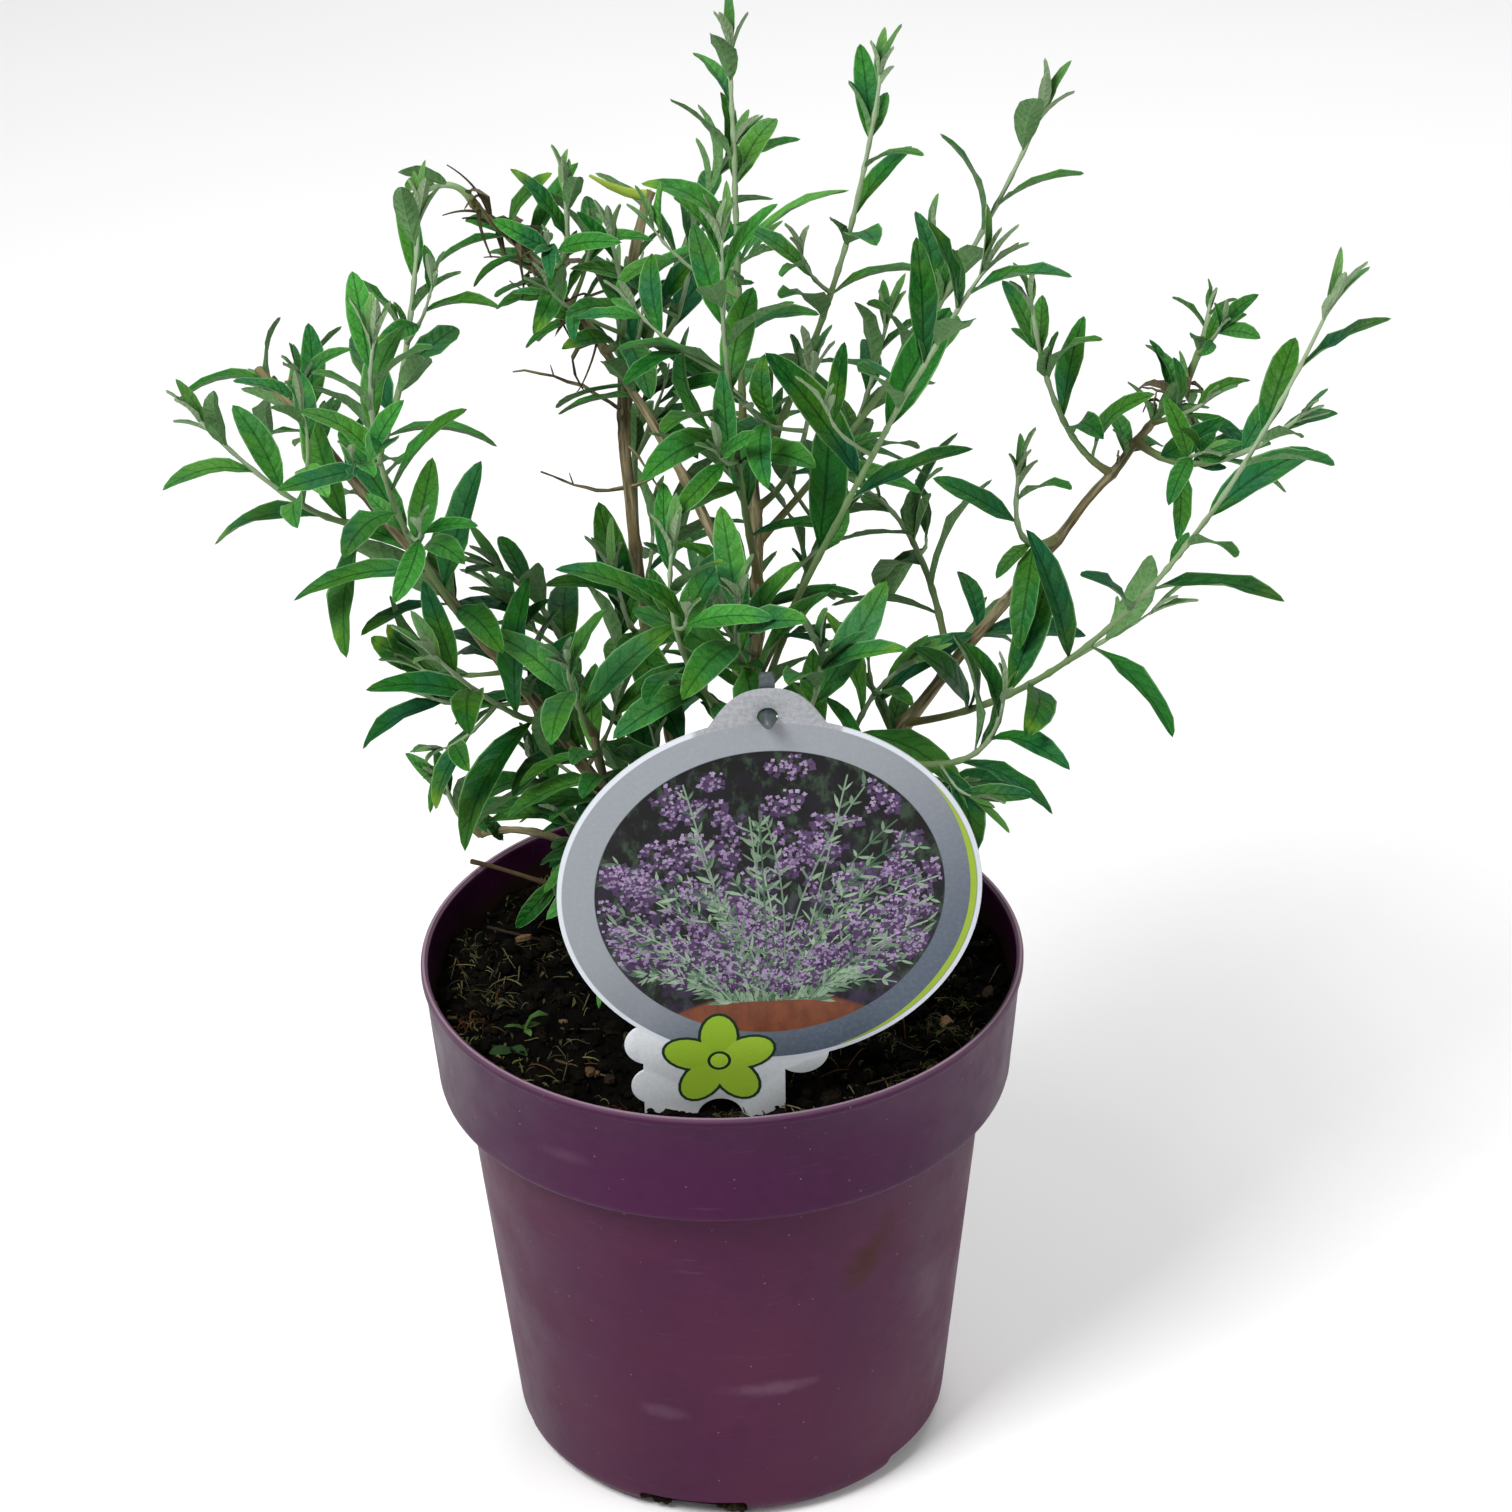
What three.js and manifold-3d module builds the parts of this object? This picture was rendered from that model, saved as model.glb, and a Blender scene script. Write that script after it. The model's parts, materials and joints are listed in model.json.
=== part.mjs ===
// Potted fountain butterfly bush: arching leafy shoots on a short many-stemmed stump, in a collared
// nursery pot with a round plant label on a stake.
// Millimetres, +Z up. The origin is the middle of the pot's flat underside, and the label faces -Y.

import * as THREE from "three";
import { OBB } from "three/addons/math/OBB.js";
import { mergeVertices } from "three/addons/utils/BufferGeometryUtils.js";
import Module from "manifold-3d";

const wasm = await Module();
wasm.setup();

// Clearance between neighbouring pieces.
const SEAT = 0.3;

// The pot: a tapered body under a wider collar, one wall thickness throughout.
const POT = {
  height: 173,
  wall: 1.4,
  floor: 2,
  footRadius: 63,
  cornerRadius: 70,
  cornerHeight: 8,
  bodyTopRadius: 83,
  collarRadius: 91,
  collarHeight: 41,
  rimRadius: 95,
  lipHeight: 3.4,
  lipFlare: 0.9,
  segments: 32,
};
const NOTCH = { count: 5, width: 35, height: 4.2, depth: 12, firstAngle: -11 };

// The compost: its level, the level patch round the stump, and its unevenness.
const SOIL = { level: 157, rings: 4, patch: 13, blend: 12, swell: 1.9 };

// The stump, flared at the compost and leaning a little back.
const STUMP = { bottom: 157.4, top: 187, foot: 10.5, neck: 7.2, crown: 5.6, lean: [1.5, 3] };

// The label: a disc with a lobe for the stake's pin and a lobed foot, leaning out over the rim.
const LABEL = {
  centre: [15.2, -75, 239.7],
  yaw: 2.5,
  lean: 5,
  radius: 63,
  thickness: 0.8,
  pinHeight: 64,
  capTop: 73.6,
  capWidth: 21,
  holeRadius: 3.2,
};
const FOOT = { left: -41, right: 4, top: -42, bottom: -88, archRadius: 7, archX: -16 };
const STAKE = { width: 4.6, thickness: 2.4, top: 77.5, bottom: -122, pinRadius: 2.6, pinLength: 5.2 };

// Woody boughs: parent, place on it (a point on the stump's axis or a share of the parent bough),
// tip, sideways bow of the middle, and radii at root and tip.
const BOUGHS = [
  { name: "bough_back", from: "stump", at: 0.66,
    tip: [-17, 95, 391], bow: [-18, 12, 22], radii: [3.1, 2.1] },
  { name: "bough_left", from: "stump", at: 0.58,
    tip: [-136, 32, 363], bow: [-12, -18, 33], radii: [3.1, 1.9] },
  { name: "bough_right", from: "stump", at: 0.6,
    tip: [145, 42, 348], bow: [21, -8, 33], radii: [3.1, 1.4] },
  { name: "bough_centre", from: "stump", at: 0.8,
    tip: [10, 30, 337], bow: [8, -5, 30], radii: [3.2, 1.9] },
  { name: "bough_low_left", from: "stump", at: 0.34,
    tip: [-77, 48, 188], bow: [-4, 2, 16], radii: [2.2, 1.4] },
  { name: "bough_front_left", from: "stump", at: 0.48,
    tip: [-37, -28, 269], bow: [-7, -4, -2], radii: [2.4, 1.6] },
  { name: "bough_front", from: "stump", at: 0.62,
    tip: [16, -16, 275], bow: [-2, -10, 0], radii: [2.6, 1.8] },
  { name: "bough_front_right", from: "stump", at: 0.46,
    tip: [44, -26, 259], bow: [6, -6, -4], radii: [2.4, 1.6] },
  { name: "bough_high_left", from: "bough_centre", at: 0.45,
    tip: [-70, 62, 402], bow: [3, 18, 4], radii: [2.3, 1.4] },
];

// Leafy shoots, one mass each: parent bough, share along it, tip, bow, and how it is clothed.
// leaf is the length of its middle leaves, twigs the number of side twigs, bare the leafless root.
const SHOOTS = [
  { name: "foliage_top", from: "bough_centre", at: 1,
    tip: [8, 52, 469], bow: [0, 1, -1], leaf: 30, twigs: 1, seed: 452 },
  { name: "foliage_upper_right_a", from: "bough_centre", at: 0.85,
    tip: [55, 10, 475], bow: [5, 3, -5], leaf: 31, twigs: 1, seed: 3766 },
  { name: "foliage_upper_right_b", from: "bough_centre", at: 0.35,
    tip: [84, -52, 441], bow: [4, -12, 20], leaf: 37, twigs: 1, bare: 0.24, seed: 3077 },
  { name: "foliage_upper_right_c", from: "bough_centre", at: 0.65,
    tip: [107, 38, 451], bow: [6, 6, -6], leaf: 33, twigs: 1, bare: 0.2, seed: 3085 },
  { name: "foliage_big_arch", from: "bough_right", at: 0.28,
    tip: [183, -61, 430], bow: [5, -14, -22], leaf: 36, twigs: 1, bare: 0.12, seed: 495 },
  { name: "foliage_left_front", from: "bough_left", at: 0.42,
    tip: [-97, -48, 419], bow: [-11, -10, 5], leaf: 31, twigs: 2, seed: 4508 },
  { name: "foliage_high_left", from: "bough_left", at: 0.7,
    tip: [-82, 36, 426], bow: [2, 0, -13], leaf: 28, twigs: 1, seed: 3465 },
  { name: "foliage_far_left", from: "bough_left", at: 0.64,
    tip: [-158, -23, 380], bow: [4, -2, -12], leaf: 32, twigs: 1, seed: 2077 },
  { name: "foliage_centre_tall", from: "bough_centre", at: 0.55,
    tip: [4, -12, 434], bow: [-3, -6, 8], leaf: 31, twigs: 2, seed: 187 },
  { name: "foliage_front_star", from: "bough_front", at: 1,
    tip: [6, -58, 337], bow: [-4, -2, -3], leaf: 36, twigs: 0, spacing: 0.22, seed: 546 },
  { name: "foliage_front_top", from: "bough_front", at: 0.7,
    tip: [36, -52, 318], bow: [6, -5, 2], leaf: 36, twigs: 0, seed: 3510 },
  { name: "foliage_centre_front", from: "bough_front", at: 0.85,
    tip: [-15, -46, 352], bow: [-9, -6, -2], leaf: 34, twigs: 1, seed: 3513 },
  { name: "foliage_front_left", from: "bough_front_left", at: 1,
    tip: [-45, -55, 315], bow: [-1, 0, -1], leaf: 32, twigs: 0, spacing: 0.24, seed: 1279 },
  { name: "foliage_mid_left", from: "bough_left", at: 0.2,
    tip: [-70, 12, 316], bow: [4, 4, 10], leaf: 31, twigs: 1, bare: 0.2, seed: 3533 },
  { name: "foliage_left_low", from: "bough_left", at: 0.3,
    tip: [-90, -46, 312], bow: [2, 0, -6], leaf: 36, twigs: 1, seed: 4596 },
  { name: "foliage_left_tip", from: "bough_left", at: 0.86,
    tip: [-121, 2, 384], bow: [2, 1, -6], leaf: 27, twigs: 0, spacing: 0.24, seed: 2508 },
  { name: "foliage_rim_left", from: "bough_low_left", at: 0.5,
    tip: [-60, -8, 256], bow: [0, -2, -2], leaf: 26, twigs: 0, seed: 4970 },
  { name: "foliage_low_left", from: "bough_low_left", at: 1,
    tip: [-92, 44, 218], bow: [-2, 1, -2], leaf: 26, twigs: 0, spacing: 0.24, seed: 3574 },
  { name: "foliage_centre_left", from: "bough_back", at: 0.33,
    tip: [-34, 18, 304], bow: [0, -4, -8], leaf: 35, twigs: 0, spacing: 0.24, seed: 4289 },
  { name: "foliage_centre_right", from: "bough_centre", at: 0.74,
    tip: [34, -10, 388], bow: [4, 2, -6], leaf: 35, twigs: 1, seed: 3241 },
  { name: "foliage_right_mid", from: "bough_right", at: 0.16,
    tip: [60, -16, 292], bow: [-2, -2, 8], leaf: 34, twigs: 1, bare: 0.2, seed: 3610 },
  { name: "foliage_right_low", from: "bough_front_right", at: 1,
    tip: [96, -50, 295], bow: [9, 0, -12], leaf: 34, twigs: 1, spacing: 0.24, seed: 1367 },
  { name: "foliage_right_inner", from: "bough_right", at: 0.58,
    tip: [88, -8, 350], bow: [-5, -3, -8], leaf: 30, twigs: 0, spacing: 0.26, seed: 3280 },
  { name: "foliage_right_a", from: "bough_right", at: 0.72,
    tip: [92, 15, 398], bow: [-3, 2, -10], leaf: 27, twigs: 0, seed: 2933 },
  { name: "foliage_right_b", from: "bough_right", at: 0.8,
    tip: [184, 2, 357], bow: [-3, -5, -9], leaf: 22, twigs: 1, seed: 1046 },
  { name: "foliage_right_head", from: "bough_right", at: 1,
    tip: [154, 47, 378], bow: [1, -1, 0], leaf: 16, twigs: 1, seed: 360 },
  { name: "foliage_head_left", from: "bough_high_left", at: 0.8,
    tip: [-40, 42, 425], bow: [4, -4, -8], leaf: 26, twigs: 1, seed: 2265 },
  { name: "foliage_head_mid", from: "bough_high_left", at: 0.58,
    tip: [-28, 34, 412], bow: [5, -4, -8], leaf: 26, twigs: 1, seed: 2973 },
  { name: "foliage_head_tip", from: "bough_high_left", at: 1,
    tip: [-92, 66, 408], bow: [1, 0, 4], leaf: 20, twigs: 0, seed: 4735 },
  { name: "foliage_back_high", from: "bough_back", at: 0.72,
    tip: [2, 62, 398], bow: [3, 0, -14], leaf: 33, twigs: 1, seed: 394 },
];

// The rear of the crown: shoots fanned round the back of the stump, each on the bough named.
const REAR = [
  { name: "foliage_rear_left", from: "bough_back", at: 0.42,
    angle: 102, reach: 96, height: 334, twigs: 1, seed: 409 },
  { name: "foliage_rear", from: "bough_back", at: 0.6,
    angle: 84, reach: 132, height: 402, twigs: 1, seed: 3015 },
  { name: "foliage_rear_right", from: "bough_centre", at: 0.28,
    angle: 52, reach: 96, height: 366, twigs: 1, seed: 4078 },
  { name: "foliage_rear_low_right", from: "bough_right", at: 0.36,
    angle: 60, reach: 88, height: 306, twigs: 1, seed: 5139 },
  { name: "foliage_rear_low_left", from: "bough_low_left", at: 0.3,
    angle: 112, reach: 84, height: 262, twigs: 1, seed: 4799 },
];

// Habit of the shoots.
const SHOOT = {
  rootRadius: 1.55,
  tipRadius: 0.75,
  sides: 3,
  steps: 4,
  spacing: 0.29,
  bare: 0.1,
  back: 0.4,
};
const TWIG = {
  least: 20,
  most: 36,
  rootRadius: 0.95,
  tipRadius: 0.6,
  sides: 3,
  steps: 2,
  spacing: 0.4,
  leaf: 0.72,
  lift: 0.1,
};
const LEAF = {
  turn: 137.5,
  turnSpread: 24,
  leanRoot: 64,
  leanTip: 34,
  leanSpread: 16,
  hang: 0.32,
  sizeSpread: 0.3,
  slender: 0.3,
  broad: 0.36,
  thickness: 1.1,
  arch: 0.07,
  widest: 0.45,
  roll: 40,
  sink: 0.4,
};
const BUNCH = { lean: 13, leanStep: 8, size: 0.36, sizeStep: 0.1, below: 1.6 };
const RETRIES = [0, 40, -40, 85];

const BARK = new THREE.MeshStandardMaterial({ color: 0x6d5a49, roughness: 0.9, metalness: 0 });
const GREEN = new THREE.MeshStandardMaterial({ color: 0x3d7a4a, roughness: 0.65, metalness: 0 });
const PLUM = new THREE.MeshStandardMaterial({ color: 0x5b3154, roughness: 0.55, metalness: 0 });
const COMPOST = new THREE.MeshStandardMaterial({ color: 0x2a211c, roughness: 1, metalness: 0 });
const CARD = new THREE.MeshStandardMaterial({ color: 0xb9bec6, roughness: 0.45, metalness: 0 });
const SLATE = new THREE.MeshStandardMaterial({ color: 0x2f3b40, roughness: 0.6, metalness: 0 });

const radians = THREE.MathUtils.degToRad;
const mix = THREE.MathUtils.lerp;

const group = new THREE.Group();
group.name = "potted_fountain_butterfly_bush";

// Solids and meshes.

function solidFrom(geometry) {
  const loose = geometry.index ? geometry.toNonIndexed() : geometry;
  const bare = new THREE.BufferGeometry();
  bare.setAttribute("position", loose.getAttribute("position"));
  const merged = mergeVertices(bare, 1e-3);
  const index = merged.index.array;
  const kept = [];
  for (let i = 0; i < index.length; i += 3) {
    const [a, b, c] = [index[i], index[i + 1], index[i + 2]];
    if (a !== b && b !== c && c !== a) kept.push(a, b, c);
  }
  return new wasm.Manifold(
    new wasm.Mesh({
      numProp: 3,
      vertProperties: new Float32Array(merged.attributes.position.array),
      triVerts: new Uint32Array(kept),
    }),
  );
}

// The largest body of a solid, so that a cut leaves no loose scrap.
function mainBody(solid) {
  const bodies = solid.decompose();
  bodies.sort((a, b) => b.volume() - a.volume());
  return bodies[0];
}

function addPart(name, solid, material) {
  const mesh = mainBody(solid).getMesh();
  const points = new Float32Array(mesh.numVert * 3);
  for (let i = 0; i < mesh.numVert; i += 1) {
    const start = i * mesh.numProp;
    points.set(mesh.vertProperties.subarray(start, start + 3), i * 3);
  }
  const geometry = new THREE.BufferGeometry();
  geometry.setAttribute("position", new THREE.BufferAttribute(points, 3));
  geometry.setIndex(new THREE.BufferAttribute(new Uint32Array(mesh.triVerts), 1));
  geometry.computeVertexNormals();
  const part = new THREE.Mesh(geometry, material);
  part.name = name;
  group.add(part);
}

// A repeatable stream of numbers from 0 to 1.
function seeded(seed) {
  let state = Math.imul(seed, 2654435761) >>> 0;
  return () => {
    state = (Math.imul(state, 1664525) + 1013904223) >>> 0;
    return state / 4294967296;
  };
}

// A limb's centre line: a straight run from root to tip whose middle is pushed aside by the bow.
class Limb {
  constructor(start, tip, bow, rootRadius, tipRadius) {
    this.start = start;
    this.bow = bow;
    this.chord = tip.clone().sub(start);
    this.rootRadius = rootRadius;
    this.tipRadius = tipRadius;
    this.side = this.chord.clone().cross(bow);
    if (this.side.length() < 1e-3) this.side.crossVectors(this.chord, new THREE.Vector3(0, 1, 0));
    this.side.normalize();
  }

  at(share) {
    return this.start
      .clone()
      .addScaledVector(this.chord, share)
      .addScaledVector(this.bow, 4 * share * (1 - share));
  }

  tangent(share) {
    return this.chord
      .clone()
      .addScaledVector(this.bow, 4 * (1 - 2 * share))
      .normalize();
  }

  radius(share) {
    return mix(this.rootRadius, this.tipRadius, share);
  }

  length() {
    return this.chord.length();
  }

  // Solid of the limb, swollen by extra all round and past its ends.
  solid(sides, steps, extra = 0) {
    const geometry = new THREE.CylinderGeometry(1, 1, 1, sides, steps);
    const points = geometry.getAttribute("position");
    for (let i = 0; i < points.count; i += 1) {
      const share = points.getY(i) + 0.5;
      const along = this.tangent(share);
      const other = this.side.clone().cross(along);
      const radius = this.radius(share) + extra;
      const end = share < 0.001 ? -extra : share > 0.999 ? extra : 0;
      const point = this.at(share)
        .addScaledVector(this.side, points.getX(i) * radius)
        .addScaledVector(other, points.getZ(i) * radius)
        .addScaledVector(along, end);
      points.setXYZ(i, point.x, point.y, point.z);
    }
    return solidFrom(geometry);
  }
}

// Space already taken: boxes with an owner. A leaf or twig may only touch its owner's own boxes.
const claimed = [];

function boxOf(owner, centre, x, y, z, half) {
  const turn = new THREE.Matrix3().setFromMatrix4(new THREE.Matrix4().makeBasis(x, y, z));
  return { owner, radius: half.length(), box: new OBB(centre, half, turn) };
}

function isFree(candidate) {
  for (const other of claimed) {
    if (other.owner === candidate.owner) continue;
    const near = candidate.radius + other.radius;
    if (other.box.center.distanceToSquared(candidate.box.center) > near * near) continue;
    if (other.box.intersectsOBB(candidate.box)) return false;
  }
  return true;
}

function limbBoxes(owner, limb, count, from = 0) {
  const boxes = [];
  for (let i = from; i < count; i += 1) {
    const a = limb.at(i / count);
    const b = limb.at((i + 1) / count);
    const run = b.clone().sub(a);
    const half = new THREE.Vector3(run.length() / 2, 1, 1);
    half.y = limb.radius(i / count) + SEAT;
    half.z = half.y;
    const x = run.normalize();
    const y = limb.side.clone();
    const z = x.clone().cross(y).normalize();
    y.crossVectors(z, x);
    boxes.push(boxOf(owner, a.add(b).multiplyScalar(0.5), x, y, z, half));
  }
  return boxes;
}

// A point of the crown keeps above the compost inside the pot, and above the rim outside it.
function clearOfPot(point) {
  const out = Math.hypot(point.x, point.y);
  if (out < POT.rimRadius - 8) return point.z > SOIL.level + 5;
  return point.z > POT.height + 2;
}

// Leaves.

class Leaf {
  constructor(owner, root, along, up, length, width) {
    this.root = root;
    this.along = along;
    this.length = length;
    this.width = width;
    this.normal = up.clone().addScaledVector(along, -up.dot(along)).normalize();
    this.side = this.normal.clone().cross(along);
    this.rise = LEAF.arch * length;
    const depth = this.rise + LEAF.thickness;
    const centre = root
      .clone()
      .addScaledVector(along, length / 2)
      .addScaledVector(this.normal, this.rise / 2);
    const half = new THREE.Vector3(length / 2 + SEAT, width / 2 + SEAT, depth / 2 + SEAT);
    this.claim = boxOf(owner, centre, along, this.side, this.normal, half);
  }

  point(share, across) {
    return this.root
      .clone()
      .addScaledVector(this.along, this.length * share)
      .addScaledVector(this.side, this.width * across);
  }

  fits() {
    const points = [this.point(0.45, -0.5), this.point(0.45, 0.5), this.point(1, 0)];
    return points.every(clearOfPot) && isFree(this.claim);
  }

  // A thin six-faced blade with a ridge on top, arched along its length, its root sunk in the stem.
  solid() {
    const geometry = new THREE.SphereGeometry(1, 3, 2);
    const points = geometry.getAttribute("position");
    for (let i = 0; i < points.count; i += 1) {
      const end = Math.round(points.getY(i));
      const x = end < 0 ? 0 : end > 0 ? this.length : LEAF.widest * this.length;
      const y = (-points.getZ(i) / Math.sin(Math.PI / 3)) * (this.width / 2);
      const ridge = points.getX(i) < -0.5 ? LEAF.thickness : 0;
      const z = end === 0 ? this.rise + ridge : 0;
      points.setXYZ(i, x, y, z);
    }
    const pose = new THREE.Matrix4().makeBasis(this.along, this.side, this.normal);
    geometry.applyMatrix4(pose.setPosition(this.root));
    return solidFrom(geometry);
  }
}

// Places one leaf on a limb, trying a few turns about it before it is left out.
function placeLeaf(owner, limb, share, turn, lean, hang, length, random) {
  const tangent = limb.tangent(share);
  const width = length * mix(LEAF.slender, LEAF.broad, random());
  const roll = radians((random() - 0.5) * LEAF.roll);
  for (const shift of RETRIES) {
    const out = limb.side.clone().applyAxisAngle(tangent, radians(turn + shift));
    const along = tangent
      .clone()
      .multiplyScalar(Math.cos(radians(lean)))
      .addScaledVector(out, Math.sin(radians(lean)));
    along.z -= hang;
    along.normalize();
    const up = tangent.clone().multiplyScalar(0.6);
    up.z += 0.5;
    up.addScaledVector(along, -up.dot(along)).normalize().applyAxisAngle(along, roll);
    const root = limb.at(share).addScaledVector(along, -LEAF.sink * limb.radius(share));
    const leaf = new Leaf(owner, root, along, up, length, width);
    if (leaf.fits()) {
      claimed.push(leaf.claim);
      return leaf;
    }
  }
  return null;
}

// Clothes a limb with alternate leaves and a bunch of small upright ones at its tip.
function clothe(owner, limb, size, spacing, bare, bunch, random) {
  const leaves = [];
  const count = Math.max(2, Math.round((limb.length() * (1 - bare)) / (size * spacing)));
  const first = random() * 360;
  for (let i = 0; i < count; i += 1) {
    const share = bare + ((0.95 - bare) * (i + 0.4)) / count;
    const turn = first + i * LEAF.turn + (random() - 0.5) * LEAF.turnSpread;
    const lean = mix(LEAF.leanRoot, LEAF.leanTip, share) + (random() - 0.5) * LEAF.leanSpread;
    const hang = LEAF.hang * (1 - share);
    const grown = 0.72 + 0.28 * Math.sin(Math.PI * Math.min(1, 0.15 + share));
    const length = size * grown * (1 + (random() - 0.5) * LEAF.sizeSpread);
    leaves.push(placeLeaf(owner, limb, share, turn, lean, hang, length, random));
  }
  for (let i = 0; i < bunch; i += 1) {
    const share = 1 - ((i + 0.4) * BUNCH.below) / limb.length();
    const turn = first + 60 + i * LEAF.turn;
    const lean = BUNCH.lean + i * BUNCH.leanStep;
    const length = size * (BUNCH.size + i * BUNCH.sizeStep);
    leaves.push(placeLeaf(owner, limb, share, turn, lean, 0, length, random));
  }
  return leaves.filter((leaf) => leaf !== null);
}

// Side twigs of a shoot: short, rising limbs, each left out where its way is taken.
function sproutTwigs(owner, limb, count, random) {
  const twigs = [];
  for (let i = 0; i < count; i += 1) {
    const share = 0.22 + (0.58 * (i + 0.2 + 0.6 * random())) / count;
    const turn = random() * 360;
    const length = mix(TWIG.least, TWIG.most, random());
    const tangent = limb.tangent(share);
    for (const shift of RETRIES) {
      const out = limb.side.clone().applyAxisAngle(tangent, radians(turn + shift));
      const start = limb.at(share);
      const tip = start.clone().addScaledVector(tangent, length * 0.62);
      tip.addScaledVector(out, length * 0.78);
      tip.z += length * 0.12;
      const bow = out.multiplyScalar(length * TWIG.lift);
      const twig = new Limb(start, tip, bow, TWIG.rootRadius, TWIG.tipRadius);
      const boxes = limbBoxes(owner, twig, 3);
      if (boxes.every(isFree) && clearOfPot(tip)) {
        claimed.push(...boxes);
        twigs.push(twig);
        break;
      }
    }
  }
  return twigs;
}

const vector = (values) => new THREE.Vector3(...values);

// Stump and boughs.

const stumpLine = new Limb(
  new THREE.Vector3(0, 0, STUMP.bottom),
  new THREE.Vector3(STUMP.lean[0], STUMP.lean[1], STUMP.top),
  new THREE.Vector3(-0.6, 0, 0),
  STUMP.neck,
  STUMP.crown,
);
stumpLine.radius = (share) =>
  mix(STUMP.neck, STUMP.crown, share) + (STUMP.foot - STUMP.neck) * (1 - share) ** 6;

const limbs = new Map([["stump", stumpLine]]);
for (const bough of BOUGHS) {
  const start = limbs.get(bough.from).at(bough.at);
  limbs.set(bough.name, new Limb(start, vector(bough.tip), vector(bough.bow), ...bough.radii));
}

// The stump's flat foot keeps level on the compost.
function stumpSolid(extra) {
  const body = stumpLine.solid(9, 5, extra);
  const size = 60;
  const slab = new THREE.BoxGeometry(size, size, size);
  slab.translate(0, 0, STUMP.bottom + size / 2 - extra);
  return body.intersect(solidFrom(slab));
}

addPart("stump", stumpSolid(0), BARK);
const swollen = new Map([["stump", stumpSolid(SEAT)]]);
for (const bough of BOUGHS) {
  const limb = limbs.get(bough.name);
  let solid = limb.solid(5, 6);
  for (const other of swollen.values()) solid = solid.subtract(other);
  addPart(bough.name, solid, BARK);
  swollen.set(bough.name, limb.solid(5, 6, SEAT));
}

// Label and stake, drawn flat in their own plane and then posed.

const labelPose = new THREE.Matrix4().makeRotationFromEuler(
  new THREE.Euler(radians(90 + LABEL.lean), 0, radians(LABEL.yaw), "ZXY"),
);
labelPose.setPosition(...LABEL.centre);

function sheet(shape, front, back) {
  const geometry = new THREE.ExtrudeGeometry(shape, {
    depth: front - back,
    bevelEnabled: false,
    curveSegments: 4,
  });
  geometry.translate(0, 0, back);
  return solidFrom(geometry.applyMatrix4(labelPose));
}

function disc(x, y, radius) {
  const shape = new THREE.Shape();
  shape.absarc(x, y, radius, 0, Math.PI * 2);
  return shape;
}

function block(left, right, bottom, top) {
  const shape = new THREE.Shape();
  shape.moveTo(left, bottom);
  shape.lineTo(right, bottom);
  shape.lineTo(right, top);
  shape.lineTo(left, top);
  return shape;
}

// The lobe that carries the pin hole, swept into the disc by its shoulders.
function capShape() {
  const shape = new THREE.Shape();
  const half = LABEL.capWidth;
  const low = LABEL.radius - 8;
  shape.moveTo(-half, low);
  shape.bezierCurveTo(-half * 0.7, low + 8, -half * 0.6, LABEL.capTop, 0, LABEL.capTop);
  shape.bezierCurveTo(half * 0.6, LABEL.capTop, half * 0.7, low + 8, half, low);
  return shape;
}

// The foot: a tab with rounded lobes beside it and an arch between its two legs.
function footSolid(front, back) {
  const thirds = (FOOT.right - FOOT.left) / 3;
  return sheet(block(FOOT.left + 2, FOOT.right, FOOT.bottom, FOOT.top), front, back)
    .add(sheet(disc(FOOT.left + 4, FOOT.top - 13, thirds / 2), front, back))
    .add(sheet(disc(FOOT.left + 5, FOOT.top - 29, thirds / 2.2), front, back))
    .add(sheet(disc(FOOT.right + 5, FOOT.top - 18, thirds / 1.8), front, back))
    .subtract(sheet(disc(FOOT.archX, FOOT.bottom + 4, FOOT.archRadius), front + 1, back - 1));
}

const plateRim = new THREE.Shape();
plateRim.absarc(0, 0, LABEL.radius, 0, Math.PI * 2);
const plateBack = -LABEL.thickness;
const circle = new THREE.ExtrudeGeometry(plateRim, {
  depth: LABEL.thickness,
  bevelEnabled: false,
  curveSegments: 20,
});
circle.translate(0, 0, plateBack);
const plate = solidFrom(circle.applyMatrix4(labelPose))
  .add(sheet(capShape(), 0, plateBack))
  .add(footSolid(0, plateBack))
  .subtract(sheet(disc(0, LABEL.pinHeight, LABEL.holeRadius), 1, plateBack - 1));
addPart("label_plate", plate, CARD);

const stakeFront = plateBack - SEAT;
const stakeBack = stakeFront - STAKE.thickness;
const stakeShape = new THREE.Shape();
stakeShape.moveTo(0, STAKE.bottom);
stakeShape.lineTo(STAKE.width / 2, STAKE.bottom + 12);
stakeShape.lineTo(STAKE.width / 2, STAKE.top);
stakeShape.lineTo(-STAKE.width / 2, STAKE.top);
stakeShape.lineTo(-STAKE.width / 2, STAKE.bottom + 12);
const pin = new THREE.CylinderGeometry(0.8, STAKE.pinRadius, STAKE.pinLength, 12);
pin.translate(0, STAKE.pinLength / 2, 0);
const pinNeck = new THREE.CylinderGeometry(STAKE.pinRadius, STAKE.pinRadius, 3, 12);
pinNeck.translate(0, -1.4, 0);
const pinPose = labelPose
  .clone()
  .multiply(new THREE.Matrix4().makeTranslation(0, LABEL.pinHeight, 0))
  .multiply(new THREE.Matrix4().makeRotationX(Math.PI / 2));
const stake = sheet(stakeShape, stakeFront, stakeBack)
  .add(solidFrom(pin.applyMatrix4(pinPose)))
  .add(solidFrom(pinNeck.applyMatrix4(pinPose)));
addPart("label_stake", stake, SLATE);

// Space kept by the label, so that no leaf passes through it.
const faceX = new THREE.Vector3();
const faceY = new THREE.Vector3();
const faceZ = new THREE.Vector3();
labelPose.extractBasis(faceX, faceY, faceZ);
const labelMiddle = vector(LABEL.centre).addScaledVector(faceZ, -2);
const labelHalf = new THREE.Vector3(LABEL.radius, LABEL.capTop + 4, 3);
claimed.push(boxOf("label", labelMiddle, faceX, faceY, faceZ, labelHalf));

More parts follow.
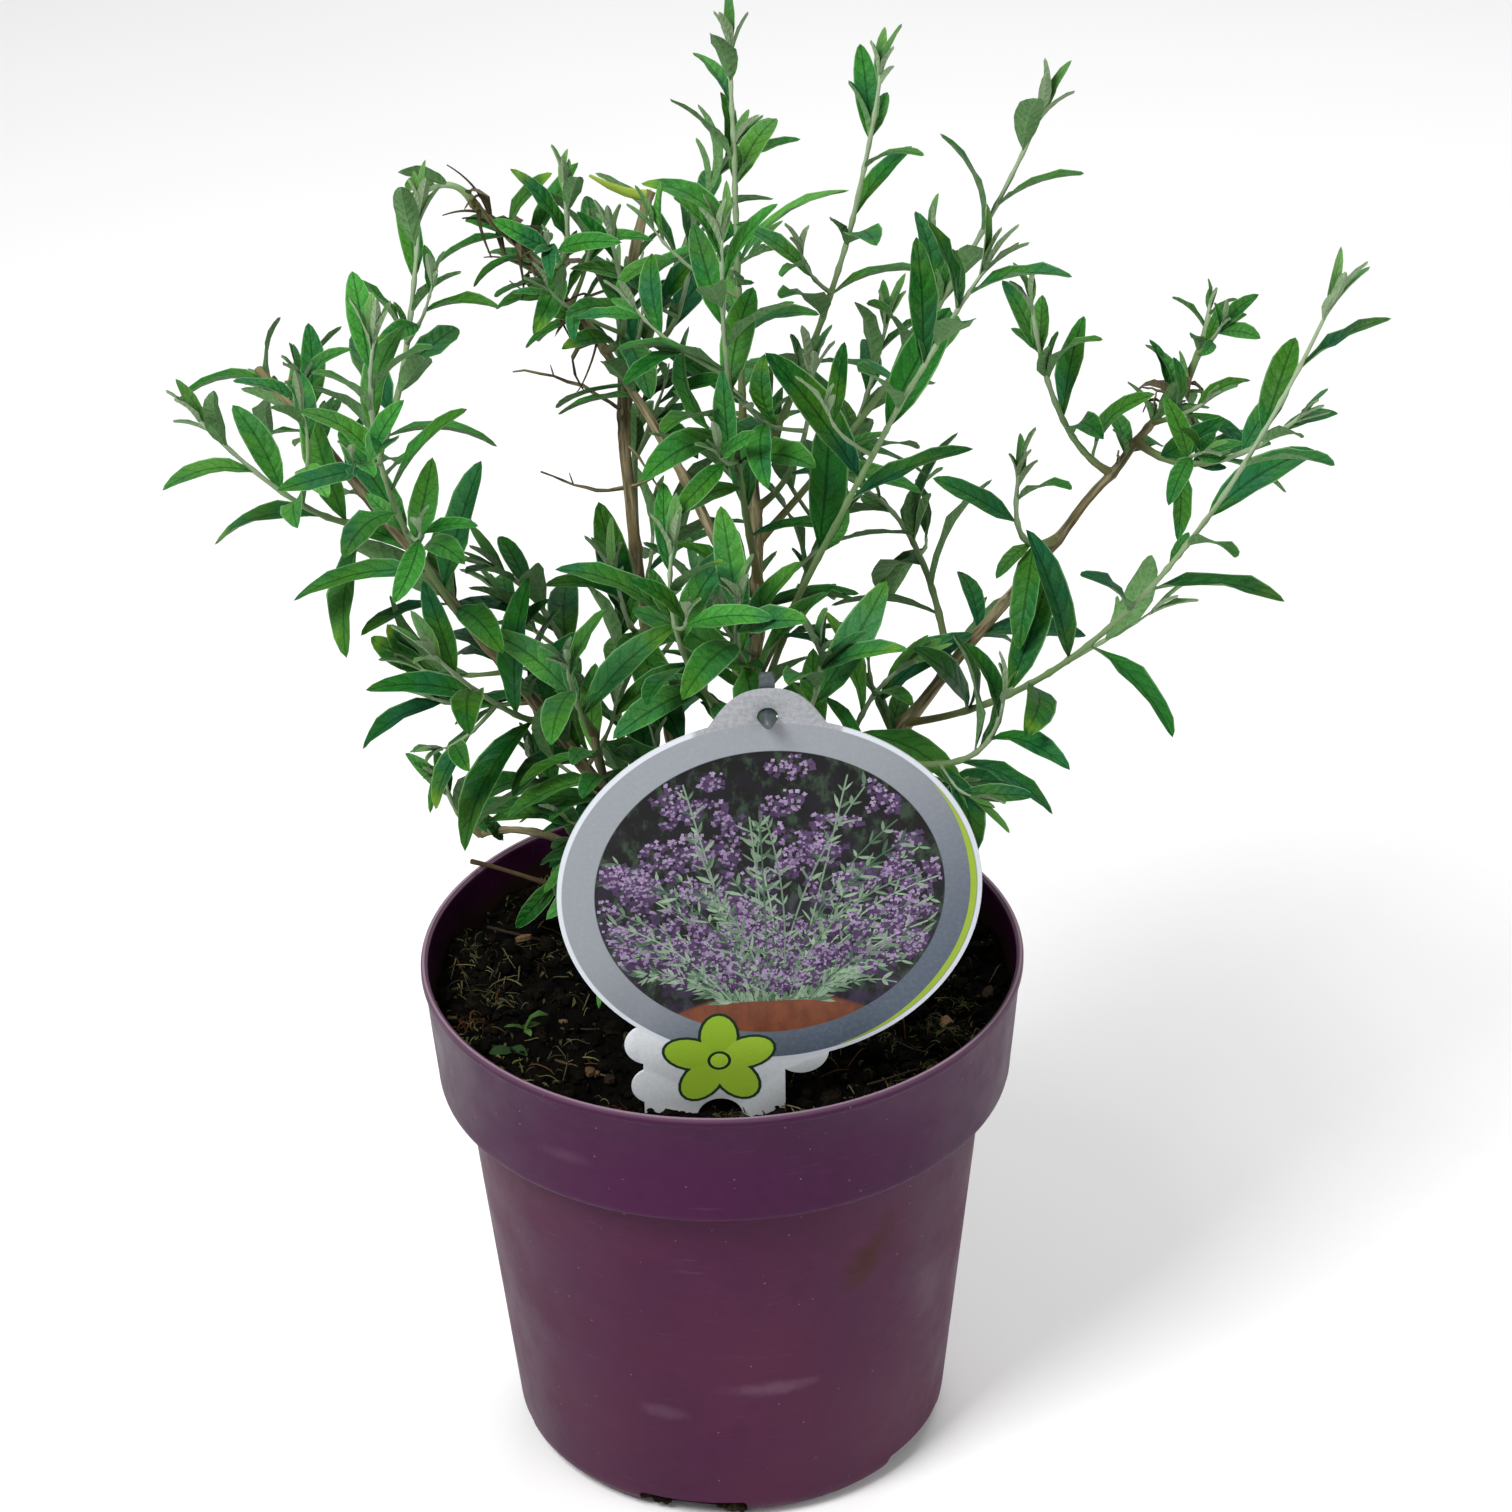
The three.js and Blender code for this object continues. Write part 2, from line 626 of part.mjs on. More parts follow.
// Pot and compost.

function turned(profile) {
  const points = profile.map(([r, z]) => new THREE.Vector2(r, z));
  const geometry = new THREE.LatheGeometry(points, POT.segments);
  return solidFrom(geometry.rotateX(Math.PI / 2));
}

const collarFoot = POT.height - POT.collarHeight;
const lipFoot = POT.height - POT.lipHeight;
const wallAt = (z) =>
  z < collarFoot
    ? mix(POT.cornerRadius, POT.bodyTopRadius, (z - POT.cornerHeight) / (collarFoot - POT.cornerHeight))
    : mix(POT.collarRadius, POT.rimRadius - POT.lipFlare, (z - collarFoot) / (lipFoot - collarFoot));
const innerAt = (z) => wallAt(z) - POT.wall;

let pot = turned([
  [0, 0],
  [POT.footRadius, 0],
  [POT.footRadius + 2.6, 1],
  [POT.cornerRadius - 0.8, 4.6],
  [POT.cornerRadius, POT.cornerHeight],
  [POT.bodyTopRadius, collarFoot - 0.6],
  [POT.collarRadius - 1.4, collarFoot],
  [POT.collarRadius, collarFoot + 1.6],
  [wallAt(lipFoot), lipFoot],
  [POT.rimRadius, lipFoot + 0.8],
  [POT.rimRadius, POT.height - 0.7],
  [POT.rimRadius - 0.7, POT.height],
  [POT.rimRadius - 2.3, POT.height],
  [innerAt(lipFoot), lipFoot - 0.4],
  [innerAt(collarFoot + 3), collarFoot + 3],
  [POT.bodyTopRadius - POT.wall + 1, collarFoot + 0.8],
  [POT.bodyTopRadius - POT.wall, collarFoot - 1],
  [POT.cornerRadius - POT.wall - 0.4, POT.cornerHeight],
  [POT.footRadius + 1, POT.floor],
  [0, POT.floor],
]);
for (let i = 0; i < NOTCH.count; i += 1) {
  const notch = new THREE.BoxGeometry(NOTCH.width, NOTCH.depth, NOTCH.height * 2);
  notch.translate(0, -POT.footRadius - NOTCH.depth / 2 + 1.5, 0);
  notch.rotateZ(radians(NOTCH.firstAngle + (i * 360) / NOTCH.count));
  pot = pot.subtract(solidFrom(notch));
}
addPart("pot", pot, PLUM);

// Height of the compost: level round the stump, gently uneven beyond.
function soilHeight(x, y) {
  const out = Math.hypot(x, y);
  const share = THREE.MathUtils.smoothstep(out, SOIL.patch, SOIL.patch + SOIL.blend);
  const waves = Math.sin(x * 0.11 + 1) * Math.cos(y * 0.13) + 0.5 * Math.sin((x + y) * 0.21);
  return SOIL.level + SOIL.swell * waves * share;
}

const soilRadius = innerAt(SOIL.level) - SEAT;
const soilProfile = [
  [0, POT.floor + SEAT],
  [POT.footRadius, POT.floor + SEAT],
  [POT.cornerRadius - POT.wall - SEAT - 1, POT.cornerHeight + SEAT],
  [POT.bodyTopRadius - POT.wall - SEAT, collarFoot - 1],
  [POT.bodyTopRadius - POT.wall - SEAT + 1, collarFoot + 0.8 + SEAT],
  [innerAt(collarFoot + 3) - SEAT, collarFoot + 3 + SEAT],
];
for (let i = SOIL.rings; i > 0; i -= 1) {
  soilProfile.push([(soilRadius * i) / SOIL.rings, SOIL.level]);
}
soilProfile.push([SOIL.patch, SOIL.level], [0, SOIL.level]);
const soilGeometry = new THREE.LatheGeometry(
  soilProfile.map(([r, z]) => new THREE.Vector2(r, z)),
  POT.segments,
).rotateX(Math.PI / 2);
const soilPoints = soilGeometry.getAttribute("position");
for (let i = 0; i < soilPoints.count; i += 1) {
  if (soilPoints.getZ(i) > SOIL.level - 0.5) {
    soilPoints.setZ(i, soilHeight(soilPoints.getX(i), soilPoints.getY(i)));
  }
}
const footSlot = sheet(
  block(FOOT.left - 1, FOOT.right + 1, FOOT.bottom - 1, FOOT.top),
  0.4,
  plateBack - 0.4,
);
const stakeSlot = sheet(
  block(-STAKE.width / 2 - 0.4, STAKE.width / 2 + 0.4, STAKE.bottom - 1, FOOT.top),
  stakeFront + 0.4,
  stakeBack - 0.4,
);
addPart("compost", solidFrom(soilGeometry).subtract(footSlot).subtract(stakeSlot), COMPOST);

// Crown: every stem claims its space first, then twigs, then leaves.

const rearShoots = REAR.map((rear) => {
  const angle = radians(rear.angle);
  const tip = [rear.reach * Math.cos(angle), rear.reach * Math.sin(angle), rear.height];
  return { ...rear, tip, bow: [tip[0] * 0.08, tip[1] * 0.08, 6], leaf: 31, bare: 0.16 };
});
const shoots = [...SHOOTS, ...rearShoots].map((shoot) => {
  const start = limbs.get(shoot.from).at(shoot.at);
  const tip = vector(shoot.tip);
  const reach = tip.clone().sub(start).normalize();
  tip.addScaledVector(reach, -SHOOT.back * shoot.leaf);
  const stem = new Limb(start, tip, vector(shoot.bow), SHOOT.rootRadius, SHOOT.tipRadius);
  const bare = Math.max(shoot.bare ?? SHOOT.bare, 8 / stem.length());
  return { ...shoot, stem, bare, random: seeded(shoot.seed) };
});
for (const [name, limb] of limbs) claimed.push(...limbBoxes(name, limb, 9));
for (const shoot of shoots) claimed.push(...limbBoxes(shoot.name, shoot.stem, 8));
for (const shoot of shoots) {
  shoot.twigLimbs = sproutTwigs(shoot.name, shoot.stem, shoot.twigs, shoot.random);
}
for (const shoot of shoots) {
  const { name, stem, leaf, bare, random, spacing = SHOOT.spacing } = shoot;
  shoot.leaves = clothe(name, stem, leaf, spacing, bare, 2, random);
  for (const twig of shoot.twigLimbs) {
    shoot.leaves.push(...clothe(name, twig, leaf * TWIG.leaf, TWIG.spacing, 0.25, 1, random));
  }
}
for (const shoot of shoots) {
  let solid = shoot.stem.solid(SHOOT.sides, SHOOT.steps).subtract(swollen.get(shoot.from));
  for (const twig of shoot.twigLimbs) solid = solid.add(twig.solid(TWIG.sides, TWIG.steps));
  for (const leaf of shoot.leaves) solid = solid.add(leaf.solid());
  addPart(shoot.name, solid, GREEN);
}

export default group;
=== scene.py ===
"""Blender scene of a potted fountain butterfly bush.

Leafy shoots arch from woody boughs on a short stump, in a round collared pot of compost that
also holds a round plant label on a stake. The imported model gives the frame, and every piece
stands on it, in metres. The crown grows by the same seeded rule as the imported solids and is
carried on to finer leaves and twigs.
"""

import sys
import json
import logging
import math
from collections.abc import Callable, Iterator, Sequence
from contextlib import contextmanager
from dataclasses import dataclass, field
from enum import Enum

import bpy
import numpy as np
from mathutils import Matrix, Vector, noise

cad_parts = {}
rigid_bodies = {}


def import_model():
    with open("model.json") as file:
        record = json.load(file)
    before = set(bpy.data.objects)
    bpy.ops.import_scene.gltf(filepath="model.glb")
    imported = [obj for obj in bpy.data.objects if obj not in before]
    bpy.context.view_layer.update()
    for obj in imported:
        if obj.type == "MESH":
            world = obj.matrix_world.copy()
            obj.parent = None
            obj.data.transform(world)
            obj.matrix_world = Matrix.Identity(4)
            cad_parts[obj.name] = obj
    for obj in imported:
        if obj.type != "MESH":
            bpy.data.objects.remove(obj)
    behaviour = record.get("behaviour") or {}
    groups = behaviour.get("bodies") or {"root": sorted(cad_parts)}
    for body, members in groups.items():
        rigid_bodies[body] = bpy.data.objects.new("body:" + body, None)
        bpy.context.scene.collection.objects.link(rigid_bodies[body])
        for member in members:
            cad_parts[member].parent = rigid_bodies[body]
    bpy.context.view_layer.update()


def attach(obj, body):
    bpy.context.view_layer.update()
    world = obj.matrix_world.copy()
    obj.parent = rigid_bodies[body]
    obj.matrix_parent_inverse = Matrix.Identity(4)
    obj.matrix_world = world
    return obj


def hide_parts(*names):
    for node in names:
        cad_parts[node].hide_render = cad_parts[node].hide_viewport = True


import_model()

log = logging.getLogger("butterfly_bush")

MM = 0.001
BODY = "root"
PHOTO_SIDE = 1512

Colour = tuple[float, float, float, float]
Pair = tuple[float, float]
Triple = tuple[float, float, float]
Outline = Sequence[Pair]
Point = np.ndarray
Face = Sequence[int]
Socket = bpy.types.NodeSocket
Item = bpy.types.Object
Material = bpy.types.Material
Tree = bpy.types.NodeTree


# Small helpers: colours, vectors and seeded numbers.


def paint(red: float, green: float, blue: float) -> Colour:
    """Gives the linear colour of a screen colour, its channels from 0 to 255."""

    def linear(level: float) -> float:
        """Undoes the screen's tone curve for one channel."""
        share = level / 255
        return share / 12.92 if share <= 0.04045 else ((share + 0.055) / 1.055) ** 2.4

    return linear(red), linear(green), linear(blue), 1.0


def point(*values: float) -> Point:
    """Gives a point or direction as an array."""
    return np.array(values, dtype=float)


def unit(direction: Point) -> Point:
    """Gives the direction at length one."""
    return direction / np.linalg.norm(direction)


def mix(first: float, second: float, share: float) -> float:
    """Goes from first to second by the share."""
    return first * (1 - share) + second * share


def smooth(value: float, low: float, high: float) -> float:
    """Eases from 0 at low to 1 at high."""
    share = min(1.0, max(0.0, (value - low) / (high - low)))
    return share * share * (3 - 2 * share)


def swung(direction: Point, axis: Point, degrees: float) -> Point:
    """Turns a direction about a unit axis."""
    angle = math.radians(degrees)
    cos, sin = math.cos(angle), math.sin(angle)
    lifted = axis * (axis @ direction) * (1 - cos)
    return direction * cos + np.cross(axis, direction) * sin + lifted


def polar(angle: float, reach: float) -> Pair:
    """Gives the flat place at an angle in radians and a distance."""
    return reach * math.cos(angle), reach * math.sin(angle)


def turned(spots: Outline, angle: float, x: float, y: float) -> list[Pair]:
    """Turns flat places by an angle in radians and moves them by x and y."""
    cos, sin = math.cos(angle), math.sin(angle)
    return [(x + a * cos - b * sin, y + a * sin + b * cos) for a, b in spots]


class Stream:
    """A repeatable stream of numbers from 0 to 1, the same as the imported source's."""

    def __init__(self, seed: int) -> None:
        """Starts the stream at a seed."""
        self.state = (seed * 2654435761) & 0xFFFFFFFF

    def __call__(self) -> float:
        """Draws the next number."""
        self.state = (self.state * 1664525 + 1013904223) & 0xFFFFFFFF
        return self.state / 4294967296

    def between(self, low: float, high: float) -> float:
        """Draws a number from low to high."""
        return mix(low, high, self())

    def sway(self, reach: float) -> float:
        """Draws a number from -reach to reach."""
        return self.between(-reach, reach)


# Blender helpers: selection, modifiers, joined meshes.


def deselect() -> None:
    """Deselects every object."""
    for other in bpy.context.view_layer.objects:
        other.select_set(False)


def alone(piece: Item) -> None:
    """Selects one object and nothing else, and makes it active."""
    deselect()
    piece.select_set(True)
    bpy.context.view_layer.objects.active = piece


@contextmanager
def editing(piece: Item) -> Iterator[None]:
    """Opens a piece's mesh for editing, all of it selected."""
    alone(piece)
    bpy.ops.object.mode_set(mode="EDIT")
    bpy.ops.mesh.select_all(action="SELECT")
    yield
    bpy.ops.object.mode_set(mode="OBJECT")


def new_piece(name: str, points: Sequence, edges: Sequence, faces: Sequence) -> Item:
    """Makes an object from points in metres, edges and faces."""
    mesh = bpy.data.meshes.new(name)
    mesh.from_pydata(points, edges, faces)
    piece = bpy.data.objects.new(name, mesh)
    bpy.context.scene.collection.objects.link(piece)
    return piece


def apply_modifier(piece: Item, kind: str, **settings: object) -> None:
    """Adds a modifier of Blender's named type with its settings, and applies it."""
    modifier = piece.modifiers.new(kind.lower(), kind)
    for name, value in settings.items():
        setattr(modifier, name, value)
    alone(piece)
    bpy.ops.object.modifier_apply(modifier=modifier.name)


def cut_or_join(piece: Item, tool: Item, operation: str) -> None:
    """Applies a boolean (DIFFERENCE or UNION) with another object and removes that object."""
    apply_modifier(piece, "BOOLEAN", object=tool, operation=operation, solver="MANIFOLD")
    bpy.data.objects.remove(tool)


def round_edges(piece: Item, width: float, segments: int) -> None:
    """Rounds a flat solid's edges sharper than 50 degrees."""
    limit = math.radians(50)
    apply_modifier(
        piece, "BEVEL", width=width, segments=segments, limit_method="ANGLE", angle_limit=limit
    )


def smooth_by(piece: Item, degrees: float) -> None:
    """Shades the piece smooth, with edges sharper than the angle kept sharp."""
    alone(piece)
    bpy.ops.object.shade_smooth_by_angle(angle=math.radians(degrees))


def dress(
    piece: Item,
    materials: Sequence[Material] = (),
    nodes: Sequence[str] = (),
) -> None:
    """Gives a finished piece its materials and its place in the frame.

    Args:
        piece: The finished object, at the origin.
        materials: Its materials, where the mesh has none yet.
        nodes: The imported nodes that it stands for.
    """
    if materials:
        piece.data.materials.clear()
    for material in materials:
        piece.data.materials.append(material)
    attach(piece, BODY)
    if nodes:
        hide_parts(*nodes)
    log.info("%s: %d faces", piece.name, len(piece.data.polygons))


@dataclass
class Gathering:
    """Many small shapes, in millimetres, gathered into one joined mesh."""

    points: list[Point] = field(default_factory=list)
    faces: list[list[int]] = field(default_factory=list)
    slots: list[int] = field(default_factory=list)
    uvs: list[Point] = field(default_factory=list)
    tints: list[Point] = field(default_factory=list)
    grains: list[Point] = field(default_factory=list)
    count: int = 0

    def add(
        self,
        points: Point,
        faces: Sequence[Face],
        slots: Sequence[int] | int = 0,
        uv: Point | None = None,
        tint: Point | float = 0.5,
        grain: Point | None = None,
    ) -> None:
        """Adds one shape.

        Args:
            points: Its points, one a row.
            faces: Its faces as indices of those points.
            slots: Material slot of each face, or of all.
            uv: A place on the pattern for each point.
            tint: Shade from 0 to 1, for all points or each.
            grain: Grain coordinates for each point, in millimetres.
        """
        base, size = self.count, len(points)
        self.points.append(points)
        self.faces.extend([base + index for index in face] for face in faces)
        self.slots.extend([slots] * len(faces) if isinstance(slots, int) else slots)
        self.uvs.append(np.zeros((size, 2)) if uv is None else uv)
        self.tints.append(np.broadcast_to(np.asarray(tint, dtype=float), (size,)))
        self.grains.append(points if grain is None else grain)
        self.count += size

    def add_tube(
        self, path: Point, radii: Point, sides: int, tint: Point | float, side: Point | None = None
    ) -> None:
        """Adds a closed tube along a path, its grain run with it."""
        points, faces, grain = tube(path, radii, sides, side)
        self.add(points, faces, tint=tint, grain=grain)

    def piece(self, name: str, materials: Sequence[Material] = (), sharp: float = 50) -> Item:
        """Makes the joined object.

        Args:
            name: Its name.
            materials: Its materials, one a slot.
            sharp: Edges above this angle in degrees stay sharp.

        Returns:
            The object, at the origin.
        """
        points = (np.concatenate(self.points) * MM).tolist()
        piece = new_piece(name, points, [], self.faces)
        mesh = piece.data
        corner = np.empty(len(mesh.loops), dtype=np.int32)
        mesh.loops.foreach_get("vertex_index", corner)
        layer = mesh.uv_layers.new(name="piece_uv")
        layer.uv.foreach_set("vector", np.concatenate(self.uvs)[corner].ravel())
        tint = mesh.attributes.new("tint", "FLOAT", "POINT")
        tint.data.foreach_set("value", np.concatenate(self.tints))
        grain = mesh.attributes.new("grain", "FLOAT_VECTOR", "POINT")
        grain.data.foreach_set("vector", (np.concatenate(self.grains) * MM).ravel())
        mesh.polygons.foreach_set("material_index", self.slots)
        for material in materials:
            mesh.materials.append(material)
        mesh.update()
        smooth_by(piece, sharp)
        return piece

    def make(
        self,
        name: str,
        slot: str,
        *materials: Material,
        sharp: float = 50,
        nodes: Sequence[str] = (),
    ) -> None:
        """Makes the joined object and dresses it."""
        dress(self.piece(name, materials, sharp), nodes=nodes)


def tube(
    path: Point, radii: Point, sides: int, side: Point | None = None
) -> tuple[Point, list[Face], Point]:
    """Builds a closed tube along a path.

    Args:
        path: Points of the centre line, one a row.
        radii: Radius of each ring, or of each point of each ring.
        sides: Points round a ring.
        side: A direction square to the first ring's run, found if left out.

    Returns:
        Points, faces, and grain coordinates that run with the tube.
    """
    runs = np.gradient(path, axis=0)
    runs /= np.linalg.norm(runs, axis=1)[:, None]
    if side is None:
        spare = point(0, 0, 1) if abs(runs[0][2]) < 0.8 else point(1, 0, 0)
        side = np.cross(runs[0], spare)
    rings, grains = [], []
    angles = np.arange(sides) * 2 * math.pi / sides
    cos, sin = np.cos(angles)[:, None], np.sin(angles)[:, None]
    steps = np.linalg.norm(np.diff(path, axis=0), axis=1)
    lengths = np.concatenate([[0], np.cumsum(steps)])
    wide = np.asarray(radii, dtype=float).reshape(len(path), -1)
    wide = np.broadcast_to(wide, (len(path), sides))
    for index, run in enumerate(runs):
        side = unit(side - run * (side @ run))
        ring = cos * side + sin * np.cross(run, side)
        rings.append(path[index] + ring * wide[index][:, None])
        middle = float(wide[index].mean())
        grains.append(np.column_stack([cos * middle, sin * middle, np.full(sides, lengths[index])]))
    last = len(path) - 1
    faces: list[Face] = [tuple(range(sides - 1, -1, -1))]
    for index in range(last):
        low, high = index * sides, (index + 1) * sides
        for j in range(sides):
            k = (j + 1) % sides
            faces.append((low + j, low + k, high + k, high + j))
    tip = len(path) * sides
    faces.extend((last * sides + j, last * sides + (j + 1) % sides, tip) for j in range(sides))
    end = path[-1] + runs[-1] * float(wide[-1].mean()) * 0.6
    points = np.vstack([*rings, end])
    grain = np.vstack([*grains, [0, 0, lengths[-1]]])
    return points, faces, grain


def pebble(stream: Stream, fine: bool) -> tuple[Point, list[Face]]:
    """Builds a lumpy stone-like shape about one across, from an icosahedron.

    Args:
        stream: Where its lumps are drawn from.
        fine: Whether its faces are split once.

    Returns:
        Points and faces.
    """
    gold = (1 + math.sqrt(5)) / 2
    corners = [
        (-1, gold, 0), (1, gold, 0), (-1, -gold, 0), (1, -gold, 0),
        (0, -1, gold), (0, 1, gold), (0, -1, -gold), (0, 1, -gold),
        (gold, 0, -1), (gold, 0, 1), (-gold, 0, -1), (-gold, 0, 1),
    ]
    faces = [
        (0, 11, 5), (0, 5, 1), (0, 1, 7), (0, 7, 10), (0, 10, 11), (1, 5, 9), (5, 11, 4),
        (11, 10, 2), (10, 7, 6), (7, 1, 8), (3, 9, 4), (3, 4, 2), (3, 2, 6), (3, 6, 8),
        (3, 8, 9), (4, 9, 5), (2, 4, 11), (6, 2, 10), (8, 6, 7), (9, 8, 1),
    ]
    points = [unit(point(*corner)) for corner in corners]
    if fine:
        middles: dict[tuple[int, int], int] = {}

        def middle(a: int, b: int) -> int:
            """Gives the point between two corners."""
            key = (min(a, b), max(a, b))
            if key not in middles:
                middles[key] = len(points)
                points.append(unit(points[a] + points[b]))
            return middles[key]

        split = []
        for a, b, c in faces:
            ab, bc, ca = middle(a, b), middle(b, c), middle(c, a)
            split += [(a, ab, ca), (b, bc, ab), (c, ca, bc), (ab, bc, ca)]
        faces = split
    lumps = np.array([stream.between(0.72, 1.2) for _ in points])
    return np.array(points) * lumps[:, None] * 0.5, faces


# Node trees.


class Wiring:
    """Places and links the nodes of one node tree."""

    def __init__(self, tree: Tree) -> None:
        """Works on a tree."""
        self.tree = tree

    def place(self, kind: str, inputs: dict | None = None, **settings: object) -> bpy.types.Node:
        """Places a node.

        Args:
            kind: Blender's type name without its ShaderNode.
            inputs: Values or sockets for its inputs, by name or number.
            **settings: Its other settings.

        Returns:
            The node.
        """
        node = self.tree.nodes.new("ShaderNode" + kind)
        for name, value in settings.items():
            setattr(node, name, value)
        for name, value in (inputs or {}).items():
            if isinstance(value, Socket):
                self.tree.links.new(value, node.inputs[name])
            else:
                node.inputs[name].default_value = value
        return node

    def math(self, operation: str, *values: object) -> Socket:
        """Places a Math node on its values and gives its output."""
        return self.place("Math", dict(enumerate(values)), operation=operation).outputs[0]

    def plus(self, first: object, second: object) -> Socket:
        """Adds two values."""
        return self.math("ADD", first, second)

    def minus(self, first: object, second: object) -> Socket:
        """Takes the second value from the first."""
        return self.math("SUBTRACT", first, second)

    def times(self, first: object, second: object) -> Socket:
        """Multiplies two values."""
        return self.math("MULTIPLY", first, second)

    def away(self, value: object, middle: float) -> Socket:
        """Gives a value's distance from the middle."""
        return self.math("ABSOLUTE", self.minus(value, middle))

    def blend(self, share: object, first: object, second: object) -> Socket:
        """Places a colour mix and gives its output."""
        return self.place("Mix", {0: share, 6: first, 7: second}, data_type="RGBA").outputs[2]

    def span(
        self, value: object, low: float, high: float, start: float = 0, end: float = 1
    ) -> Socket:
        """Eases a value from start at low to end at high."""
        inputs = {0: value, 1: low, 2: high, 3: start, 4: end}
        return self.place("MapRange", inputs, interpolation_type="SMOOTHSTEP").outputs[0]

    def noise(self, where: object, scale: float, detail: float = 2, rough: float = 0.5) -> Socket:
        """Places a noise texture and gives its value."""
        inputs = {"Vector": where, "Scale": scale, "Detail": detail, "Roughness": rough}
        return self.place("TexNoise", inputs).outputs[0]

    def mask(
        self, where: object, scale: float, detail: float, rough: float, *span: float
    ) -> Socket:
        """Gives a noise texture's value, eased over a span."""
        return self.span(self.noise(where, scale, detail, rough), *span)

    def length(self, where: object) -> Socket:
        """Gives the length of a vector."""
        return self.place("VectorMath", {0: where}, operation="LENGTH").outputs["Value"]

    def parts(self, where: object) -> Sequence[Socket]:
        """Gives a vector's three parts."""
        return self.place("SeparateXYZ", {0: where}).outputs

    def cells(self, where: object, scale: float, feature: str = "F1") -> Socket:
        """Places a Voronoi texture and gives its distance."""
        node = self.place("TexVoronoi", {"Vector": where, "Scale": scale}, feature=feature)
        return node.outputs["Distance"]

    def bump(
        self, height: object, strength: float, distance: float, normal: object = None
    ) -> Socket:
        """Places a bump node and gives its normal."""
        inputs = {"Height": height, "Strength": strength, "Distance": distance}
        if normal is not None:
            inputs["Normal"] = normal
        return self.place("Bump", inputs).outputs[0]

    def stretch(self, where: object, *scale: float) -> Socket:
        """Scales coordinates by a factor for each axis."""
        return self.place("Mapping", {"Vector": where, "Scale": scale}).outputs[0]

    def here(self) -> Socket:
        """Gives the object's own coordinates."""
        return self.place("TexCoord").outputs["Object"]

    def value_of(self, name: str) -> Socket:
        """Gives the value of a mesh attribute."""
        return self.place("Attribute", attribute_name=name).outputs["Fac"]

    def vector_of(self, name: str) -> Socket:
        """Gives the vector of a mesh attribute."""
        return self.place("Attribute", attribute_name=name).outputs["Vector"]

    def pattern_place(self) -> Socket:
        """Gives the piece's own pattern coordinates."""
        return self.place("UVMap", uv_map="piece_uv").outputs[0]

    def effect(self, group: Tree, **inputs: object) -> bpy.types.Node:
        """Places a shared effect with its own values."""
        node = self.place("Group", node_tree=group)
        for name, value in inputs.items():
            socket = node.inputs[name.replace("_", " ").capitalize()]
            if isinstance(value, Socket):
                self.tree.links.new(value, socket)
            else:
                socket.default_value = value
        return node


def fresh_material(name: str, **values: object) -> tuple[Material, Wiring, Callable]:
    """Makes a material with a Principled shader.

    Args:
        name: Its name.
        **values: Plain values for the shader's sockets, with _ for spaces.

    Returns:
        The material, its wiring, and a function that links a socket to a named input.
    """
    material = bpy.data.materials.new(name)
    material.use_nodes = True
    wiring = Wiring(material.node_tree)
    shader = material.node_tree.nodes["Principled BSDF"]
    for key, value in values.items():
        shader.inputs[key.replace("_", " ")].default_value = value

    def feed(target: str, source: Socket) -> None:
        """Links a socket to one of the shader's inputs."""
        material.node_tree.links.new(source, shader.inputs[target])

    return material, wiring, feed


def effect_group(
    name: str, inputs: dict[str, tuple[str, object]], outputs: dict[str, str]
) -> tuple[Tree, Wiring, dict, Callable]:
    """Starts a shared effect: a node group with named sockets.

    Args:
        name: Its name.
        inputs: Socket type and first value of each input.
        outputs: Socket type of each output.

    Returns:
        The group, its wiring, its input sockets by name, and a function that sets an output.
    """
    group = bpy.data.node_groups.new(name, "ShaderNodeTree")
    for key, (kind, value) in inputs.items():
        socket = group.interface.new_socket(key, in_out="INPUT", socket_type="NodeSocket" + kind)
        if value is not None:
            socket.default_value = value
    for key, kind in outputs.items():
        group.interface.new_socket(key, in_out="OUTPUT", socket_type="NodeSocket" + kind)
    wiring = Wiring(group)
    entry = group.nodes.new("NodeGroupInput")
    leave = group.nodes.new("NodeGroupOutput")

    def send(key: str, source: Socket) -> None:
        """Links a socket to one of the group's outputs."""
        group.links.new(source, leave.inputs[key])

    return group, wiring, {key: entry.outputs[key] for key in inputs}, send


def make_speckle() -> Tree:
    """Makes small scattered specks, dusty or gritty, as a mask."""
    group, wiring, given, send = effect_group(
        "speckle",
        {"Place": ("Vector", None), "Scale": ("Float", 300.0), "Size": ("Float", 0.12)},
        {"Mask": "Float"},
    )
    cell = wiring.place(
        "TexVoronoi", {"Vector": given["Place"], "Scale": given["Scale"]}, feature="F1"
    )
    near = wiring.math("LESS_THAN", cell.outputs["Distance"], given["Size"])
    drawn = wiring.place("SeparateColor", {0: cell.outputs["Color"]}).outputs[0]
    chosen = wiring.math("GREATER_THAN", drawn, 0.72)
    send("Mask", wiring.times(near, chosen))
    return group


def make_patch() -> Tree:
    """Makes a ragged patch round a point, such as a smear, as a mask."""
    group, wiring, given, send = effect_group(
        "ragged_patch",
        {
            "Place": ("Vector", None),
            "Centre": ("Vector", None),
            "Stretch": ("Vector", None),
            "Radius": ("Float", 0.01),
        },
        {"Mask": "Float"},
    )
    offset = wiring.place(
        "VectorMath", {0: given["Place"], 1: given["Centre"]}, operation="SUBTRACT"
    )
    shaped = wiring.place(
        "VectorMath", {0: offset.outputs[0], 1: given["Stretch"]}, operation="MULTIPLY"
    )
    share = wiring.math("DIVIDE", wiring.length(shaped.outputs[0]), given["Radius"])
    ragged = wiring.noise(given["Place"], 160, 4, 0.65)
    send("Mask", wiring.span(wiring.plus(share, wiring.times(ragged, 1.1)), 0.75, 1.5, 1, 0))
    return group


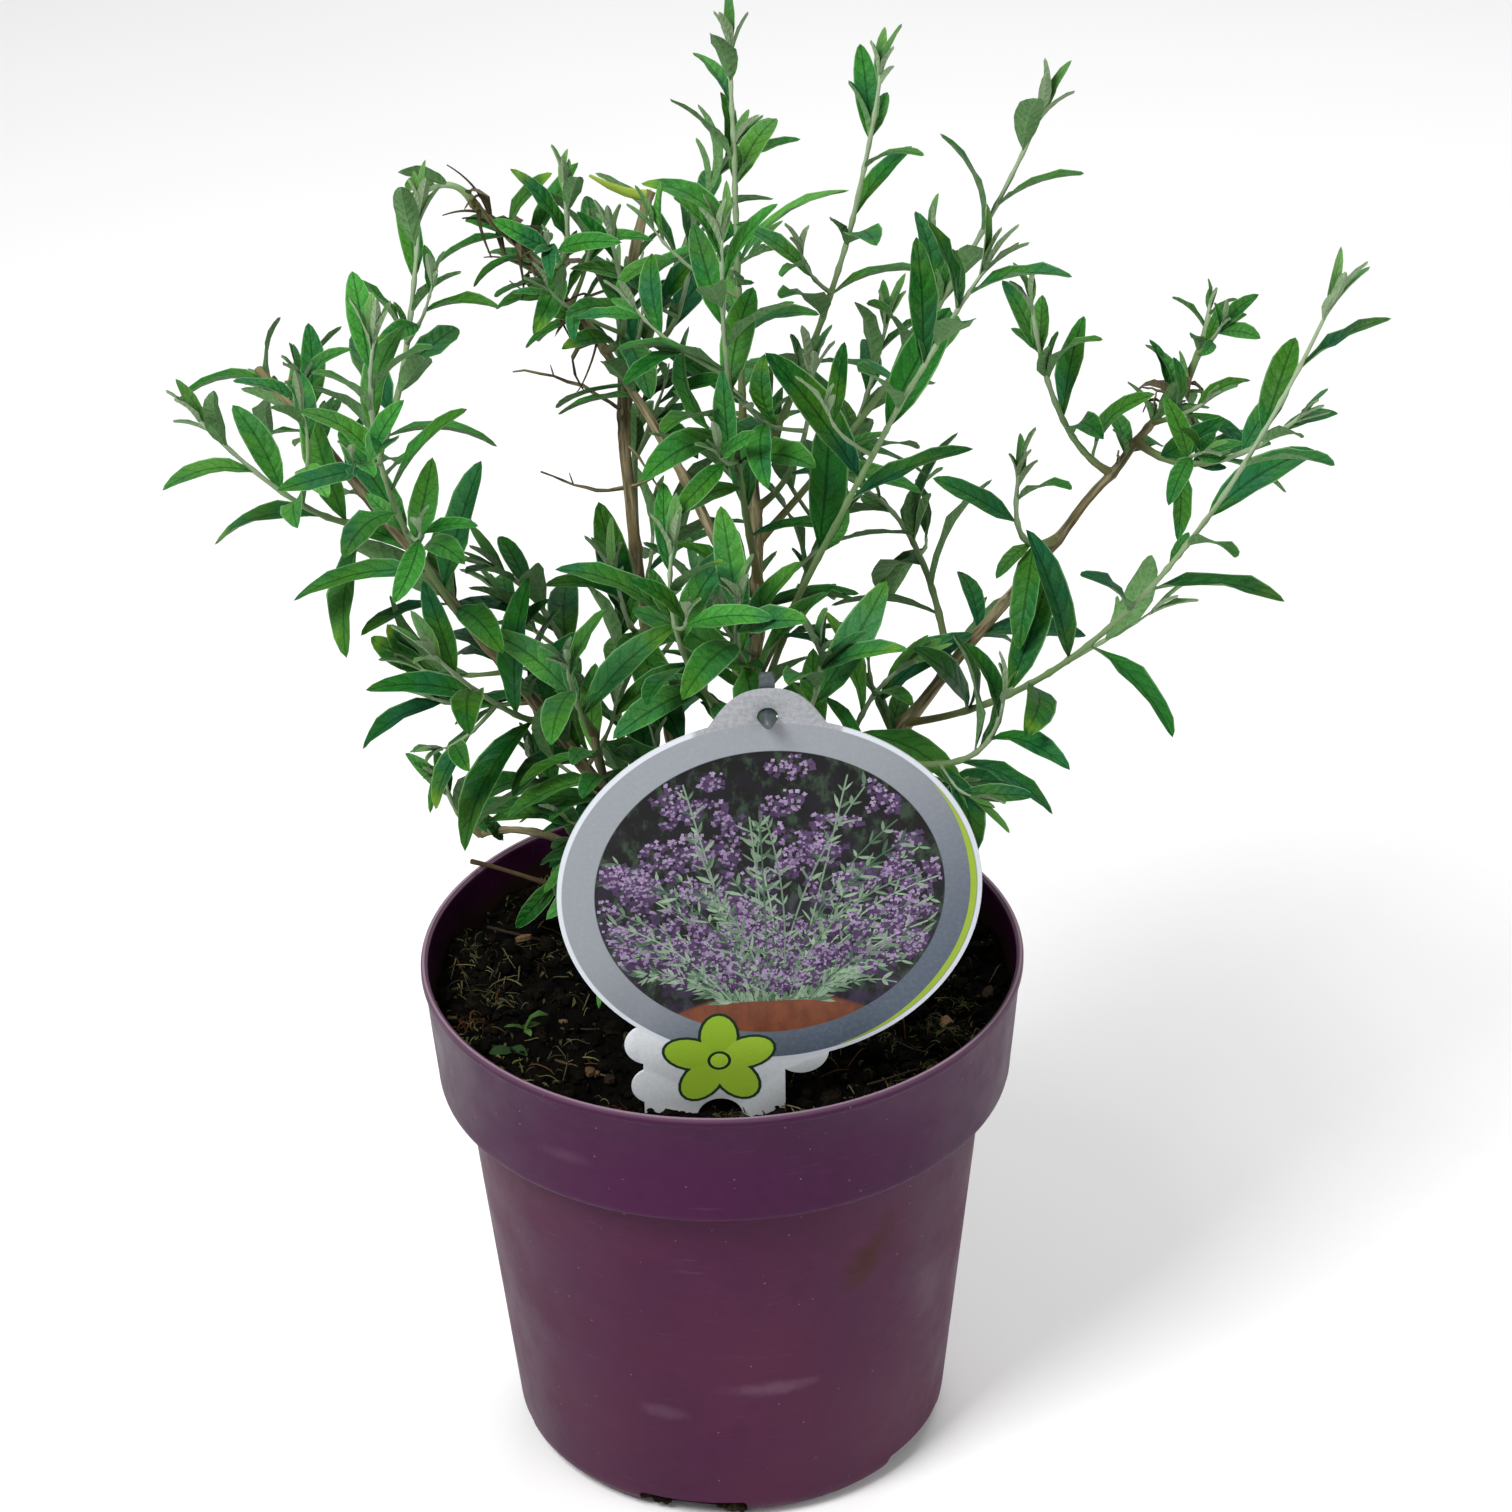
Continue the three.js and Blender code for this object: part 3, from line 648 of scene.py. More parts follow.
def make_mottle() -> Tree:
    """Makes uneven colour: two shades mixed by broad and fine noise, with the noise as height."""
    group, wiring, given, send = effect_group(
        "mottle",
        {
            "Place": ("Vector", None),
            "Dark": ("Color", (0, 0, 0, 1)),
            "Light": ("Color", (1, 1, 1, 1)),
            "Broad": ("Float", 30.0),
            "Fine": ("Float", 400.0),
        },
        {"Colour": "Color", "Height": "Float"},
    )
    broad = wiring.noise(given["Place"], given["Broad"])
    fine = wiring.noise(given["Place"], given["Fine"])
    both = wiring.plus(broad, wiring.times(fine, 0.5))
    send("Colour", wiring.blend(wiring.span(both, 0.45, 1.05), given["Dark"], given["Light"]))
    send("Height", fine)
    return group


def make_veins() -> Tree:
    """Makes a leaf's midrib, side veins and margin, from its pattern coordinates."""
    group, wiring, given, send = effect_group(
        "leaf_veins",
        {"Place": ("Vector", None), "Spot": ("Vector", None), "Pairs": ("Float", 8.0)},
        {"Midrib": "Float", "Side": "Float", "Margin": "Float", "Height": "Float"},
    )
    axes = wiring.parts(given["Place"])
    along, across = axes[0], axes[1]
    off = wiring.times(wiring.away(across, 0.5), 2)
    midrib = wiring.span(off, 0.03, 0.11, 1, 0)
    slant = wiring.minus(along, wiring.times(off, 0.13))
    bent = wiring.plus(slant, wiring.times(wiring.math("POWER", off, 3), -0.03))
    wander = wiring.math("MULTIPLY_ADD", wiring.noise(given["Spot"], 130, 2, 0.5), 0.16, -0.08)
    bent = wiring.plus(bent, wander)
    wave = wiring.math("FRACT", wiring.times(bent, given["Pairs"]))
    near = wiring.away(wave, 0.5)
    inside = wiring.span(off, 0.72, 0.98, 1, 0)
    side = wiring.times(wiring.span(near, 0.02, 0.12, 1, 0), inside)
    send("Midrib", midrib)
    send("Side", side)
    send("Margin", wiring.span(off, 0.88, 0.97))
    quilt = wiring.span(near, 0.0, 0.42)
    sunk = wiring.times(midrib, -0.9)
    send("Height", wiring.plus(wiring.times(quilt, inside), sunk))
    return group


@dataclass
class Effects:
    """The node groups that several finishes share."""

    speckle: Tree = field(default_factory=make_speckle)
    patch: Tree = field(default_factory=make_patch)
    mottle: Tree = field(default_factory=make_mottle)
    veins: Tree = field(default_factory=make_veins)


# Finishes.


@dataclass(frozen=True)
class Smear:
    """A ragged patch of dirt or wear: its middle, its squeeze by axis, its radius and depth."""

    centre: Triple
    stretch: Triple
    radius: float
    depth: float


STAINS = (
    Smear((0.0400, -0.0702, 0.0945), (1, 1, 0.8), 0.007, 0.55),
    Smear((0.0437, -0.0683, 0.0990), (1, 1, 0.8), 0.0085, 0.75),
    Smear((0.0478, -0.0660, 0.1050), (1, 1, 0.8), 0.0075, 0.6),
    Smear((0.0500, -0.0645, 0.1120), (1, 1, 0.8), 0.006, 0.35),
)
SCUFFS = (
    Smear((0.0130, -0.0745, 0.0560), (0.7, 0.7, 3.2), 0.013, 0.15),
    Smear((-0.0210, -0.0710, 0.0450), (0.8, 0.8, 2.0), 0.009, 0.1),
    Smear((-0.0480, -0.0760, 0.1500), (0.8, 0.8, 2.6), 0.010, 0.08),
    Smear((0.0640, -0.0450, 0.0700), (1, 1, 0.8), 0.014, 0.07),
)
SPLASHES = (
    Smear((-0.0560, 0.0500, 0.0800), (1, 1, 0.7), 0.016, 0.3),
    Smear((-0.0265, -0.0630, 0.0040), (0.8, 0.8, 1.2), 0.006, 0.9),
    Smear((0.0020, -0.0680, 0.0040), (0.8, 0.8, 1.2), 0.005, 0.9),
)


@dataclass(frozen=True)
class PlumPlastic:
    """Moulded plum plastic of the pot, dusty below the collar, scuffed, and with a painted lip
    highlight.
    """

    deep: Colour = paint(52, 12, 48)
    pale: Colour = paint(63, 18, 56)
    film: Colour = paint(80, 37, 58)
    soil: Colour = paint(46, 30, 28)
    stain: Colour = paint(58, 24, 17)
    dust_and_rim_highlight: Colour = paint(150, 125, 140)
    collar_foot: float = 0.132
    soil_line: float = 0.158
    wall_slope: float = 0.0824
    wall_radius: float = 0.0906
    lip_radius: float = 0.0941
    lip_heights: Pair = (0.1712, 0.1726)

    def material(self, effects: Effects) -> Material:
        """Builds the material."""
        made, wiring, feed = fresh_material("plum_plastic", Specular_IOR_Level=0.12)
        here = wiring.here()
        up = wiring.parts(here)[2]
        out = wiring.length(wiring.stretch(here, 1, 1, 0))
        base = wiring.effect(
            effects.mottle, place=here, dark=self.deep, light=self.pale, broad=14.0, fine=220.0
        )
        below = wiring.span(up, self.collar_foot - 0.006, self.collar_foot - 0.001, 1, 0)
        cloudy = wiring.mask(here, 22, 5, 0.6, 0.3, 0.75)
        share = wiring.times(below, wiring.math("MULTIPLY_ADD", cloudy, 0.45, 0.3))
        colour = wiring.blend(share, base.outputs["Colour"], self.film)
        drag = wiring.mask(wiring.stretch(here, 60, 60, 900), 1, 3, 0.6, 0.6, 0.85, 0, 0.1)
        colour = wiring.blend(drag, colour, self.dust_and_rim_highlight)
        specks = wiring.effect(effects.speckle, place=here, scale=260.0, size=0.08)
        colour = wiring.blend(wiring.times(specks.outputs[0], 0.36), colour, self.dust_and_rim_highlight)
        for shade, smears in ((self.stain, STAINS), (self.dust_and_rim_highlight, SCUFFS), (self.soil, SPLASHES)):
            for smear in smears:
                mark = wiring.effect(
                    effects.patch,
                    place=here,
                    centre=smear.centre,
                    stretch=smear.stretch,
                    radius=smear.radius,
                )
                colour = wiring.blend(wiring.times(mark.outputs[0], smear.depth), colour, shade)
        grime = wiring.noise(here, 90, 5, 0.7)
        past = wiring.minus(up, self.collar_foot)
        wall = wiring.math("MULTIPLY_ADD", past, self.wall_slope, self.wall_radius)
        inner = wiring.math("LESS_THAN", out, wall)
        height = wiring.math("MULTIPLY_ADD", grime, 0.016, self.soil_line - 0.004)
        wet = wiring.span(wiring.minus(up, height), -0.002, 0.004, 1, 0)
        above = wiring.math("GREATER_THAN", up, self.collar_foot + 0.002)
        inside = wiring.times(wiring.times(inner, above), wet)
        foot = wiring.span(up, 0.001, 0.006, 0.85, 0)
        lower = wiring.times(foot, wiring.span(grime, 0.45, 0.65))
        colour = wiring.blend(wiring.math("MAXIMUM", inside, lower), colour, self.soil)
        # Painted highlight: the lip's top is lightened toward the dust colour, most strongly in a
        # thin line along its crest.
        lip = wiring.span(up, *self.lip_heights)
        ridge = wiring.span(wiring.away(out, self.lip_radius), 0.0002, 0.0007, 0.62, 0)
        painted_rim_highlight = wiring.plus(ridge, 0.2)
        feed("Base Color", wiring.blend(wiring.times(lip, painted_rim_highlight), colour, self.dust_and_rim_highlight))
        dull = wiring.mask(here, 45, 4, 0.6, 0.3, 0.75, 0.36, 0.5)
        feed("Roughness", wiring.plus(dull, wiring.times(share, 0.12)))
        lines = wiring.noise(wiring.stretch(here, 40, 40, 1500), 1)
        normal = wiring.bump(lines, 0.1, 0.0003)
        feed("Normal", wiring.bump(base.outputs["Height"], 0.12, 0.0004, normal))
        return made


@dataclass(frozen=True)
class PeatCompost:
    """Dark damp compost: peat crumbs of near black and brown."""

    name: str = "peat_compost"
    dark: Colour = paint(3, 3, 3)
    light: Colour = paint(19, 16, 11)
    coarse: float = 160
    fine: float = 900

    def material(self, effects: Effects) -> Material:
        """Builds the material, its shade shifted by the piece's tint."""
        made, wiring, feed = fresh_material(self.name, Specular_IOR_Level=0.04, Roughness=0.95)
        here = wiring.here()
        base = wiring.effect(
            effects.mottle,
            place=here,
            dark=self.dark,
            light=self.light,
            broad=self.coarse,
            fine=self.fine,
        )
        tint = wiring.value_of("tint")
        shaded = wiring.blend(wiring.span(tint, 0, 1, 0.85, 0), base.outputs["Colour"], self.dark)
        feed("Base Color", shaded)
        feed("Normal", wiring.bump(base.outputs["Height"], 0.7, 0.0012))
        return made


@dataclass(frozen=True)
class PlantFibre:
    """A dry or mossy plant fibre, one shade to another by each piece's tint."""

    name: str
    dark: Colour
    light: Colour
    roughness: float = 0.85

    def material(self) -> Material:
        """Builds the material."""
        made, wiring, feed = fresh_material(
            self.name, Roughness=self.roughness, Specular_IOR_Level=0.08
        )
        grain = wiring.noise(wiring.stretch(wiring.vector_of("grain"), 1, 1, 0.2), 900, 3, 0.6)
        base = wiring.blend(wiring.value_of("tint"), self.dark, self.light)
        feed("Base Color", wiring.blend(wiring.span(grain, 0.35, 0.7, 0, 0.5), base, self.dark))
        feed("Normal", wiring.bump(grain, 0.4, 0.0004))
        return made


@dataclass(frozen=True)
class Bark:
    """Thin grey-brown bark with long furrows, flaking patches and pale pores."""

    dark: Colour = paint(74, 66, 48)
    light: Colour = paint(148, 138, 108)
    warm: Colour = paint(118, 102, 70)
    pore: Colour = paint(164, 154, 130)

    def material(self, effects: Effects) -> Material:
        """Builds the material."""
        made, wiring, feed = fresh_material("bark", Roughness=0.85, Specular_IOR_Level=0.1)
        grain = wiring.vector_of("grain")
        long = wiring.stretch(grain, 1, 1, 0.09)
        furrow = wiring.noise(long, 620, 5, 0.6)
        flake = wiring.noise(wiring.stretch(grain, 1, 1, 0.35), 190, 4, 0.55)
        base = wiring.blend(wiring.span(furrow, 0.36, 0.64), self.dark, self.light)
        base = wiring.blend(wiring.span(flake, 0.48, 0.7, 0, 0.75), base, self.warm)
        pores = wiring.effect(
            effects.speckle, place=wiring.stretch(grain, 1, 1, 0.45), scale=330.0, size=0.2
        )
        base = wiring.blend(wiring.times(pores.outputs[0], 0.6), base, self.pore)
        green = wiring.span(wiring.value_of("tint"), 0.5, 1.0, 0, 0.55)
        feed("Base Color", wiring.blend(green, base, paint(112, 116, 76)))
        height = wiring.plus(furrow, wiring.times(flake, 0.7))
        feed("Normal", wiring.bump(height, 0.65, 0.0006))
        return made


@dataclass(frozen=True)
class StemSkin:
    """Skin of the green shoots: woody brown at the root, felted pale green at the tip."""

    name: str = "stem_skin"
    woody: Colour = paint(104, 98, 62)
    green: Colour = paint(104, 132, 84)
    felt: Colour = paint(146, 166, 134)

    def material(self) -> Material:
        """Builds the material, its colour led along the stem by the tint."""
        made, wiring, feed = fresh_material(
            self.name, Roughness=0.7, Specular_IOR_Level=0.12, Sheen_Weight=0.05
        )
        grain = wiring.stretch(wiring.vector_of("grain"), 1, 1, 0.12)
        line = wiring.noise(grain, 900, 4, 0.6)
        age = wiring.value_of("tint")
        base = wiring.blend(wiring.span(age, 0.0, 0.26), self.woody, self.green)
        base = wiring.blend(wiring.span(age, 0.3, 0.95), base, self.felt)
        feed("Base Color", wiring.blend(wiring.span(line, 0.4, 0.7, 0, 0.3), base, self.woody))
        feed("Normal", wiring.bump(line, 0.4, 0.0003))
        return made


@dataclass(frozen=True)
class LeafSkin:
    """Upper face of a leaf: dull green with sunk veins and a pale margin."""

    name: str
    deep: Colour
    fresh: Colour
    vein: Colour
    margin: Colour = paint(128, 168, 116)
    gold: Colour = paint(120, 158, 34)
    cool: Colour = paint(23, 80, 62)
    warm: Colour = paint(66, 108, 22)
    quilt: float = 0.38
    ripe: float = 0.5
    ribs: float = 0.34

    def material(self, effects: Effects) -> Material:
        """Builds the material."""
        made, wiring, feed = fresh_material(self.name, Specular_IOR_Level=0.08)
        here = wiring.here()
        pattern = wiring.pattern_place()
        veins = wiring.effect(effects.veins, place=pattern, spot=here, pairs=7.0).outputs
        cloud = wiring.noise(here, 260, 4, 0.6)
        net = wiring.cells(here, 640, "DISTANCE_TO_EDGE")
        ripe = wiring.times(wiring.span(wiring.parts(pattern)[0], 0.72, 0.97), self.ripe)
        some = wiring.mask(here, 45, 2, 0.5, 0.62, 0.72)
        base = wiring.blend(wiring.value_of("tint"), self.deep, self.fresh)
        for share, shade in (
            (wiring.span(cloud, 0.35, 0.75, 0, 0.35), self.fresh),
            (wiring.mask(here, 32, 2, 0.5, 0.44, 0.62, 0, 0.58), self.cool),
            (wiring.mask(here, 39, 2, 0.5, 0.38, 0.55, 0.5, 0), self.warm),
            (wiring.times(veins["Side"], self.ribs), self.vein),
            (wiring.times(veins["Midrib"], 0.62), self.vein),
            (wiring.span(net, 0.02, 0.14, self.ribs * 0.6, 0), self.vein),
            (wiring.times(ripe, some), self.gold),
            (wiring.times(veins["Margin"], 0.5), self.margin),
        ):
            base = wiring.blend(share, base, shade)
        feed("Base Color", base)
        feed("Roughness", wiring.span(cloud, 0.3, 0.7, 0.4, 0.52))
        puffed = wiring.plus(veins["Height"], wiring.span(net, 0, 0.35, 0, 0.4))
        normal = wiring.bump(puffed, self.quilt, 0.0007)
        feed("Normal", wiring.bump(wiring.noise(here, 1500, 2, 0.6), 0.12, 0.0003, normal))
        return made


@dataclass(frozen=True)
class LeafFelt:
    """Underside of a leaf: pale grey-green felt with raised veins."""

    name: str
    dark: Colour
    light: Colour

    def material(self, effects: Effects) -> Material:
        """Builds the material."""
        made, wiring, feed = fresh_material(
            self.name, Roughness=0.85, Specular_IOR_Level=0.1, Sheen_Weight=0.04
        )
        here = wiring.here()
        pattern = wiring.pattern_place()
        veins = wiring.effect(effects.veins, place=pattern, spot=here, pairs=7.0).outputs
        nap = wiring.noise(here, 900, 4, 0.7)
        base = wiring.blend(wiring.span(nap, 0.1, 0.9), self.dark, self.light)
        ribs = wiring.math("MAXIMUM", veins["Midrib"], veins["Side"])
        feed("Base Color", wiring.blend(wiring.times(ribs, 0.45), base, self.light))
        raised = wiring.math("MULTIPLY_ADD", veins["Height"], -1.0, nap)
        feed("Normal", wiring.bump(raised, 0.35, 0.0005))
        return made


@dataclass(frozen=True)
class LabelCard:
    """Printed card of the label: silver ring, white border, lime stripe and dark picture."""

    span: float = 0.2
    ring: float = 0.0612
    picture: float = 0.0517
    cap_half: float = 0.0205
    edge: Pair = (0.0628, 0.0634)
    bowl_top: Pair = (-0.0375, -0.0355)
    border: Colour = paint(195, 200, 207)
    silver: Colour = paint(133, 137, 143)
    slate: Colour = paint(72, 83, 98)
    cap: Colour = paint(158, 159, 161)
    foot: Colour = paint(206, 210, 213)
    lime: Colour = paint(142, 166, 44)
    ground: Colour = paint(10, 10, 11)
    moss: Colour = paint(44, 60, 44)
    plum: Colour = paint(52, 40, 66)
    clay: Colour = paint(120, 68, 45)
    bowl: Colour = paint(96, 55, 40)

    def material(self) -> Material:
        """Builds the material from the plate's own flat coordinates."""
        made, wiring, feed = fresh_material("label_card", Specular_IOR_Level=0.18)
        centred = wiring.place(
            "Mapping",
            {
                "Vector": wiring.pattern_place(),
                "Location": (-self.span / 2, -self.span / 2, 0),
                "Scale": (self.span, self.span, 0),
            },
        ).outputs[0]
        far = wiring.length(centred)
        axes = wiring.parts(centred)
        across, up = axes[0], axes[1]
        fibre = wiring.noise(centred, 700, 4, 0.7)
        sweep = wiring.minus(up, wiring.times(across, 0.8))
        ring = wiring.blend(wiring.span(sweep, -0.085, 0.035), self.slate, self.silver)
        ring = wiring.blend(wiring.span(fibre, 0.4, 0.75, 0, 0.07), ring, self.border)
        white = wiring.blend(wiring.span(fibre, 0.35, 0.7, 0, 0.2), self.foot, self.cap)
        grey = wiring.blend(wiring.span(fibre, 0.3, 0.7), self.cap, self.silver)
        cap = wiring.blend(wiring.span(up, -0.048, -0.040, 1, 0), grey, white)
        past = wiring.span(far, self.ring + 0.0002, self.ring + 0.0006)
        colour = wiring.blend(past, ring, cap)
        rim = wiring.times(past, wiring.span(far, *self.edge, 1, 0))
        beside = wiring.span(
            wiring.math("ABSOLUTE", across), self.cap_half, self.cap_half + 0.002
        )
        beside = wiring.math("MAXIMUM", beside, wiring.math("LESS_THAN", up, 0))
        colour = wiring.blend(wiring.times(rim, beside), colour, self.border)
        angle = wiring.math("ARCTAN2", up, across)
        rise, fall = wiring.span(angle, -1.35, -0.5, 0, 0.0017), wiring.span(angle, 0.1, 0.75, 1, 0)
        width = wiring.times(rise, fall)
        stripe = wiring.math("GREATER_THAN", far, wiring.minus(self.ring, width))
        stripe = wiring.times(stripe, wiring.span(far, self.ring, self.ring + 0.0004, 1, 0))
        stripe = wiring.times(stripe, wiring.math("GREATER_THAN", width, 0.0001))
        colour = wiring.blend(stripe, colour, self.lime)
        leafy = wiring.noise(wiring.stretch(centred, 1, 0.55, 1), 210, 5, 0.65)
        picture = wiring.blend(wiring.span(leafy, 0.48, 0.66), self.ground, self.moss)
        bloom = wiring.mask(centred, 95, 4, 0.6, 0.44, 0.62)
        lower = wiring.span(up, -0.05, 0.03, 0.85, 0.1)
        picture = wiring.blend(wiring.times(bloom, lower), picture, self.plum)
        curve = wiring.plus(up, wiring.times(wiring.times(across, across), 9))
        clay = wiring.blend(wiring.span(leafy, 0.3, 0.7), self.clay, self.bowl)
        picture = wiring.blend(wiring.span(curve, *self.bowl_top, 1, 0), picture, clay)
        inside = wiring.span(far, self.picture, self.picture + 0.0004, 1, 0)
        feed("Base Color", wiring.blend(inside, colour, picture))
        feed("Roughness", wiring.span(fibre, 0.3, 0.7, 0.32, 0.46))
        feed("Normal", wiring.bump(fibre, 0.12, 0.0002))
        return made


@dataclass(frozen=True)
class PrintInk:
    """Ink of one printed motif, from dark to light by each motif's tint."""

    name: str
    dark: Colour
    light: Colour

    def material(self) -> Material:
        """Builds the material."""
        made, wiring, feed = fresh_material(self.name, Roughness=0.42, Specular_IOR_Level=0.1)
        grit = wiring.noise(wiring.here(), 1600, 3, 0.6)
        base = wiring.blend(wiring.value_of("tint"), self.dark, self.light)
        feed("Base Color", wiring.blend(wiring.span(grit, 0.4, 0.7, 0, 0.35), base, self.dark))
        return made


@dataclass(frozen=True)
class SlatePlastic:
    """Moulded slate-grey plastic of the stake, a little scuffed."""

    dark: Colour = paint(40, 47, 50)
    light: Colour = paint(74, 84, 86)

    def material(self, effects: Effects) -> Material:
        """Builds the material."""
        made, wiring, feed = fresh_material("slate_plastic")
        here = wiring.here()
        base = wiring.effect(
            effects.mottle, place=here, dark=self.dark, light=self.light, broad=60.0, fine=700.0
        )
        feed("Base Color", base.outputs["Colour"])
        feed("Roughness", wiring.mask(here, 120, 3, 0.5, 0.3, 0.7, 0.3, 0.45))
        feed("Normal", wiring.bump(base.outputs["Height"], 0.15, 0.0003))
        return made


# Growth of the crown, in millimetres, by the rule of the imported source.

SEAT = 0.3
GOLDEN_TURN = 137.5
LIMB_BOXES, STEM_BOXES, TWIG_BOXES = 9, 8, 3
STEM_RADII = (1.55, 0.75)
TWIG_RADII = (0.95, 0.6)
TWIG_LENGTHS = (20, 36)
LEAF_LEANS = (64, 34)
LEAF_HANG = 0.32
LEAF_SLIM = (0.3, 0.36)
ROLL_SPAN = 40
ROOT_SINK = 0.4
LAST_LEAF = 0.95
BUNCH_STEP = 1.6
RETRIES = (0, 40, -40, 85)
POT_RIM = 95
POT_HEIGHT = 173
SOIL_LEVEL = 157


class Tone(Enum):
    """Shade of green that a spray's full-grown leaves share."""

    DEEP = "deep"
    MID = "mid"
    FRESH = "fresh"


class Limb:
    """A tapering limb whose middle is pushed aside from the straight by its bow."""

    def __init__(
        self, start: Point, tip: Point, bow: Point, root_radius: float, tip_radius: float
    ) -> None:
        """Sets out a limb from its ends, its bow and its radii."""
        self.start = start
        self.chord = tip - start
        self.bow = bow
        self.root_radius = root_radius
        self.tip_radius = tip_radius
        side = np.cross(self.chord, bow)
        if np.linalg.norm(side) < 1e-3:
            side = np.cross(self.chord, point(0, 1, 0))
        self.side = unit(side)

    def at(self, share: float) -> Point:
        """Gives the centre line's point at a share of the way."""
        return self.start + self.chord * share + self.bow * 4 * share * (1 - share)

    def tangent(self, share: float) -> Point:
        """Gives the direction of growth at a share of the way."""
        return unit(self.chord + self.bow * 4 * (1 - 2 * share))

    def radius(self, share: float) -> float:
        """Gives the radius at a share of the way."""
        return mix(self.root_radius, self.tip_radius, share)

    @property
    def length(self) -> float:
        """Straight length from root to tip."""
        return float(np.linalg.norm(self.chord))


class StumpLimb(Limb):
    """The stump, flared at the compost."""

    flare = 3.3

    def radius(self, share: float) -> float:
        """Gives the radius at a share of the way, with the flare."""
        return super().radius(share) + self.flare * (1 - share) ** 6


@dataclass(frozen=True)
class Box:
    """A turned box that an owner's limb or leaf keeps for itself."""

    owner: str
    centre: Point
    axes: Point
    half: Point


class Claims:
    """All the space already taken, so that no leaf passes through another owner's."""

    room = 12000

    def __init__(self) -> None:
        """Starts with nothing taken."""
        self.count = 0
        self.owners: dict[str, int] = {}
        self.owner = np.zeros(self.room, dtype=int)
        self.centre = np.zeros((self.room, 3))
        self.axes = np.zeros((self.room, 3, 3))
        self.half = np.zeros((self.room, 3))
        self.reach = np.zeros(self.room)

    def number(self, owner: str) -> int:
        """Gives an owner's number."""
        return self.owners.setdefault(owner, len(self.owners))

    def take(self, box: Box) -> None:
        """Adds a box."""
        index = self.count
        self.owner[index] = self.number(box.owner)
        self.centre[index] = box.centre
        self.axes[index] = box.axes
        self.half[index] = box.half
        self.reach[index] = np.linalg.norm(box.half)
        self.count += 1

    def free(self, box: Box) -> bool:
        """Says whether a box meets no box of another owner."""
        used = slice(0, self.count)
        gap = self.centre[used] - box.centre
        near = self.reach[used] + np.linalg.norm(box.half)
        close = (gap * gap).sum(axis=1) <= near * near
        close &= self.owner[used] != self.number(box.owner)
        chosen = np.nonzero(close)[0]
        if not chosen.size:
            return True
        return bool(self.parted(chosen, box).all())

    def parted(self, chosen: np.ndarray, box: Box) -> np.ndarray:
        """Tests boxes against one box by their fifteen separating axes.

        Args:
            chosen: Numbers of the boxes to test.
            box: The box they are tested against.

        Returns:
            Whether each is clear of it.
        """
        axes, half = self.axes[chosen], self.half[chosen]
        turn = axes @ box.axes.T
        size = np.abs(turn) + 2.2e-16
        apart = np.einsum("kij,kj->ki", axes, box.centre - self.centre[chosen])
        clear = (np.abs(apart) > half + size @ box.half).any(axis=1)
        other = np.einsum("ki,kij->kj", apart, turn)
        clear |= (np.abs(other) > np.einsum("ki,kij->kj", half, size) + box.half).any(axis=1)
        for i in range(3):
            i1, i2 = (i + 1) % 3, (i + 2) % 3
            for j in range(3):
                j1, j2 = (j + 1) % 3, (j + 2) % 3
                mine = half[:, i1] * size[:, i2, j] + half[:, i2] * size[:, i1, j]
                its = box.half[j1] * size[:, i, j2] + box.half[j2] * size[:, i, j1]
                gap = np.abs(apart[:, i2] * turn[:, i1, j] - apart[:, i1] * turn[:, i2, j])
                clear |= gap > mine + its
        return clear

    def take_all(self, boxes: Sequence[Box]) -> bool:
        """Takes the boxes if all of them are free, and says whether they were."""
        if not all(self.free(box) for box in boxes):
            return False
        for box in boxes:
            self.take(box)
        return True


def limb_boxes(owner: str, limb: Limb, count: int) -> list[Box]:
    """Gives the boxes along a limb."""
    boxes = []
    for index in range(count):
        low, high = limb.at(index / count), limb.at((index + 1) / count)
        run = high - low
        length = float(np.linalg.norm(run))
        across = limb.radius(index / count) + SEAT
        x = run / length
        z = unit(np.cross(x, limb.side))
        axes = np.array([x, np.cross(z, x), z])
        half = point(length / 2, across, across)
        boxes.append(Box(owner, (low + high) / 2, axes, half))
    return boxes


def clear_of_pot(place: Point) -> bool:
    """Says whether a place is above the compost inside the pot, or above the rim outside it."""
    if math.hypot(place[0], place[1]) < POT_RIM - 8:
        return bool(place[2] > SOIL_LEVEL + 5)
    return bool(place[2] > POT_HEIGHT + 2)


class Blade:
    """Where one leaf sits: its root, its three directions and its size."""

    arch = 0.07
    thickness = 1.1

    def __init__(
        self, owner: str, root: Point, along: Point, up: Point, length: float, width: float
    ) -> None:
        """Poses a leaf by its root, its run and the side that faces up."""
        self.owner = owner
        self.root = root
        self.along = along
        self.length = length
        self.width = width
        self.normal = unit(up - along * (up @ along))
        self.side = np.cross(self.normal, along)

    def claim(self, ease: float = 1.0) -> Box:
        """Gives the box that the leaf keeps for itself, slimmer where it may touch others."""
        rise = self.arch * self.length
        centre = self.root + self.along * self.length / 2 + self.normal * rise / 2
        half = point(self.length / 2, self.width / 2 * ease, (rise + self.thickness) / 2 * ease)
        half = half + SEAT * ease
        return Box(self.owner, centre, np.array([self.along, self.side, self.normal]), half)

    def spot(self, share: float, across: float) -> Point:
        """Gives a point of the flat blade."""
        return self.root + self.along * self.length * share + self.side * self.width * across

    def fits(self, claims: Claims, ease: float = 1.0) -> bool:
        """Says whether the leaf is clear of the pot and of other owners' space."""
        spots = (self.spot(0.45, -0.5), self.spot(0.45, 0.5), self.spot(1, 0))
        return all(clear_of_pot(spot) for spot in spots) and claims.free(self.claim(ease))


@dataclass(frozen=True)
class BoughPlan:
    """One woody bough: its parent, its place on it, tip, bow and radii."""

    name: str
    parent: str
    at: float
    tip: Triple
    bow: Triple
    radii: Pair


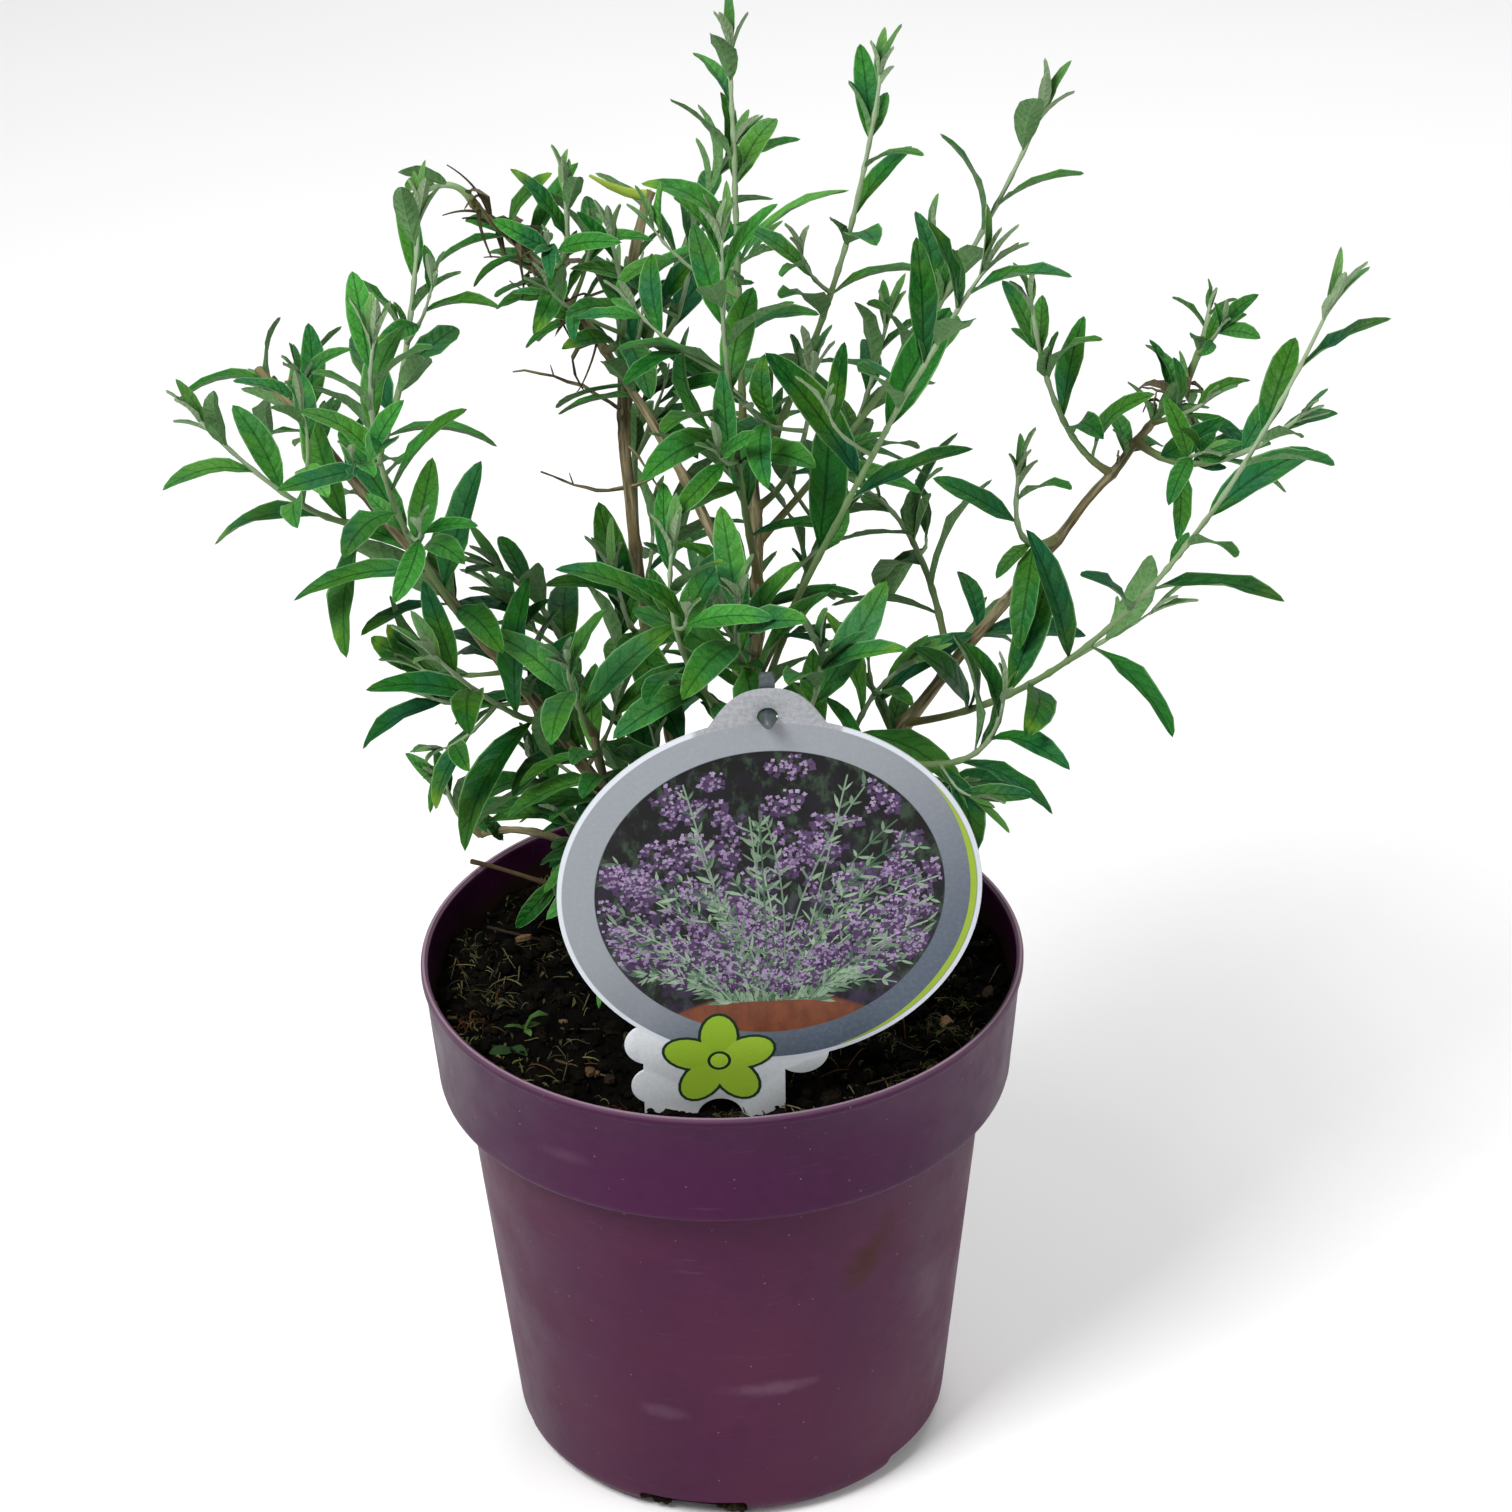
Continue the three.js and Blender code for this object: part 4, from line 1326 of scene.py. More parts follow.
@dataclass(frozen=True)
class ShootPlan:
    """One leafy shoot: its bough, its place on it, tip, bow and how it is clothed."""

    name: str
    parent: str
    at: float
    tip: Triple
    bow: Triple
    leaf: float
    twigs: int
    seed: int
    bare: float = 0.1
    spacing: float = 0.29

    @property
    def tone(self) -> Tone:
        """Shade of its full-grown leaves."""
        if self.name in DEEP_SHOOTS:
            return Tone.DEEP
        return Tone.FRESH if self.name in FRESH_SHOOTS else Tone.MID


def rear_shoot(
    name: str, parent: str, at: float, angle: float, reach: float, height: float, seed: int
) -> ShootPlan:
    """Plans a shoot of the fan round the back by its angle, reach and height."""
    x, y = polar(math.radians(angle), reach)
    bow = (x * 0.08, y * 0.08, 6)
    return ShootPlan(name, parent, at, (x, y, height), bow, 31, 1, seed, bare=0.16)


BOUGHS = tuple(BoughPlan("bough_" + name, *rest) for name, *rest in (
    ("back", "stump", 0.66, (-17, 95, 391), (-18, 12, 22), (3.1, 2.1)),
    ("left", "stump", 0.58, (-136, 32, 363), (-12, -18, 33), (3.1, 1.9)),
    ("right", "stump", 0.6, (145, 42, 348), (21, -8, 33), (3.1, 1.4)),
    ("centre", "stump", 0.8, (10, 30, 337), (8, -5, 30), (3.2, 1.9)),
    ("low_left", "stump", 0.34, (-77, 48, 188), (-4, 2, 16), (2.2, 1.4)),
    ("front_left", "stump", 0.48, (-37, -28, 269), (-7, -4, -2), (2.4, 1.6)),
    ("front", "stump", 0.62, (16, -16, 275), (-2, -10, 0), (2.6, 1.8)),
    ("front_right", "stump", 0.46, (44, -26, 259), (6, -6, -4), (2.4, 1.6)),
    ("high_left", "bough_centre", 0.45, (-70, 62, 402), (3, 18, 4), (2.3, 1.4)),
))
SHOOTS = tuple(
    ShootPlan("foliage_" + name, "bough_" + parent, *rest)
    for name, parent, *rest in (
        ("top", "centre", 1, (8, 52, 469), (0, 1, -1), 30, 1, 452),
        ("upper_right_a", "centre", 0.85, (55, 10, 475), (5, 3, -5), 31, 1, 3766),
        ("upper_right_b", "centre", 0.35, (84, -52, 441), (4, -12, 20), 37, 1, 3077, 0.24),
        ("upper_right_c", "centre", 0.65, (107, 38, 451), (6, 6, -6), 33, 1, 3085, 0.2),
        ("big_arch", "right", 0.28, (183, -61, 430), (5, -14, -22), 36, 1, 495, 0.12),
        ("left_front", "left", 0.42, (-97, -48, 419), (-11, -10, 5), 31, 2, 4508),
        ("high_left", "left", 0.7, (-82, 36, 426), (2, 0, -13), 28, 1, 3465),
        ("far_left", "left", 0.64, (-158, -23, 380), (4, -2, -12), 32, 1, 2077),
        ("centre_tall", "centre", 0.55, (4, -12, 434), (-3, -6, 8), 31, 2, 187),
        ("front_star", "front", 1, (6, -58, 337), (-4, -2, -3), 36, 0, 546, 0.1, 0.22),
        ("front_top", "front", 0.7, (36, -52, 318), (6, -5, 2), 36, 0, 3510),
        ("centre_front", "front", 0.85, (-15, -46, 352), (-9, -6, -2), 34, 1, 3513),
        ("front_left", "front_left", 1, (-45, -55, 315), (-1, 0, -1), 32, 0, 1279, 0.1, 0.24),
        ("mid_left", "left", 0.2, (-70, 12, 316), (4, 4, 10), 31, 1, 3533, 0.2),
        ("left_low", "left", 0.3, (-90, -46, 312), (2, 0, -6), 36, 1, 4596),
        ("left_tip", "left", 0.86, (-121, 2, 384), (2, 1, -6), 27, 0, 2508, 0.1, 0.24),
        ("rim_left", "low_left", 0.5, (-60, -8, 256), (0, -2, -2), 26, 0, 4970),
        ("low_left", "low_left", 1, (-92, 44, 218), (-2, 1, -2), 26, 0, 3574, 0.1, 0.24),
        ("centre_left", "back", 0.33, (-34, 18, 304), (0, -4, -8), 35, 0, 4289, 0.1, 0.24),
        ("centre_right", "centre", 0.74, (34, -10, 388), (4, 2, -6), 35, 1, 3241),
        ("right_mid", "right", 0.16, (60, -16, 292), (-2, -2, 8), 34, 1, 3610, 0.2),
        ("right_low", "front_right", 1, (96, -50, 295), (9, 0, -12), 34, 1, 1367, 0.1, 0.24),
        ("right_inner", "right", 0.58, (88, -8, 350), (-5, -3, -8), 30, 0, 3280, 0.1, 0.26),
        ("right_a", "right", 0.72, (92, 15, 398), (-3, 2, -10), 27, 0, 2933),
        ("right_b", "right", 0.8, (184, 2, 357), (-3, -5, -9), 22, 1, 1046),
        ("right_head", "right", 1, (154, 47, 378), (1, -1, 0), 16, 1, 360),
        ("head_left", "high_left", 0.8, (-40, 42, 425), (4, -4, -8), 26, 1, 2265),
        ("head_mid", "high_left", 0.58, (-28, 34, 412), (5, -4, -8), 26, 1, 2973),
        ("head_tip", "high_left", 1, (-92, 66, 408), (1, 0, 4), 20, 0, 4735),
        ("back_high", "back", 0.72, (2, 62, 398), (3, 0, -14), 33, 1, 394),
    )
) + tuple(
    rear_shoot("foliage_" + name, "bough_" + parent, *rest)
    for name, parent, *rest in (
        ("rear_left", "back", 0.42, 102, 96, 334, 409),
        ("rear", "back", 0.6, 84, 132, 402, 3015),
        ("rear_right", "centre", 0.28, 52, 96, 366, 4078),
        ("rear_low_right", "right", 0.36, 60, 88, 306, 5139),
        ("rear_low_left", "low_left", 0.3, 112, 84, 262, 4799),
    )
)
DEEP_SHOOTS = {"foliage_" + name for name in (
    "left_low", "right_low", "mid_left", "rear", "rear_left", "rear_right", "rear_low_right",
    "rear_low_left", "centre_left", "back_high", "upper_right_b", "big_arch",
)}
FRESH_SHOOTS = {"foliage_" + name for name in (
    "front_star", "front_top", "far_left", "top", "front_left", "rim_left", "low_left",
    "right_mid",
)}
SPARSE_SHOOTS = {"foliage_" + name for name in (
    "top", "upper_right_a", "upper_right_b", "upper_right_c", "big_arch", "centre_right",
    "right_inner", "right_a",
)}


@dataclass(frozen=True)
class TwigPlan:
    """Short side twigs along part of a bough: how many, how long, and their leaves."""

    bough: str
    start: float
    end: float
    count: int
    length: float
    leaf: float
    tone: Tone
    away: Triple = (0, 0, 0)


@dataclass(frozen=True)
class SpurPlan:
    """Leafy spurs along part of a bough: tufts of leaves a set gap apart."""

    bough: str
    start: float
    end: float
    gap: float
    leaf: float
    leaves: int
    tone: Tone
    away: Triple = (0, 0, 0)


@dataclass(frozen=True)
class LonePlan:
    """One leaf that hangs by itself from a bough: its root, run, size and tone."""

    bough: str
    root: Triple
    run: Triple
    length: float
    width: float
    tone: Tone


TWIGS = tuple(TwigPlan("bough_" + name, *rest) for name, *rest in (
    ("high_left", 0.45, 0.8, 4, 22, 26, Tone.MID, (-0.5, 0, -0.85)),
    ("back", 0.2, 0.42, 2, 28, 30, Tone.DEEP, (-1, 0, 0)),
    ("back", 0.66, 0.8, 3, 28, 30, Tone.MID, (-1, 0, 0)),
    ("centre", 0.2, 0.95, 8, 32, 32, Tone.MID, (-0.4, 0, 0)),
    ("left", 0.06, 0.42, 5, 30, 32, Tone.DEEP),
    ("left", 0.45, 0.95, 4, 20, 28, Tone.MID, (1, 0, 0.2)),
    ("right", 0.06, 0.4, 4, 30, 32, Tone.DEEP),
    ("right", 0.7, 0.95, 2, 18, 20, Tone.MID),
    ("front_left", 0.15, 0.9, 4, 26, 30, Tone.FRESH),
    ("front", 0.25, 0.9, 4, 26, 32, Tone.MID),
    ("front_right", 0.25, 0.9, 4, 28, 32, Tone.MID),
    ("low_left", 0.2, 0.5, 3, 22, 25, Tone.MID),
))
SPURS = tuple(SpurPlan("bough_" + name, *rest) for name, *rest in (
    ("high_left", 0.42, 0.92, 8, 26, 3, Tone.MID),
    ("back", 0.66, 0.8, 8, 30, 3, Tone.MID, (-1, 0, 0)),
    ("centre", 0.25, 0.99, 8, 31, 3, Tone.MID),
    ("left", 0.1, 0.5, 9, 31, 3, Tone.DEEP),
    ("left", 0.55, 0.96, 11, 25, 2, Tone.MID),
    ("right", 0.08, 0.42, 12, 31, 2, Tone.DEEP),
    ("right", 0.75, 0.98, 7, 18, 3, Tone.MID),
    ("front_left", 0.2, 0.97, 9, 29, 3, Tone.FRESH),
    ("front", 0.25, 0.97, 9, 31, 3, Tone.MID),
    ("front_right", 0.25, 0.97, 9, 31, 3, Tone.MID),
    ("low_left", 0.2, 0.55, 9, 23, 3, Tone.MID),
))
LONE_LEAVES = (
    LonePlan("bough_low_left", (-51, 36.5, 178.5), (-13, -7.8, -11), 19, 6.4, Tone.DEEP),
    LonePlan("bough_low_left", (-70, 46, 186.5), (-3, -4, 8), 15, 4.6, Tone.FRESH),
    LonePlan("bough_low_left", (-70, 46, 186.5), (-9, 2, 6), 14, 4.4, Tone.FRESH),
)


@dataclass(frozen=True)
class TwigHabit:
    """How a side twig stands: its reach onward and outward, its rise, and the turns tried."""

    onward: float
    outward: float
    rise: float
    turns: Sequence[float]


SHOOT_TWIG = TwigHabit(0.62, 0.78, 0.12, RETRIES)
BOUGH_TWIG = TwigHabit(0.55, 0.8, 0.1, (*RETRIES, -85, 130, -130, 180))
AWAY_LIMIT = 0.25
TWIG_EASE = 0.6


@dataclass
class Shoot:
    """A growing shoot: its stem, its stream, and the twigs and leaves it has made."""

    owner: str
    leaf: float
    stem: Limb
    stream: Stream
    tone: Tone
    packed: bool = True
    twigs: list[Limb] = field(default_factory=list)
    leaves: list[tuple[Limb, float, Blade]] = field(default_factory=list)
    young: list[Blade] = field(default_factory=list)
    small: list[Blade] = field(default_factory=list)


@dataclass
class Growth:
    """Grows the plant: limbs, twigs and leaves, each kept to free space."""

    label_box: Box
    claims: Claims = field(default_factory=Claims)
    limbs: dict[str, Limb] = field(default_factory=dict)
    shoots: list[Shoot] = field(default_factory=list)
    spur_leaves: dict[Tone, list[Blade]] = field(
        default_factory=lambda: {tone: [] for tone in Tone}
    )

    def grow(self) -> None:
        """Grows the whole plant in the source's order, then its finer parts."""
        self.claims.take(self.label_box)
        self.limbs["stump"] = StumpLimb(
            point(0, 0, 157.4), point(1.5, 3, 187), point(-0.6, 0, 0), 7.2, 5.6
        )
        for plan in BOUGHS:
            start = self.limbs[plan.parent].at(plan.at)
            self.limbs[plan.name] = Limb(start, point(*plan.tip), point(*plan.bow), *plan.radii)
        self.shoots = [self.set_out(plan) for plan in SHOOTS]
        for name, limb in self.limbs.items():
            self.claim_limb(name, limb, LIMB_BOXES)
        for shoot in self.shoots:
            self.claim_limb(shoot.owner, shoot.stem, STEM_BOXES)
        for plan, shoot in zip(SHOOTS, self.shoots, strict=True):
            self.sprout(shoot, plan.twigs)
        for plan, shoot in zip(SHOOTS, self.shoots, strict=True):
            bare = max(plan.bare, 8 / shoot.stem.length)
            self.clothe(shoot, shoot.stem, plan.leaf, plan.spacing, bare, 2)
            for twig in shoot.twigs:
                self.clothe(shoot, twig, plan.leaf * 0.72, 0.4, 0.25, 1)
        self.carry_on()

    def set_out(self, plan: ShootPlan) -> Shoot:
        """Sets out a shoot's stem, drawn back from its tip by part of a leaf."""
        start = self.limbs[plan.parent].at(plan.at)
        tip = point(*plan.tip)
        tip = tip - unit(tip - start) * 0.4 * plan.leaf
        stem = Limb(start, tip, point(*plan.bow), *STEM_RADII)
        return Shoot(plan.name, plan.leaf, stem, Stream(plan.seed), plan.tone)

    def claim_limb(self, owner: str, limb: Limb, count: int) -> None:
        """Takes the space along a limb."""
        for box in limb_boxes(owner, limb, count):
            self.claims.take(box)

    def grow_twig(
        self,
        owner: str,
        limb: Limb,
        share: float,
        turn: float,
        length: float,
        habit: TwigHabit,
        away: Triple = (0, 0, 0),
    ) -> Limb | None:
        """Grows one side twig, turned until its way is free.

        Args:
            owner: Name of the shoot or bough.
            limb: What it grows from.
            share: How far along it.
            turn: Angle about it, in degrees.
            length: The twig's length.
            habit: How it stands.
            away: Direction that it keeps from.

        Returns:
            The twig, or None where every way is taken.
        """
        tangent, start = limb.tangent(share), limb.at(share)
        for shift in habit.turns:
            out = swung(limb.side, tangent, turn + shift)
            tip = start + tangent * length * habit.onward + out * length * habit.outward
            tip[2] += length * habit.rise
            if out @ point(*away) > AWAY_LIMIT or not clear_of_pot(tip):
                continue
            twig = Limb(start, tip, out * length * 0.1, *TWIG_RADII)
            if self.claims.take_all(limb_boxes(owner, twig, TWIG_BOXES)):
                return twig
        return None

    def sprout(self, shoot: Shoot, twigs: int) -> None:
        """Grows a shoot's side twigs, each left out where its way is taken."""
        stream = shoot.stream
        for index in range(twigs):
            share = 0.22 + (0.58 * (index + 0.2 + 0.6 * stream())) / twigs
            turn, length = stream() * 360, mix(*TWIG_LENGTHS, stream())
            twig = self.grow_twig(shoot.owner, shoot.stem, share, turn, length, SHOOT_TWIG)
            if twig:
                shoot.twigs.append(twig)

    def place_leaf(
        self,
        owner: str,
        limb: Limb,
        share: float,
        turn: float,
        lean: float,
        hang: float,
        length: float,
        stream: Stream,
        slim: Pair = LEAF_SLIM,
        ease: float = 1.0,
    ) -> Blade | None:
        """Places one leaf on a limb, trying a few turns about it.

        Args:
            owner: Name of the shoot.
            limb: The stem or twig.
            share: How far along it.
            turn: Angle about it, in degrees.
            lean: Angle away from it, in degrees.
            hang: How far the leaf's run drops.
            length: The leaf's length.
            stream: Where its width and roll are drawn from.
            slim: Least and most width as shares of the length.
            ease: Share of its breadth and thickness that must be free.

        Returns:
            The leaf, or None where its space is taken.
        """
        tangent = limb.tangent(share)
        width = length * mix(*slim, stream())
        roll = (stream() - 0.5) * ROLL_SPAN
        for shift in RETRIES:
            out = swung(limb.side, tangent, turn + shift)
            angle = math.radians(lean)
            along = tangent * math.cos(angle) + out * math.sin(angle)
            along[2] -= hang
            along = unit(along)
            up = tangent * 0.6
            up[2] += 0.5
            up = swung(unit(up - along * (up @ along)), along, roll)
            root = limb.at(share) - along * ROOT_SINK * limb.radius(share)
            leaf = Blade(owner, root, along, up, length, width)
            if leaf.fits(self.claims, ease):
                self.claims.take(leaf.claim())
                return leaf
        return None

    def clothe(
        self,
        shoot: Shoot,
        limb: Limb,
        size: float,
        spacing: float,
        bare: float,
        bunch: int,
        ease: float = 1.0,
    ) -> None:
        """Clothes a limb with alternate leaves and a bunch of small ones at its tip."""
        owner, stream = shoot.owner, shoot.stream
        count = max(2, math.floor(limb.length * (1 - bare) / (size * spacing) + 0.5))
        first = stream() * 360
        for index in range(count):
            share = bare + (LAST_LEAF - bare) * (index + 0.4) / count
            turn = first + index * GOLDEN_TURN + (stream() - 0.5) * 24
            lean = mix(*LEAF_LEANS, share) + (stream() - 0.5) * 16
            grown = 0.72 + 0.28 * math.sin(math.pi * min(1, 0.15 + share))
            length = size * grown * (1 + (stream() - 0.5) * 0.3)
            hang = LEAF_HANG * (1 - share)
            leaf = self.place_leaf(
                owner, limb, share, turn, lean, hang, length, stream, ease=ease
            )
            if leaf:
                shoot.leaves.append((limb, share, leaf))
        for index in range(bunch):
            share = 1 - (index + 0.4) * BUNCH_STEP / limb.length
            turn = first + 60 + index * GOLDEN_TURN
            length = size * (0.36 + index * 0.1)
            leaf = self.place_leaf(owner, limb, share, turn, 13 + index * 8, 0, length, stream)
            if leaf:
                shoot.young.append(leaf)

    def carry_on(self) -> None:
        """Grows the finer parts that the source leaves out: young leaves at tips and axils."""
        for number, plan in enumerate(TWIGS):
            self.branch_out(plan, Stream(8001 + number))
        for number, plan in enumerate(SPURS):
            self.tuft_bough(plan, Stream(7001 + number))
        for plan in LONE_LEAVES:
            run, up = unit(point(*plan.run)), point(0, -0.6, 0.8)
            leaf = Blade(plan.bough, point(*plan.root), run, up, plan.length, plan.width)
            self.spur_leaves[plan.tone].append(leaf)
        for number, shoot in enumerate(self.shoots):
            stream = Stream(9001 + number)
            for limb in (shoot.stem, *shoot.twigs):
                self.fill_tip(shoot, limb, stream)
            for limb, share, leaf in shoot.leaves:
                if stream() < 0.2:
                    self.fill_axil(shoot, limb, share, leaf, stream)

    def branch_out(self, plan: TwigPlan, stream: Stream) -> None:
        """Grows leafy side twigs from a bough."""
        for index in range(plan.count):
            share = mix(plan.start, plan.end, (index + 0.2 + 0.6 * stream()) / plan.count)
            turn, length = stream() * 360, plan.length * stream.between(0.75, 1.25)
            limb = self.limbs[plan.bough]
            twig = self.grow_twig(plan.bough, limb, share, turn, length, BOUGH_TWIG, plan.away)
            if twig:
                shoot = Shoot(plan.bough, plan.leaf, twig, stream, plan.tone, packed=False)
                self.clothe(shoot, twig, plan.leaf, 0.3, 0.22, 1, TWIG_EASE)
                self.shoots.append(shoot)

    def tuft_bough(self, plan: SpurPlan, stream: Stream) -> None:
        """Grows tufts of leaves straight from a bough's old wood."""
        limb = self.limbs[plan.bough]
        away = point(*plan.away)
        count = max(1, round(limb.length * (plan.end - plan.start) / plan.gap))
        first = stream() * 360
        for index in range(count):
            share = mix(plan.start, plan.end, (index + stream()) / count)
            tangent = limb.tangent(share)
            for part in range(plan.leaves):
                turn = first + index * GOLDEN_TURN + part * stream.between(70, 130)
                length = plan.leaf * stream.between(0.62, 1.08)
                lean, hang = stream.between(38, 74), stream.between(0, 0.35)
                if swung(limb.side, tangent, turn) @ away > AWAY_LIMIT:
                    continue
                leaf = self.place_leaf(
                    plan.bough, limb, share, turn, lean, hang, length, stream, ease=TWIG_EASE
                )
                if leaf:
                    self.spur_leaves[plan.tone].append(leaf)

    def fill_tip(self, shoot: Shoot, limb: Limb, stream: Stream) -> None:
        """Adds narrow young leaves that stand close round a tip."""
        first = stream() * 360
        for index in range(3 if limb is shoot.stem and shoot.packed else 2):
            share = 1 - (0.2 + index * 1.5) / limb.length
            lean = 6 + index * 8 + stream() * 6
            length = shoot.leaf * stream.between(0.3, 0.55)
            turn = first + index * GOLDEN_TURN
            leaf = self.place_leaf(
                shoot.owner, limb, share, turn, lean, 0, length, stream, (0.22, 0.28), 0.7
            )
            if leaf:
                shoot.young.append(leaf)

    def fill_axil(
        self, shoot: Shoot, limb: Limb, share: float, leaf: Blade, stream: Stream
    ) -> None:
        """Adds one or two small leaves in the fork above a leaf."""
        tangent = limb.tangent(share)
        out = unit(leaf.along - tangent * (leaf.along @ tangent))
        for index in range(1 + (stream() < 0.6)):
            aside = swung(out, tangent, (index * 2 - 1) * stream.between(20, 50))
            angle = math.radians(stream.between(22, 48))
            along = unit(tangent * math.cos(angle) + aside * math.sin(angle))
            length = stream.between(9, 19)
            width = length * stream.between(0.27, 0.36)
            up = swung(unit(np.cross(np.cross(along, tangent), along)), along, stream() * 60 - 30)
            root = limb.at(min(1.0, share + 1.2 / limb.length))
            small = Blade(shoot.owner, root, along, up, length, width)
            if small.fits(self.claims):
                self.claims.take(small.claim())
                shoot.small.append(small)


# Shapes of the plant, from its growth.


class BladeShape:
    """Outline and faces of one kind of leaf blade, closed and thin."""

    def __init__(
        self, places: Sequence[float], widths: Sequence[float], columns: int, sheet: float
    ) -> None:
        """Sets out the rows of a blade.

        Args:
            places: Share of the length of each row, the tip not among them.
            widths: Half width of each row as a share of the widest.
            columns: Points across, an odd number.
            sheet: Thickness in millimetres.
        """
        self.u = np.array(places)
        self.width = np.array(widths)
        self.v = np.linspace(-1, 1, columns)
        self.sheet = sheet
        rows, inner = len(places), columns - 2
        below = rows * columns
        tip = below + rows * inner

        def under(row: int, column: int) -> int:
            """Gives the number of a point of the underside."""
            if column in (0, columns - 1):
                return row * columns + column
            return below + row * inner + column - 1

        self.faces: list[Face] = []
        self.slots: list[int] = []
        for row in range(rows - 1):
            for column in range(columns - 1):
                a, b = row * columns + column, (row + 1) * columns + column
                self.faces.append((a, b, b + 1, a + 1))
                self.slots.append(0)
                c, d = under(row, column), under(row, column + 1)
                e, f = under(row + 1, column + 1), under(row + 1, column)
                self.faces.append((c, d, e, f))
                self.slots.append(1)
        last = (rows - 1) * columns
        for column in range(columns - 1):
            self.faces.append((last + column, tip, last + column + 1))
            self.slots.append(0)
            self.faces.append((under(rows - 1, column + 1), tip, under(rows - 1, column)))
            self.slots.append(1)
        cap = [*range(columns), *(under(0, column) for column in range(columns - 2, 0, -1))]
        self.faces.append(cap)
        self.slots.append(1)

    def mesh(
        self,
        blade: Blade,
        stream: Stream,
        curl: float = 1.0,
        reach: float = 1.0,
        broad: float = 1.0,
    ) -> tuple[Point, Point]:
        """Bends the blade into the shape of one leaf.

        Args:
            blade: Where the leaf sits.
            stream: Where its bends are drawn from.
            curl: How strongly it bends.
            reach: How much longer it is drawn than its claim.
            broad: How much wider it is drawn.

        Returns:
            Its points and their pattern coordinates.
        """
        length, half = blade.length * reach, blade.width * broad / 2
        arch = stream.between(0.05, 0.11) * curl
        droop = stream.between(0.01, 0.13) * curl
        sickle = stream.between(-0.05, 0.05)
        fold = stream.between(0.14, 0.4)
        twist = math.radians(stream.between(-16, 16)) * curl
        ripple = stream.between(0.01, 0.028) * length
        beat, phase = stream.between(1.6, 3.0), stream() * 6.28
        u = np.append(self.u, 1.0)
        wide = np.append(self.width, 0.0) * half
        v = self.v
        centre = (arch * 4 * u * (1 - u) - droop * u**3) * length
        swing = sickle * 4 * u * (1 - u) * length
        turn = twist * (u - 0.3)
        across = wide[:, None] * v
        lift = fold * wide[:, None] * np.abs(v) ** 1.3
        wave = np.sin(beat * 2 * math.pi * u[:, None] + phase + 1.9 * np.sign(v))
        lift = lift + ripple * wave * v**2 * np.sin(math.pi * u[:, None] ** 0.8)
        cos, sin = np.cos(turn)[:, None], np.sin(turn)[:, None]
        y = swing[:, None] + across * cos - lift * sin
        z = centre[:, None] + across * sin + lift * cos
        x = np.broadcast_to(length * u[:, None], y.shape)
        thick = self.sheet * (1 + 0.8 * (np.abs(v) < 0.01))
        top = np.stack([x, y, z], axis=-1)
        low = np.stack([x, y, z - thick], axis=-1)
        inner = slice(1, len(v) - 1)
        middle = len(v) // 2
        local = np.vstack(
            [top[:-1].reshape(-1, 3), low[:-1, inner].reshape(-1, 3), top[-1:, middle]]
        )
        axes = np.array([blade.along, blade.side, blade.normal])
        grid = np.stack(np.broadcast_arrays(u[:, None], v / 2 + 0.5), axis=-1)
        pattern = np.vstack(
            [grid[:-1].reshape(-1, 2), grid[:-1, inner].reshape(-1, 2), grid[-1:, middle]]
        )
        return blade.root + local @ axes, pattern

    def lay(
        self,
        heap: Gathering,
        blade: Blade,
        stream: Stream,
        tint: float | None = None,
        plain: bool = False,
        **form: float,
    ) -> None:
        """Adds one leaf to a heap.

        Args:
            heap: Where it goes.
            blade: Where it sits.
            stream: Where its bends are drawn from.
            tint: Its shade, drawn from the stream if left out.
            plain: Whether one material covers both of its sides.
            **form: Its curl, reach and breadth.
        """
        points, pattern = self.mesh(blade, stream, **form)
        slots = 0 if plain else self.slots
        heap.add(points, self.faces, slots, pattern, stream() if tint is None else tint)


LEAF_BLADE = BladeShape(
    (0, 0.05, 0.13, 0.26, 0.41, 0.57, 0.73, 0.87, 0.96),
    (0.09, 0.12, 0.42, 0.78, 0.97, 1.0, 0.89, 0.62, 0.31),
    5,
    0.34,
)
YOUNG_BLADE = BladeShape(
    (0, 0.12, 0.33, 0.58, 0.8, 0.94),
    (0.16, 0.44, 0.92, 1.0, 0.76, 0.38),
    3,
    0.38,
)


# Sub-assemblies.

COLLAR_FOOT = 132
LIP = 169.6
WALL = 1.4


def wall_at(height: float) -> float:
    """Gives the pot wall's outer radius at a height, in millimetres."""
    if height < COLLAR_FOOT:
        return mix(70, 83, (height - 8) / 124)
    return mix(91, 94.1, (height - COLLAR_FOOT) / 37.6)


WALL_RADIUS = wall_at(SOIL_LEVEL)


def soil_height(x: float, y: float) -> float:
    """Gives the compost's broad level at a place, in millimetres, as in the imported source."""
    share = smooth(math.hypot(x, y), 13, 25)
    waves = math.sin(x * 0.11 + 1) * math.cos(y * 0.13) + 0.5 * math.sin((x + y) * 0.21)
    return SOIL_LEVEL + 1.9 * waves * share


def surface_height(x: float, y: float) -> float:
    """Gives the compost's crumbly surface at a place, in millimetres."""
    lumps = 0.0
    for scale, layer, depth in ((0.075, 3.1, 3.4), (0.21, 7.7, 2.2), (0.6, 1.3, 1.0)):
        lumps += noise.noise(Vector((x * scale, y * scale, layer))) * depth
    share = smooth(math.hypot(x, y), 6, 16)
    return soil_height(x, y) + lumps * mix(0.35, 1, share)


def on_surface(x: float, y: float, lift: float) -> Point:
    """Gives the point of the crumbly surface at a place, lifted off it."""
    return point(x, y, surface_height(x, y) + lift)


def keep_in(place: Point, limit: float) -> None:
    """Pulls a place in to within a distance of the pot's middle."""
    reach = math.hypot(place[0], place[1])
    if reach > limit:
        place[:2] *= limit / reach


